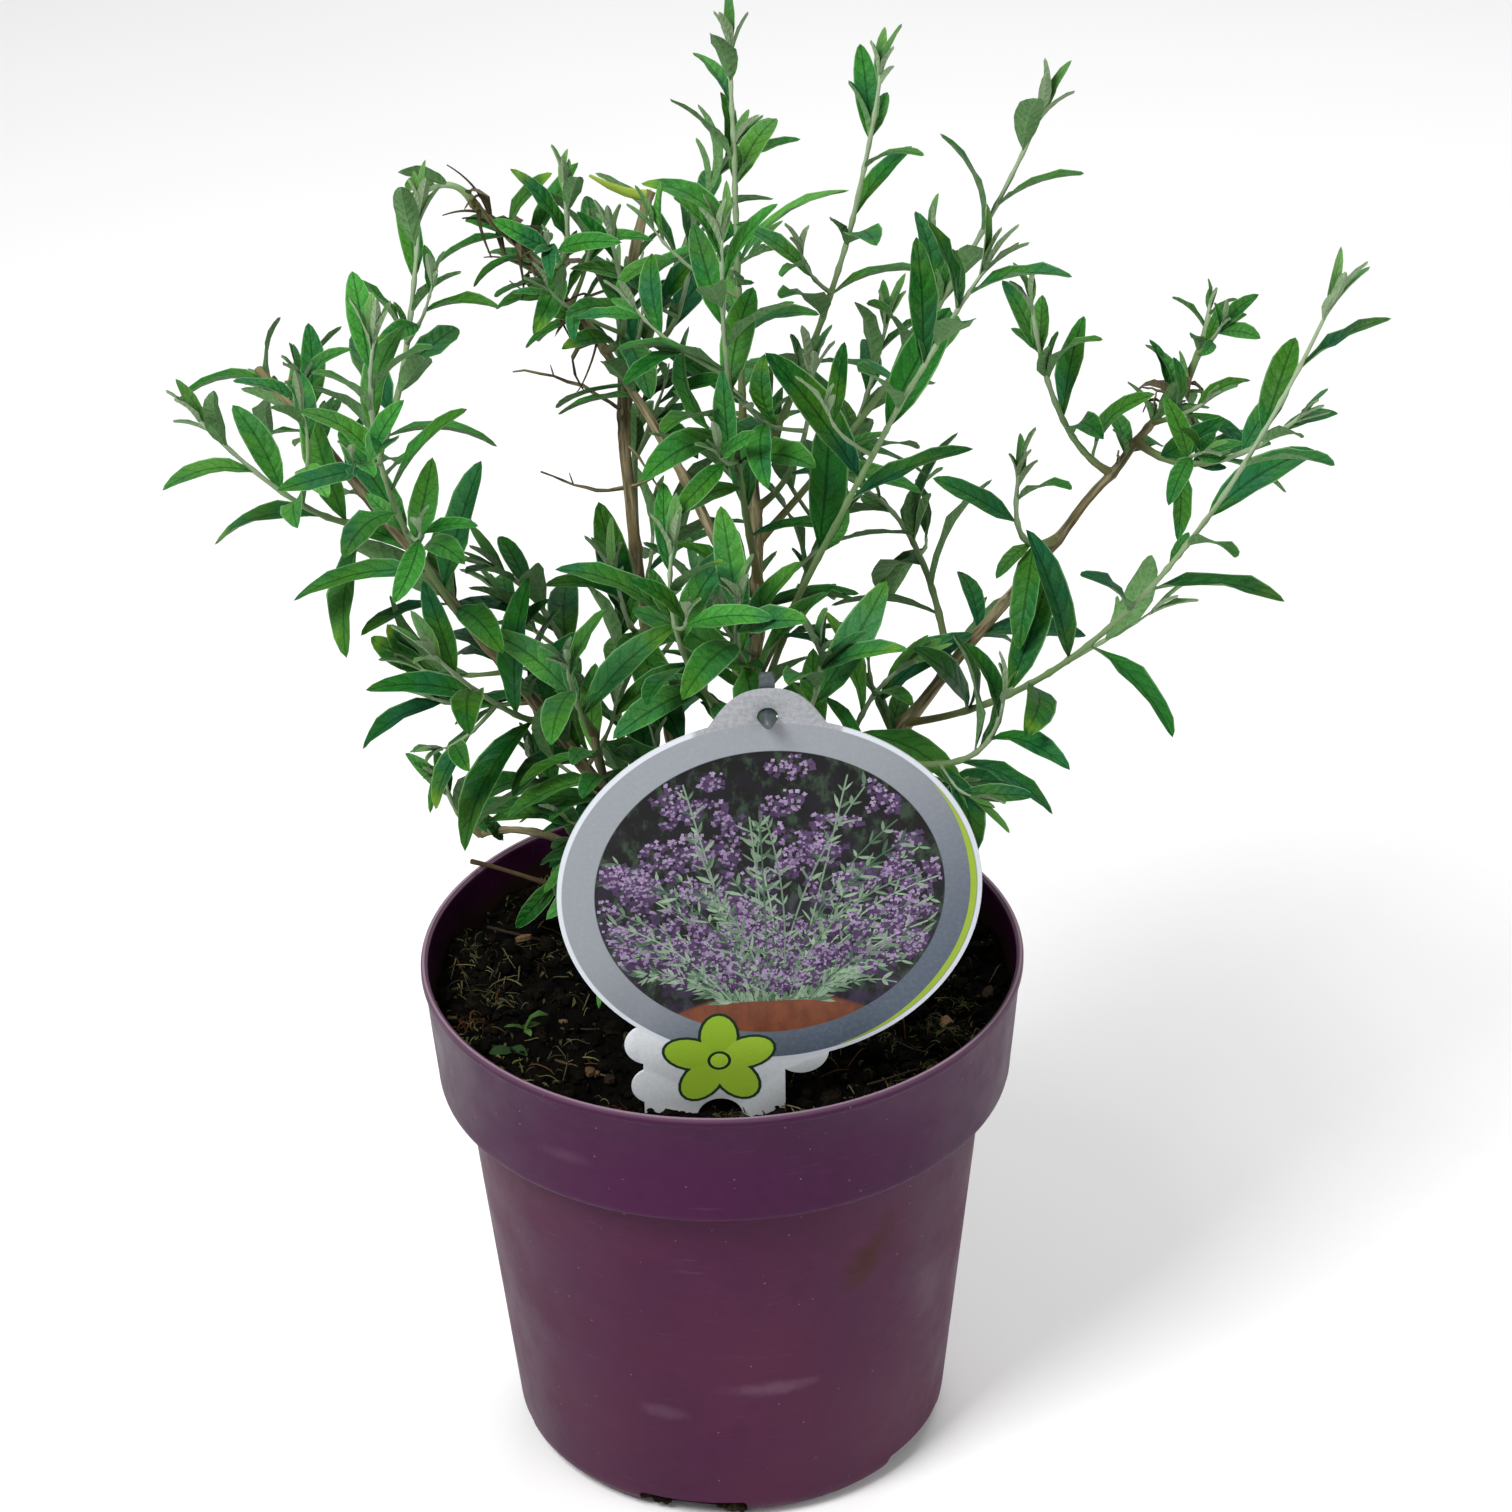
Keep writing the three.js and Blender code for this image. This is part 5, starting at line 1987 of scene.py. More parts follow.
@dataclass
class Studio:
    """Camera at the photograph's angle, pale floor and soft studio light."""

    pitch: float = 30.381
    distance: float = 1541.1
    target: Triple = (11.89, 0, 243.17)
    roll: float = -1.109
    focus: float = 5000
    sensor: float = 36
    floor_half: float = 6

    def build(self) -> None:
        """Sets up camera, floor, lights and world."""
        self.place_camera()
        self.lay_floor()
        self.hang_lamp("key", (-0.7, -0.8, 1.5), 0.65, 30)
        self.hang_lamp("fill", (1.1, -0.9, 0.9), 1.0, 7)
        self.hang_lamp("back", (0.3, 1.0, 1.5), 1.2, 14)
        self.light_world()
        view = bpy.context.scene.view_settings
        view.view_transform = "Standard"
        view.look = "None"
        view.exposure = 0
        view.gamma = 1

    def place_camera(self) -> None:
        """Puts the camera where the photograph was taken from."""
        pitch, roll = math.radians(self.pitch), math.radians(self.roll)
        back = Vector((0, -math.cos(pitch), math.sin(pitch)))
        right = Vector((1, 0, 0))
        up = right.cross(-back)
        turned_right = right * math.cos(roll) + up * math.sin(roll)
        turned_up = up * math.cos(roll) - right * math.sin(roll)
        eye = (Vector(self.target) + back * self.distance) * MM
        data = bpy.data.cameras.new("camera")
        data.sensor_width = self.sensor
        data.lens = self.focus * self.sensor / PHOTO_SIDE
        data.clip_start = 0.05
        camera = bpy.data.objects.new("camera", data)
        columns = (turned_right, turned_up, back, eye)
        camera.matrix_world = Matrix(
            [[column[row] for column in columns] for row in range(3)] + [[0, 0, 0, 1]]
        )
        bpy.context.scene.collection.objects.link(camera)
        bpy.context.scene.camera = camera

    def lay_floor(self) -> None:
        """Lays the plain pale floor."""
        deselect()
        bpy.ops.mesh.primitive_plane_add(size=self.floor_half * 2, location=(0, 0, -0.0004))
        floor = bpy.context.active_object
        floor.name = "floor"
        made, wiring, feed = fresh_material("floor_paper", Roughness=0.9)
        cloud = wiring.noise(wiring.here(), 3, 2, 0.5)
        feed("Base Color", wiring.blend(cloud, paint(243, 243, 243), paint(248, 248, 248)))
        floor.data.materials.append(made)

    def hang_lamp(self, name: str, place: Triple, size: float, power: float) -> None:
        """Hangs a square soft lamp that faces the plant."""
        data = bpy.data.lights.new(name, "AREA")
        data.size = size
        data.energy = power
        lamp = bpy.data.objects.new(name, data)
        lamp.location = place
        toward = Vector((0, 0, 0.2)) - Vector(place)
        lamp.rotation_euler = toward.to_track_quat("-Z", "Y").to_euler()
        bpy.context.scene.collection.objects.link(lamp)

    def light_world(self) -> None:
        """Surrounds the scene with even near-white light."""
        world = bpy.data.worlds.new("studio")
        world.use_nodes = True
        background = world.node_tree.nodes["Background"]
        background.inputs["Color"].default_value = (1, 1, 1, 1)
        background.inputs["Strength"].default_value = 0.34
        bpy.context.scene.world = world


@dataclass
class Pot:
    """The collared nursery pot, turned from its profile, with drain recesses in its foot."""

    around: int = 160
    recesses: int = 5
    first_recess: float = -11

    def profile(self) -> list[Pair]:
        """Gives radius and height from the middle underneath, up outside and down inside."""
        collar = wall_at(LIP)
        inner = [(wall_at(height) - WALL, height) for height in (150, 135, 70)]
        return [
            (0, 0), (60, 0), (63, 0), (64.4, 0.35), (65.6, 1), (67.6, 2.6), (69.1, 4.6),
            (69.7, 6.2), (70, 8), (wall_at(40), 40), (wall_at(90), 90), (82.7, 129),
            (82.95, 131.2), (83.3, 131.85), (84, 132), (89.2, 132), (90.2, 132.25),
            (90.8, 132.9), (91.05, 133.9), (91.15, 135.4), (wall_at(150), 150),
            (collar - 0.05, 168.9), (collar + 0.25, 169.45), (94.75, 169.9), (95, 170.5),
            (95, 172.1), (94.85, 172.6), (94.5, 172.92), (94.1, 173), (93.75, 172.85),
            (93.6, 172.5), (93.2, 172.42), (92.85, 172.2), (92.7, 171.7), (92.66, 169.2),
            inner[0], inner[1], (82.6, 132.8), (81.9, 132), (81.6, 131), inner[2], (68.2, 8),
            (66.4, 4.6), (64, 2), (60, 2), (0, 2),
        ]

    def build(self, effects: Effects) -> None:
        """Turns the profile, cuts the recesses and dresses the pot."""
        points = [(radius * MM, 0, height * MM) for radius, height in self.profile()]
        lines = [(index, index + 1) for index in range(len(points) - 1)]
        pot = new_piece("pot_shell", points, lines, [])
        with editing(pot):
            bpy.ops.mesh.spin(
                steps=self.around, angle=math.tau, center=(0, 0, 0), axis=(0, 0, 1)
            )
        with editing(pot):
            bpy.ops.mesh.remove_doubles(threshold=0.00002)
            bpy.ops.mesh.normals_make_consistent(inside=False)
        for index in range(self.recesses):
            cut_or_join(pot, self.recess(index), "DIFFERENCE")
        smooth_by(pot, 38)
        dress(pot, [PlumPlastic().material(effects)], ["pot"])

    def recess(self, index: int) -> Item:
        """Makes the block that cuts one recess, its upper corners rounded."""
        deselect()
        bpy.ops.mesh.primitive_cube_add(size=1, location=(0, -0.0675, 0))
        block = bpy.context.active_object
        block.scale = (0.035, 0.012, 0.0146)
        bpy.ops.object.transform_apply(location=True, rotation=True, scale=True)
        with editing(block):
            bpy.ops.mesh.bevel(offset=0.0016, segments=4)
        turn = self.first_recess + index * 360 / self.recesses
        block.rotation_euler = (0, 0, math.radians(turn))
        bpy.ops.object.transform_apply(location=True, rotation=True, scale=True)
        return block


@dataclass
class CompostBed:
    """The compost with its crumbs, chips, fibres, moss and a seedling."""

    cells: int = 150
    crumbs: int = 2300
    clods: int = 420
    fibres: int = 520
    tangle: int = 1500
    chips: int = 46
    scraps: int = 190
    stump_gap: float = 12
    moss_gap: float = 3.2
    seed: int = 77

    def build(self, effects: Effects) -> None:
        """Builds the bed and all that lies on it."""
        stream = Stream(self.seed)
        self.bed(effects)
        self.scatter_crumbs(stream, effects)
        self.scatter_fibres(stream)
        self.scatter_chips(stream)
        self.plant_moss(stream)
        self.strew_tangle(stream)
        self.shed_scraps(stream)
        self.plant_seedling(stream)
        self.lay_fallen_twigs(stream)
        self.fill_recess(Stream(self.seed + 1), effects)

    def bed(self, effects: Effects) -> None:
        """Builds the compost's body: a crumbly top, sides and underside."""
        edge = WALL_RADIUS - WALL - SEAT
        count = self.cells
        points = []
        for i in range(count + 1):
            for j in range(count + 1):
                a, b = 2 * i / count - 1, 2 * j / count - 1
                if a == b == 0:
                    x, y = 0.0, 0.0
                elif abs(a) > abs(b):
                    x, y = polar(math.pi / 4 * b / a, edge * a)
                else:
                    y, x = polar(math.pi / 4 * a / b, edge * b)
                points.append((x, y, surface_height(x, y)))
        row = count + 1
        faces: list[Face] = [
            (i * row + j, (i + 1) * row + j, (i + 1) * row + j + 1, i * row + j + 1)
            for i in range(count)
            for j in range(count)
        ]
        ring = [i * row for i in range(count)]
        ring += [count * row + j for j in range(count)]
        ring += [i * row + count for i in range(count, 0, -1)]
        ring += list(range(count, 0, -1))
        above = ring
        for radius, height in (
            (wall_at(135) - WALL - SEAT, 135.3), (82.3, 133.1), (81.3, 131), (67.3, 8.3), (63, 2.3),
        ):
            below = []
            for index in ring:
                x, y, _ = points[index]
                scale = radius / math.hypot(x, y)
                below.append(len(points))
                points.append((x * scale, y * scale, height))
            for i in range(len(ring)):
                j = (i + 1) % len(ring)
                faces.append((above[i], below[i], below[j], above[j]))
            above = below
        faces.append(tuple(reversed(above)))
        shape = Gathering()
        shape.add(np.array(points), faces, tint=0.45)
        peat = PeatCompost().material(effects)
        shape.make("compost_bed", "compost", peat, sharp=60, nodes=["compost"])

    def place(self, stream: Stream, margin: float) -> Pair:
        """Draws a place on the surface clear of the wall and the stump."""
        reach = WALL_RADIUS - WALL - SEAT - margin
        while True:
            x, y = stream.sway(reach), stream.sway(reach)
            if self.stump_gap < math.hypot(x, y) < reach:
                return x, y

    def scatter_crumbs(self, stream: Stream, effects: Effects) -> None:
        """Scatters peat crumbs and larger clods, half sunk in the surface."""
        crumb = PeatCompost("crumb_peat")
        clod = PeatCompost("clod_peat", paint(4, 4, 3), paint(27, 22, 15), 300, 1200)
        for name, count, low, high, fine, finish, sharp in (
            ("compost_crumbs", self.crumbs, 0.8, 3.2, False, crumb, 25),
            ("compost_clods", self.clods, 2.6, 7.0, True, clod, 35),
        ):
            heap = Gathering()
            for _ in range(count):
                points, faces = pebble(stream, fine)
                size = mix(low, high, stream() ** 2)
                flat = stream.between(0.55, 0.9)
                x, y = self.place(stream, size * 0.6)
                cos, sin = polar(stream() * math.tau, 1)
                spin = np.array([[cos, -sin, 0], [sin, cos, 0], [0, 0, 1]])
                shape = points * size * point(1.25, 0.85, flat)
                base = on_surface(x, y, size * flat * stream.between(0.05, 0.42))
                heap.add(shape @ spin.T + base, faces, tint=stream())
            heap.make(name, "compost", finish.material(effects), sharp=sharp)

    def fill_recess(self, stream: Stream, effects: Effects) -> None:
        """Lays the lumps of compost that show at both ends of the front recess."""
        heap = Gathering()
        for x, height, size in (
            (-30, 6.4, 4.2), (-27, 5.4, 5.0), (-24, 4.4, 4.4), (-21.5, 3.6, 3.0),
            (-3.5, 4.2, 3.2), (-0.5, 3.6, 4.4), (2.5, 3.4, 4.6), (4.6, 3.2, 3.0),
        ):
            points, faces = pebble(stream, True)
            middle = point(x, -math.sqrt(66.4**2 - x * x), height)
            heap.add(points * size * point(1.2, 0.9, 1) + middle, faces, tint=stream())
        finish = PeatCompost("root_peat", paint(12, 8, 7), paint(58, 50, 34), 300, 1200)
        heap.make("foot_compost", "compost", finish.material(effects), sharp=35)

    def strand(
        self, x: float, y: float, length: float, turn: float, lift: float, bend: float
    ) -> Point:
        """Gives a bent path that lies on the surface.

        Args:
            x: Middle of the path.
            y: Middle of the path.
            length: Its length.
            turn: Its direction.
            lift: How far its middle rises.
            bend: How far it bends aside, as a share of its length.

        Returns:
            Points of the path.
        """
        shares = [index / 6 - 0.5 for index in range(7)]
        line = [(share * length, bend * length * (0.25 - share * share)) for share in shares]
        steps = []
        for share, spot in zip(shares, turned(line, turn, x, y), strict=True):
            place = point(*spot, 0)
            keep_in(place, WALL_RADIUS - 2.4)
            rise = 0.3 + lift * (1 - 4 * share * share)
            steps.append(on_surface(place[0], place[1], rise))
        path = np.array(steps)
        path[1:-1, 2] = (path[:-2, 2] + 2 * path[1:-1, 2] + path[2:, 2]) / 4 + 0.2
        return path

    def scatter_fibres(self, stream: Stream) -> None:
        """Scatters straw, olive and rust-brown fibres, some in clumps."""
        straw, rust = Gathering(), Gathering()
        clumps = (
            (-80, -17, 7, rust), (-76, 8, 12, straw), (62, -58, 14, straw),
            (30, -78, 12, straw), (74, -30, 10, straw), (-38, -72, 9, rust),
        )
        for index in range(self.fibres):
            x, y = self.place(stream, 4)
            heap = straw if stream() < 0.75 else rust
            if index % 3 == 0:
                cx, cy, spread, heap = clumps[index // 3 % len(clumps)]
                x, y = cx + stream.sway(spread), cy + stream.sway(spread) * 0.7
                scale = min(1.0, 84 / math.hypot(x, y))
                x, y = x * scale, y * scale
            length, turn = mix(3, 13, stream() ** 1.7), stream() * math.pi
            path = self.strand(x, y, length, turn, stream.between(0, 2.2), stream.sway(0.3))
            thick = stream.between(0.1, 0.26)
            shares = np.clip(np.linspace(0, 1, len(path)), 0.05, 0.95)
            heap.add_tube(path, thick * (0.5 + np.sin(math.pi * shares) * 0.6), 4, stream())
        for name, heap, dark, light in (
            ("fibres_straw", straw, paint(30, 31, 17), paint(112, 106, 72)),
            ("fibres_rust", rust, paint(30, 20, 12), paint(92, 62, 38)),
        ):
            heap.make(name, "compost", PlantFibre(name, dark, light).material())

    def scatter_chips(self, stream: Stream) -> None:
        """Scatters thin chips of bark and one larger tan one by the front rim."""
        heap, sides = Gathering(), 7
        tan_chip = (70, -18.5, 9.5)
        spots = [(*self.place(stream, 5), mix(3, 8, stream() ** 2)) for _ in range(self.chips)]
        for spot in (*spots, tan_chip):
            x, y, size = spot
            radii = [stream.between(0.7, 1.1) for _ in range(sides)]
            turn, slim = stream() * math.tau, stream.between(0.35, 0.6)
            z = unit(point(stream.sway(0.3), stream.sway(0.3), 1))
            a = unit(np.cross(point(math.sin(turn), -math.cos(turn), 0), z))
            b = np.cross(z, a) * slim
            centre = on_surface(x, y, 0.9)
            rim = []
            for index, radius in enumerate(radii):
                along, across = polar(math.tau * index / sides, radius * size / 2)
                rim.append(centre + a * along + b * across)
            thick = z * (size * 0.09 + 0.2)
            points = [corner - thick for corner in rim] + [corner + thick * 0.6 for corner in rim]
            points += [centre - thick * 1.4, centre + thick * 1.4]
            faces: list[Face] = []
            for index in range(sides):
                after = (index + 1) % sides
                faces.append((index, after, sides + after, sides + index))
                faces.append((after, index, 2 * sides))
                faces.append((sides + index, sides + after, 2 * sides + 1))
            heap.add(np.array(points), faces, tint=1.0 if spot is tan_chip else stream() * 0.7)
        finish = PlantFibre("bark_chips", paint(20, 16, 11), paint(132, 104, 74))
        heap.make("bark_chips", "compost", finish.material(), sharp=30)

    def plant_moss(self, stream: Stream) -> None:
        """Plants olive tufts along the inside of the rim."""
        heap = Gathering()
        for middle, spread, depth, count in (
            (205, 26, 16, 150), (318, 20, 15, 130), (291, 15, 9, 60), (250, 12, 8, 36),
            (28, 18, 8, 40), (140, 26, 8, 50),
        ):
            for _ in range(count):
                angle = math.radians(middle + (stream() + stream() - 1) * spread)
                x, y = polar(angle, WALL_RADIUS - self.moss_gap - depth * stream() ** 1.7)
                base = on_surface(x, y, -0.3)
                lean = point(stream.sway(1), stream.sway(1), stream.between(0.5, 1.6))
                length = stream.between(1.2, 3.6)
                elbow = base + unit(lean) * length * 0.55
                lean[2] *= 0.3
                end = elbow + unit(lean) * length * 0.5
                keep_in(end, WALL_RADIUS - 2)
                path = np.array([base, elbow, end])
                heap.add_tube(path, point(0.22, 0.3, 0.08), 3, stream())
        finish = PlantFibre("moss", paint(32, 40, 15), paint(104, 108, 54))
        heap.make("moss_tufts", "compost", finish.material(), sharp=70)

    def strew_tangle(self, stream: Stream) -> None:
        """Strews the surface with fine curled threads of peat, root and dead moss."""
        heap, limit = Gathering(), WALL_RADIUS - 3
        patches = [(*self.place(stream, 6), stream.between(5, 13)) for _ in range(26)]
        for index in range(self.tangle):
            cx, cy, spread = patches[index % len(patches)]
            x = cx + (stream() + stream() - 1) * spread
            y = cy + (stream() + stream() - 1) * spread
            if not self.stump_gap + 1 < math.hypot(x, y) < limit:
                continue
            heading = unit(point(stream.sway(1), stream.sway(1), stream.between(0, 0.7)))
            swing = stream.sway(55)
            place = on_surface(x, y, stream.between(0.1, 1.2))
            step = stream.between(0.5, 1.4)
            path = [place]
            for _ in range(4):
                heading = swung(heading, point(0, 0, 1), swing)
                heading = unit(heading - point(0, 0, stream.between(0, 0.35)))
                place = place + heading * step
                keep_in(place, limit)
                place[2] = max(place[2], surface_height(place[0], place[1]) + 0.05)
                path.append(place)
            radii = np.array([0.1, 0.2, 0.22, 0.17, 0.06]) * stream.between(0.6, 1.3)
            heap.add_tube(np.array(path), radii, 3, stream() ** 1.5)
        finish = PlantFibre("peat_thread", paint(20, 19, 12), paint(92, 90, 58))
        heap.make("peat_threads", "compost", finish.material(), sharp=70)

    def shed_scraps(self, stream: Stream) -> None:
        """Sheds small curled scraps of dead leaf, most of them by the left wall."""
        heap = Gathering()
        for index in range(self.scraps):
            middle, spread = ((186, 34), (215, 30), (300, 50), (350, 60))[index % 4]
            angle = math.radians(middle + (stream() + stream() - 1) * spread)
            x, y = polar(angle, mix(WALL_RADIUS - 5, 34, stream() ** 1.5))
            base = on_surface(x, y, stream.between(0.3, 1.4))
            heading = polar(angle + stream.between(1.0, 5.3), 1)
            along = unit(point(*heading, stream.between(-0.1, 0.5)))
            up = point(stream.sway(0.5), stream.sway(0.5), 1)
            length = mix(1.2, 3.6, stream() ** 2)
            scrap = Blade("scrap", base, along, up, length, length * stream.between(0.2, 0.45))
            points, pattern = YOUNG_BLADE.mesh(scrap, stream, curl=2.4)
            heap.add(points, YOUNG_BLADE.faces, 0, pattern, stream() ** 1.3)
        finish = PlantFibre("leaf_scrap", paint(20, 22, 11), paint(92, 92, 56))
        heap.make("leaf_scraps", "compost", finish.material(), sharp=40)

    def plant_seedling(self, stream: Stream) -> None:
        """Plants a small hooked seedling and lays dark green scraps near the rim."""
        heap, up = Gathering(), point(0, 0, 1)
        base = on_surface(-62, -22, -0.5)
        path = base + np.array(
            [(0, 0, 0), (0.6, 0, 3), (2.2, -0.2, 6.2), (4.6, -0.4, 7.6), (7.4, -0.6, 7.2)]
        )
        heap.add_tube(path, point(0.8, 0.7, 0.75, 1.1, 0.25), 6, 0.7)
        for turn, length, rise in ((200, 7.5, 0.5), (20, 5, 0.35), (290, 5.5, 0.2)):
            along = unit(point(*polar(math.radians(turn), 1), rise))
            blade = Blade("seedling", base + point(0.2, 0, 1.4), along, up, length, 2.2)
            YOUNG_BLADE.lay(heap, blade, stream, plain=True)
        for x, y, size in ((-65, -34, 8), (-61, -36, 7), (-69, -31, 6), (26, -70, 5)):
            along = unit(point(stream.sway(1), stream.sway(1), 0.1))
            blade = Blade("scrap", on_surface(x, y, 0.6), along, up, size, size * 0.6)
            YOUNG_BLADE.lay(heap, blade, stream, tint=0.1, plain=True)
        finish = PlantFibre("seedling_green", paint(24, 46, 22), paint(78, 112, 54), 0.6)
        heap.make("seedling", "compost", finish.material())

    def lay_fallen_twigs(self, stream: Stream) -> None:
        """Lays dead twigs across the compost, and one long one out over the rim."""
        heap, count = Gathering(), 9
        for start, end, thick in (
            ((-76, 38), (-52, 30), 0.5), ((-30, 60), (4, 74), 0.5), ((40, 44), (66, 30), 0.45),
            ((-52, -44), (-36, -50), 0.35), ((44, -62), (60, -50), 0.35),
        ):
            low = max(surface_height(*start), surface_height(*end))
            path = []
            for share in np.linspace(0, 1, count):
                rise = 1.0 + 2.5 * (1 - share) + stream.sway(0.15)
                x, y = (mix(start[axis], end[axis], share) for axis in (0, 1))
                path.append((x, y, low + rise))
            lumpy = thick * np.array([stream.between(0.8, 1.25) for _ in range(count)])
            heap.add_tube(np.array(path), lumpy, 7, stream())
        path, count = [], 14
        for share in np.linspace(0, 1, count):
            sway = point(0, stream.sway(0.3), stream.sway(0.3) + 10 * share * (1 - share))
            middle = point(mix(-4, -81, share), mix(4, 52.6, share), mix(169, 175, share))
            path.append(middle + sway)
        lumpy = np.array([stream.between(0.85, 1.2) for _ in range(count)])
        heap.add_tube(np.array(path), np.linspace(1.25, 0.75, count) * lumpy, 8, 0.8)
        finish = PlantFibre("dead_twig", paint(34, 28, 20), paint(84, 70, 50))
        heap.make("fallen_twigs", "compost", finish.material())


@dataclass(frozen=True)
class BarkCut:
    """How a woody limb is shaped: its points round, its crookedness, its knots and relief."""

    sides: int = 18
    crook: float = 0.75
    slim: float = 0.72
    swell: float = 0.55
    knot_length: float = 1.9
    knot_height: float = 0.42
    ridge: float = 0.2
    fine: float = 0.1
    lobes: float = 0.0
    green: float = 0.85


BOUGH_BARK = BarkCut()
STUMP_BARK = BarkCut(40, 0.2, 1.0, 0.0, 2.6, 0.9, 0.26, 0.12, 0.35, 0.5)
SAWN_BOUGHS = ("bough_back", "bough_left", "bough_low_left")
SOIL_SEAM = 157.2


@dataclass
class Wood:
    """Stump and boughs with the bark's relief, and the bare dead twigs on them."""

    growth: Growth
    step: float = 1.6

    def build(self, effects: Effects) -> None:
        """Builds every woody limb and the dead twigs."""
        bark = Bark().material(effects)
        cut = PlantFibre("cut_wood", paint(150, 124, 90), paint(206, 186, 148)).material()
        for number, name in enumerate(self.growth.limbs):
            self.limb_piece(name, number, bark, cut)
        self.dead_twigs(bark)
        self.dried_head()

    def limb_piece(self, name: str, number: int, bark: Material, cut: Material) -> None:
        """Builds one limb: its line a little crooked, its skin furrowed and knotted."""
        limb = self.growth.limbs[name]
        shape = STUMP_BARK if name == "stump" else BOUGH_BARK
        rings = max(20, round(limb.length / self.step))
        stream = Stream(300 + number)
        knots = [(plan.at, 1.0) for plan in (*BOUGHS, *SHOOTS) if plan.parent == name]
        for _ in range(max(3, int(limb.length / 22))):
            knots.append((stream.between(0.08, 0.97), stream.between(0.35, 0.8)))
        shares = np.linspace(0, 1, rings + 1)
        path, radii = [], []
        for share in shares:
            along = share * limb.length
            sway = Vector((number * 7.3, along * 0.045, 0.5))
            crook = shape.crook * math.sin(math.pi * share) ** 0.5
            other = np.cross(limb.tangent(share), limb.side)
            middle = limb.at(share) + limb.side * noise.noise(sway) * crook
            path.append(middle + other * noise.noise(sway + Vector((3.7, 0, 0))) * crook)
            base = limb.radius(share) * shape.slim
            base *= 1 + shape.swell * math.exp(-max(0.0, along - 5.5) / 3.5)
            base = min(base, limb.radius(0) * 1.7)
            for place, size in knots:
                far = (along - place * limb.length) / shape.knot_length
                base += size * shape.knot_height * math.exp(-far * far)
            row = []
            for side in range(shape.sides):
                angle = math.tau * side / shape.sides
                cx, cy = polar(angle, 1)
                ridge = noise.noise(Vector((cx * 1.7 + number, cy * 1.7, along * 0.07)))
                fine = noise.noise(Vector((cx * 3.8, cy * 3.8 + number, along * 0.3)))
                lobe = (1 - share) ** 4 * math.sin(angle * 5 + 1.3 * math.sin(angle * 2))
                relief = shape.ridge * ridge + shape.fine * fine
                row.append(base * (1 + relief + shape.lobes * lobe))
            radii.append(row)
        points, faces, grain = tube(np.array(path), np.array(radii), shape.sides, limb.side)
        slots = [0] * len(faces)
        if name in SAWN_BOUGHS:
            slots[-shape.sides :] = [1] * shape.sides
            points[-1] = points[-shape.sides - 1 : -1].mean(axis=0)
        points[:, 2] = np.maximum(points[:, 2], SOIL_SEAM)
        tint = np.append(np.repeat(shares, shape.sides), 1.0) * shape.green
        heap = Gathering()
        heap.add(points, faces, slots, tint=tint, grain=grain)
        heap.make("bark_" + name, "bark", bark, cut, sharp=60, nodes=[name])

    def dead_twigs(self, bark: Material) -> None:
        """Grows the thin bare twigs on the back, left and right boughs."""
        heap, stream, count = Gathering(), Stream(58), 9
        back = self.growth.limbs["bough_back"]
        rows = [
            (back.at(0.605), point(-61, 62, 346), 0.55, (0, 0, 4)),
            (back.at(0.5), point(-53, 55, 315), 0.55, (0, 0, -3)),
            (back.at(0.5), point(-12, 48, 331), 0.5, (2, -2, -3)),
            (back.at(0.56), point(-14, 50, 300), 0.45, (1, -1, 3)),
            (back.at(0.8), point(-46, 70, 360), 0.45, (0, 0, 3)),
        ]
        for name, shares in (
            ("bough_left", (0.62, 0.78, 0.93)), ("bough_right", (0.74, 0.86, 0.94)),
        ):
            for share in shares:
                start = self.growth.limbs[name].at(share)
                reach = unit(point(stream.sway(1), stream.sway(1), stream()))
                rows.append((start, start + reach * stream.between(7, 14), 0.42, (0, 0, 1)))
        for start, end, thick, bow in rows:
            path = []
            for share in np.linspace(0, 1, count):
                middle = start + (end - start) * share + point(*bow) * 4 * share * (1 - share)
                jitter = point(*(stream.sway(0.5) for _ in range(3)))
                path.append(middle + jitter * (0.2 < share))
            radii = thick * np.linspace(1.25, 0.5, count)
            radii = radii * np.array([stream.between(0.85, 1.3) for _ in range(count)])
            heap.add_tube(np.array(path), radii, 6, 0.0)
            if thick > 0.5:
                joint = path[5]
                side = joint + point(stream.sway(3), stream.sway(2), 4.5)
                fork = np.array([joint, (joint + side) / 2, side])
                heap.add_tube(fork, point(0.3, 0.26, 0.16), 5, 0.0)
        heap.make("dead_twigs", "bark", bark)

    def dried_head(self) -> None:
        """Tangles dark dried twigs round the end of the high bough."""
        heap, stream, count = Gathering(), Stream(91), 18
        high = self.growth.limbs["bough_high_left"]
        for index in range(count):
            place = high.at(mix(0.6, 1.0, (index + stream()) / count))
            heading = unit(
                point(stream.between(-1, 0.3), stream.between(-1, 0.1), stream.between(-0.5, 0.8))
            )
            curl = unit(point(stream() - 0.5, stream() - 0.5, stream() - 0.5))
            step = stream.between(1.3, 3.1)
            swing = stream.between(5, 17) * (1 if stream() < 0.5 else -1)
            path = [place]
            for _ in range(9):
                heading = unit(swung(heading, curl, swing) + curl * 0.02)
                path.append(path[-1] + heading * step)
            radii = np.linspace(0.62, 0.22, len(path)) * stream.between(0.7, 1.2)
            heap.add_tube(np.array(path), radii, 6, stream())
        finish = PlantFibre("dry_twig", paint(38, 33, 24), paint(98, 88, 66))
        heap.make("dried_twigs", "bark", finish.material())


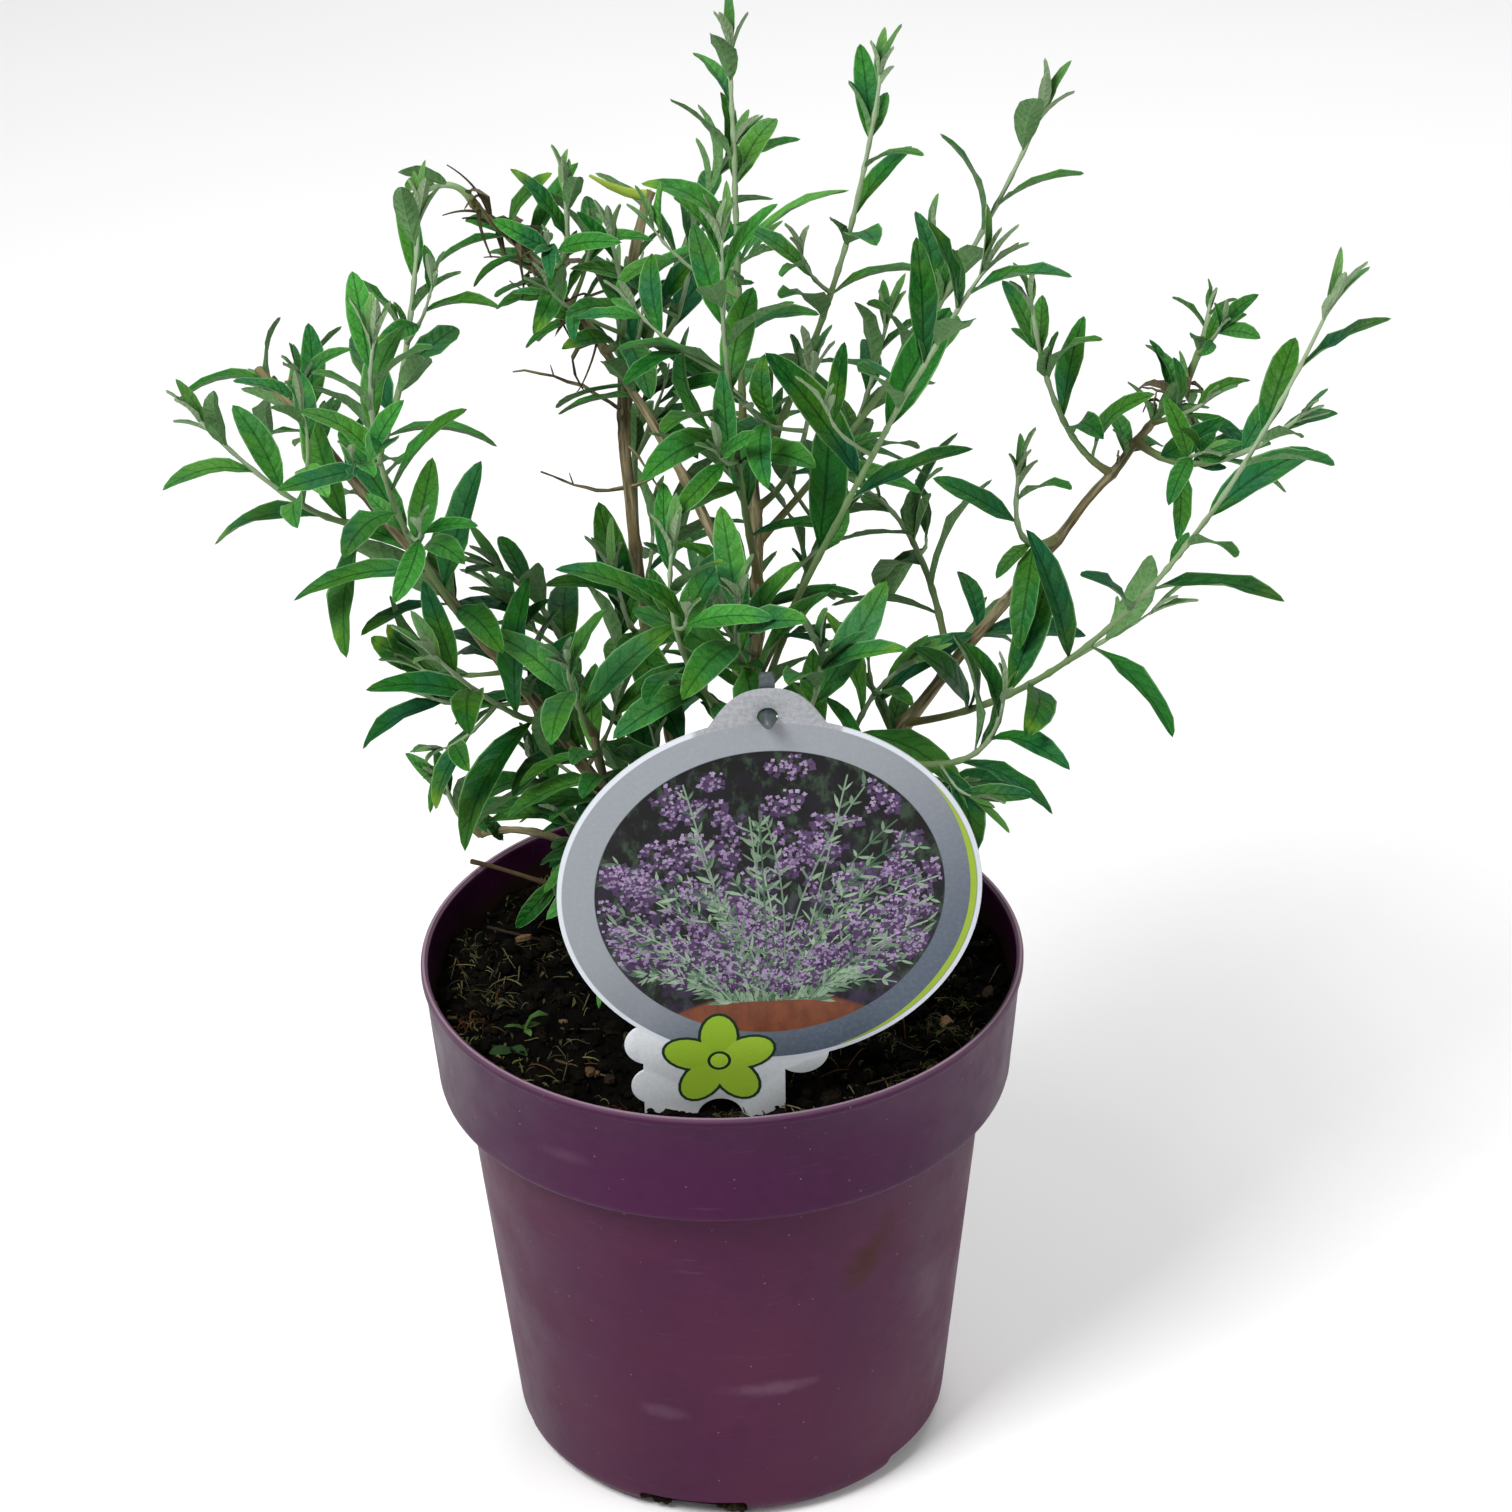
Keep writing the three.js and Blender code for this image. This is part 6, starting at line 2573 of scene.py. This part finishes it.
SKINS = {
    Tone.DEEP: LeafSkin("leaf_deep", paint(8, 62, 12), paint(38, 108, 36), paint(4, 38, 6)),
    Tone.MID: LeafSkin("leaf_mid", paint(15, 80, 21), paint(62, 134, 52), paint(5, 47, 9)),
    Tone.FRESH: LeafSkin("leaf_fresh", paint(29, 96, 32), paint(88, 154, 62), paint(14, 60, 18)),
}
YOUNG_SKIN = LeafSkin(
    "leaf_young",
    paint(62, 112, 54),
    paint(110, 152, 88),
    paint(50, 96, 46),
    quilt=0.2,
    ripe=0.2,
    ribs=0.2,
)
SMALL_SKIN = LeafSkin(
    "leaf_small", paint(24, 82, 30), paint(72, 134, 58), paint(14, 56, 18), ripe=0.3
)


@dataclass
class Crown:
    """Leafy shoots of the plant: green stems, full-grown, small, young and withered leaves."""

    growth: Growth

    def build(self, effects: Effects) -> None:
        """Builds the stems and each kind of leaf as joined pieces."""
        felt = LeafFelt("leaf_felt", paint(58, 103, 50), paint(112, 149, 98)).material(effects)
        pale = LeafFelt("leaf_down", paint(104, 132, 92), paint(142, 162, 128)).material(effects)
        self.stems()
        self.stub()
        for tone, skin in SKINS.items():
            self.full_grown(tone, skin.material(effects), felt)
        young, small = Gathering(), Gathering()
        for number, shoot in enumerate(self.growth.shoots):
            for heap, leaves, reach, broad in (
                (young, shoot.young, 1.15, 0.8), (small, shoot.small, 1.0, 1.0),
            ):
                stream = Stream(6000 + number)
                for leaf in leaves:
                    YOUNG_BLADE.lay(heap, leaf, stream, curl=0.6, reach=reach, broad=broad)
        young.make("leaves_young", "foliage", YOUNG_SKIN.material(effects), pale)
        small.make("leaves_small", "foliage", SMALL_SKIN.material(effects), felt)
        self.withered(effects)

    def full_grown(self, tone: Tone, skin: Material, felt: Material) -> None:
        """Builds the full-grown leaves of one tone, thinned on the sparse shoots."""
        heap, nodes = Gathering(), []
        for number, shoot in enumerate(self.growth.shoots):
            if shoot.tone is not tone:
                continue
            if shoot.packed:
                nodes.append(shoot.owner)
            stream = Stream(5000 + number)
            sparse = shoot.packed and shoot.owner in SPARSE_SHOOTS
            for place, (_, _, leaf) in enumerate(shoot.leaves):
                if not (sparse and place % 3 == 1):
                    LEAF_BLADE.lay(heap, leaf, stream, reach=1.2, broad=0.98)
        stream = Stream(5500)
        for leaf in self.growth.spur_leaves[tone]:
            LEAF_BLADE.lay(heap, leaf, stream, reach=1.18, broad=0.98)
        heap.make("leaves_" + tone.value, "foliage", skin, felt, sharp=42, nodes=nodes)

    def stems(self) -> None:
        """Builds the green stems and twigs, swollen a little at each leaf."""
        heap = Gathering()
        for number, shoot in enumerate(self.growth.shoots):
            for limb in (shoot.stem, *shoot.twigs):
                places = [share for owner, share, _ in shoot.leaves if owner is limb]
                main = limb is shoot.stem
                shares = np.linspace(0, 1, max(10, round(limb.length / 2.4)) + 1)
                path, radii = [], []
                for share in shares:
                    along = share * limb.length
                    radius = limb.radius(share) * (0.74 if main else mix(0.8, 0.5, share))
                    if main:
                        radius *= 1 + 0.5 * math.exp(-along / 5)
                    for place in places:
                        far = (along - place * limb.length) / 1.5
                        radius += 0.26 * math.exp(-far * far)
                    sway = Vector((number * 3.1 + (not main) * 1.7, along * 0.05, 0.2))
                    aside = noise.noise(sway) * 0.5 * math.sin(math.pi * share)
                    path.append(limb.at(share) + limb.side * aside)
                    radii.append(radius)
                ages = shares if main else 0.4 + 0.6 * shares
                tint = np.append(np.repeat(ages, 8), 1.0)
                heap.add_tube(np.array(path), np.array(radii), 8, tint, limb.side)
        heap.make("stems_green", "foliage", StemSkin().material(), sharp=70)

    def stub(self) -> None:
        """Builds the fresh green stub at the back bough's end."""
        path = np.array(
            [(-17, 95, 390), (-20, 95, 389.6), (-25, 95, 390.8), (-30, 94.5, 393.2), (-36, 94, 397)]
        )
        heap = Gathering()
        heap.add_tube(path, point(1.5, 1.9, 1.6, 1.2, 0.5), 8, 0.3)
        skin = StemSkin("bud_skin", paint(124, 118, 60), paint(132, 156, 56), paint(156, 172, 84))
        heap.make("stub_green", "foliage", skin.material(), sharp=70)

    def withered(self, effects: Effects) -> None:
        """Hangs the dried curled leaves at the high head and the right head."""
        heap, stream = Gathering(), Stream(808)
        spots = [
            (name, stream.between(start, 1.0), scale)
            for name, start, scale, count in (
                ("bough_high_left", 0.58, 1.1, 14), ("bough_right", 0.86, 0.8, 9),
            )
            for _ in range(count)
        ]
        for name, share, scale in spots:
            root = self.growth.limbs[name].at(share)
            along = unit(point(stream.sway(1), stream.between(-1, 0.6), stream.between(-0.8, 0.7)))
            length = stream.between(9, 17) * scale
            up = point(stream.sway(0.5), stream.sway(0.5), 1)
            leaf = Blade("withered", root, along, up, length, length * 0.22)
            YOUNG_BLADE.lay(heap, leaf, stream, curl=4.4)
        dry = LeafFelt("leaf_withered", paint(46, 40, 28), paint(104, 94, 70)).material(effects)
        heap.make("leaves_withered", "foliage", dry, dry, sharp=60)


def label_pose() -> Matrix:
    """Gives the label's place: its own flat axes turned to lean out over the rim."""
    turn = Matrix.Rotation(math.radians(2.5), 4, "Z") @ Matrix.Rotation(math.radians(95), 4, "X")
    return Matrix.Translation(Vector((15.2, -75, 239.7)) * MM) @ turn


@dataclass
class Label:
    """The round label: card with cap and foot, its printed motifs, stake and pin."""

    radius: float = 63
    thickness: float = 0.8
    pin_height: float = 64
    picture: float = 51.6
    seed: int = 424
    pattern_span: float = 200
    sunk: float = 0.1
    blossom_level: float = 0.15

    def build(self, effects: Effects) -> None:
        """Builds the card, its print, and the stake."""
        self.card()
        self.prints()
        self.stake(effects)

    def flat_solid(self, name: str, outline: Outline, back: float, front: float) -> Item:
        """Makes a flat solid from an outline in the label's own plane.

        Args:
            name: Its name.
            outline: Corners, anticlockwise, in millimetres.
            back: Where its back lies.
            front: Where its front lies.

        Returns:
            The object.
        """
        corners = [(x * MM, y * MM, back * MM) for x, y in outline]
        solid = new_piece(name, corners, [], [tuple(range(len(corners)))])
        with editing(solid):
            bpy.ops.mesh.extrude_region_move(
                TRANSFORM_OT_translate={"value": (0, 0, (front - back) * MM)}
            )
            bpy.ops.mesh.select_all(action="SELECT")
            bpy.ops.mesh.normals_make_consistent(inside=False)
        return solid

    @staticmethod
    def round(x: float, y: float, radius: float, count: int = 48) -> Outline:
        """Gives a circle's corners."""
        corners = (polar(math.tau * index / count, radius) for index in range(count))
        return [(x + cx, y + cy) for cx, cy in corners]

    def cap_outline(self) -> Outline:
        """Gives the lobe that carries the pin, swept into the disc by its shoulders."""
        half, low, top = 21.0, self.radius - 8, 73.6
        corners = []
        for knots in (
            ((half, low), (half * 0.7, low + 8), (half * 0.6, top), (0, top)),
            ((0, top), (-half * 0.6, top), (-half * 0.7, low + 8), (-half, low)),
        ):
            for index in range(16):
                t = index / 16
                shares = ((1 - t) ** 3, 3 * t * (1 - t) ** 2, 3 * t * t * (1 - t), t**3)
                corners.append(tuple(
                    sum(share * knot[axis] for share, knot in zip(shares, knots, strict=True))
                    for axis in (0, 1)
                ))
        return [*corners, (-half, low)]

    def card(self) -> None:
        """Builds the card: disc, cap and lobed foot in one, with the pin hole."""
        back = -self.thickness
        card = self.flat_solid("label_card", self.round(0, 0, self.radius, 192), back, 0)
        for outline in (
            self.cap_outline(),
            [(-39, -88), (4, -88), (4, -42), (-39, -42)],
            self.round(-37, -55, 7.5),
            self.round(-36, -71, 6.8),
            self.round(9, -60, 8.3),
        ):
            cut_or_join(card, self.flat_solid("card_part", outline, back, 0), "UNION")
        for outline in (self.round(-16, -84, 7), self.round(0, self.pin_height, 3.0)):
            cut_or_join(card, self.flat_solid("card_cut", outline, back - 1, 1), "DIFFERENCE")
        with editing(card):
            bpy.ops.mesh.dissolve_limited(angle_limit=math.radians(0.5))
        round_edges(card, 0.00013, 2)
        apply_modifier(card, "TRIANGULATE")
        layer = card.data.uv_layers.new(name="piece_uv")
        for face in card.data.polygons:
            plain = face.normal.z < -0.5
            for index in face.loop_indices:
                corner = card.data.vertices[card.data.loops[index].vertex_index].co
                place = corner / MM / self.pattern_span * (0.02 if plain else 1.0)
                layer.uv[index].vector = (place.x + 0.5, place.y + (0.15 if plain else 0.5))
        card.data.transform(label_pose())
        smooth_by(card, 30)
        dress(card, [LabelCard().material()], ["label_plate"])

    def prints(self) -> None:
        """Prints the picture's flower clusters and sprigs, and a plain blossom on the foot."""
        inks = {
            "lilac": (paint(88, 68, 102), paint(172, 152, 184)),
            "violet": (paint(42, 30, 52), paint(92, 72, 106)),
            "sprig": (paint(54, 82, 60), paint(142, 164, 140)),
            "lime": (paint(122, 156, 38), paint(150, 182, 56)),
            "dark": (paint(22, 38, 30), paint(34, 56, 40)),
        }
        heaps = {name: Gathering() for name in inks}
        self.draw_picture(heaps, Stream(self.seed))
        self.draw_blossom(heaps)
        pose = np.array(label_pose())
        for name, heap in heaps.items():
            heap.points = [points @ pose[:3, :3].T + pose[:3, 3] / MM for points in heap.points]
            ink = PrintInk("ink_" + name, *inks[name])
            heap.make("print_" + name, "label_card", ink.material(), sharp=30)

    def motif(self, heap: Gathering, outline: Outline, tint: float, height: float) -> None:
        """Adds one thin printed motif: an outline raised a hair above the card."""
        count = len(outline)
        if any(math.hypot(x, y) > self.picture for x, y in outline) and height < self.blossom_level:
            return
        x = sum(corner[0] for corner in outline) / count
        y = sum(corner[1] for corner in outline) / count
        points = [(px, py, height * 0.7) for px, py in outline]
        points += [(px, py, -self.sunk) for px, py in outline]
        points += [(x, y, height), (x, y, -self.sunk)]
        faces: list[Face] = []
        for index in range(count):
            after = (index + 1) % count
            faces.append((index, after, 2 * count))
            faces.append((count + after, count + index, 2 * count + 1))
            faces.append((count + index, count + after, after, index))
        heap.add(np.array(points, dtype=float), faces, tint=tint)

    def draw_picture(self, heaps: dict[str, Gathering], stream: Stream) -> None:
        """Draws sprays that fan up from the bowl, and flower clusters thickest low down."""
        for index in range(54):
            lean = math.radians(mix(-84, 84, (index * 23 % 54 + stream.between(0.1, 0.9)) / 54))
            reach = stream.between(46, 92)
            bend = stream.sway(0.3)
            spine = []
            for step in range(13):
                share = step / 12
                angle = lean * (0.55 + 0.55 * share) + bend * share
                droop = 16 * share**3 * abs(math.sin(lean))
                spine.append((
                    14 * math.sin(lean) + math.sin(angle) * reach * share,
                    -40 + math.cos(angle) * reach * share - droop,
                ))
            self.draw_sprig(heaps["sprig"], spine, stream, stream.between(0.03, 0.125))
        clusters = []
        for _ in range(270):
            x, y = polar(stream() * math.tau, 50 * math.sqrt(stream()))
            keep = mix(0.3, 1.0, smooth(-y, -30, 6))
            if stream() < keep and y > -35 + x * x * 0.004:
                clusters.append((x, y, stream.between(2.6, 5.2)))
        clusters.sort(key=lambda cluster: -cluster[1])
        for order, (x, y, size) in enumerate(clusters):
            level = 0.04 + 0.06 * order / len(clusters)
            self.draw_cluster(heaps, x, y, size, level, stream)

    def draw_cluster(
        self,
        heaps: dict[str, Gathering],
        x: float,
        y: float,
        size: float,
        level: float,
        stream: Stream,
    ) -> None:
        """Draws one flower cluster: shaded florets, and lighter ones above them.

        Args:
            heaps: Where the motifs go, by ink.
            x: Its middle.
            y: Its middle.
            size: Its radius in millimetres.
            level: How far above the card it is printed.
            stream: Where its florets are drawn from.
        """
        lean, tone = stream.between(0.75, 1.5), stream()
        for name, count, raised, low, high in (
            ("violet", int(size * 3.2), 0.0, 0.8, 1.5),
            ("lilac", int(size * 3.6), 0.006, 0.5, 0.95),
        ):
            shift = size * 30 * raised
            for _ in range(count):
                aside, above = polar(stream() * math.tau, size * math.sqrt(stream()))
                above /= lean
                tint = tone * 0.45 + (0.5 + 0.5 * above / size) * 0.4 + stream() * 0.3 - 0.1
                reach, turn = stream.between(low, high), stream() * 3
                floret = []
                for index in range(8):
                    lobe = polar(turn + math.tau * index / 8, reach * (1.0, 0.62)[index % 2])
                    floret.append((x + aside * lean - shift + lobe[0], y + above + shift + lobe[1]))
                height = level + raised + 0.004 * stream()
                self.motif(heaps[name], floret, min(1.0, max(0.0, tint)), height)

    def draw_sprig(self, heap: Gathering, spine: Outline, stream: Stream, level: float) -> None:
        """Draws a thin stem with narrow leaves on both sides."""
        tint = stream()
        for (x0, y0), (x1, y1) in zip(spine, spine[1:]):
            run = math.hypot(x1 - x0, y1 - y0) or 1
            nx, ny = -(y1 - y0) / run * 0.26, (x1 - x0) / run * 0.26
            band = [(x0 - nx, y0 - ny), (x1 - nx, y1 - ny), (x1 + nx, y1 + ny), (x0 + nx, y0 + ny)]
            self.motif(heap, band[::-1], tint, level)
            heading = math.atan2(y1 - y0, x1 - x0)
            for hand in (-1, 1):
                angle = heading + hand * stream.between(0.4, 1.0)
                length, half = stream.between(3.0, 6.5), stream.between(0.35, 0.8)
                leaf = [
                    (along * length, across * half)
                    for along, across in (
                        (0, 0.1), (0.3, -0.8), (0.65, -0.8), (1, 0), (0.65, 0.8), (0.3, 0.8),
                    )
                ]
                self.motif(heap, turned(leaf, angle, x0, y0), stream(), level + 0.003)

    def draw_blossom(self, heaps: dict[str, Gathering]) -> None:
        """Draws a plain five-petalled blossom with a dark outline on the foot."""
        x, y, reach = -16.0, -62.0, 17.5
        for name, grow, height in (("dark", 0.9, 0.16), ("lime", 0.0, 0.2)):
            for index in range(5):
                angle = math.pi / 2 + math.tau * index / 5
                cx, cy = polar(angle, reach * 0.52)
                long, wide = reach * 0.46 + grow, reach * 0.31 + grow
                petal = [(px * long, py * wide) for px, py in self.round(0, 0, 1, 20)]
                petal = turned(petal, angle, x + cx, y + cy)
                self.motif(heaps[name], petal, 0.3 + 0.12 * index, height + 0.004 * index)
        self.motif(heaps["dark"], self.round(x, y, 3.6, 24), 0.2, 0.27)
        self.motif(heaps["lime"], self.round(x, y, 2.7, 24), 1.0, 0.31)

    def stake(self, effects: Effects) -> None:
        """Builds the stake behind the card and the pin that holds it."""
        front = -self.thickness - SEAT
        half = 2.3
        outline = [
            (0, -122), (half, -110), (half, 76.7), (half - 0.8, 77.5), (-half + 0.8, 77.5),
            (-half, 76.7), (-half, -110),
        ]
        stake = self.flat_solid("label_stake", outline, front - 2.4, front)
        round_edges(stake, 0.00035, 3)
        pin = Gathering()
        heights = (-2.9, -0.9, 0.2, 0.7, 1.6, 3.4, 4.7, 5.15)
        radii = (2.5, 2.5, 2.5, 2.6, 2.45, 1.75, 1.2, 0.85)
        path = np.array([(0, self.pin_height, height) for height in heights])
        pin.add_tube(path, np.array(radii), 28, 0.5)
        pin.points[-1][-1] = (0, self.pin_height, 5.2)
        knob = pin.piece("pin")
        alone(stake)
        knob.select_set(True)
        bpy.ops.object.join()
        stake.data.transform(label_pose())
        smooth_by(stake, 40)
        dress(stake, [SlatePlastic().material(effects)], ["label_stake"])


def main() -> None:
    """Builds the studio, the pot and all that stands in it."""
    logging.basicConfig(level=logging.INFO, stream=sys.stdout, format="%(name)s %(message)s")
    effects = Effects()
    Studio().build()
    pose = label_pose()
    axes = np.array(pose)[:3, :3].T
    middle = np.array(pose.translation) / MM - axes[2] * 2
    growth = Growth(Box("label", middle, axes, point(63, 77.6, 3)))
    growth.grow()
    Pot().build(effects)
    CompostBed().build(effects)
    Wood(growth).build(effects)
    Crown(growth).build(effects)
    Label().build(effects)
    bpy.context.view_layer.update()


if __name__ == "__main__":
    main()
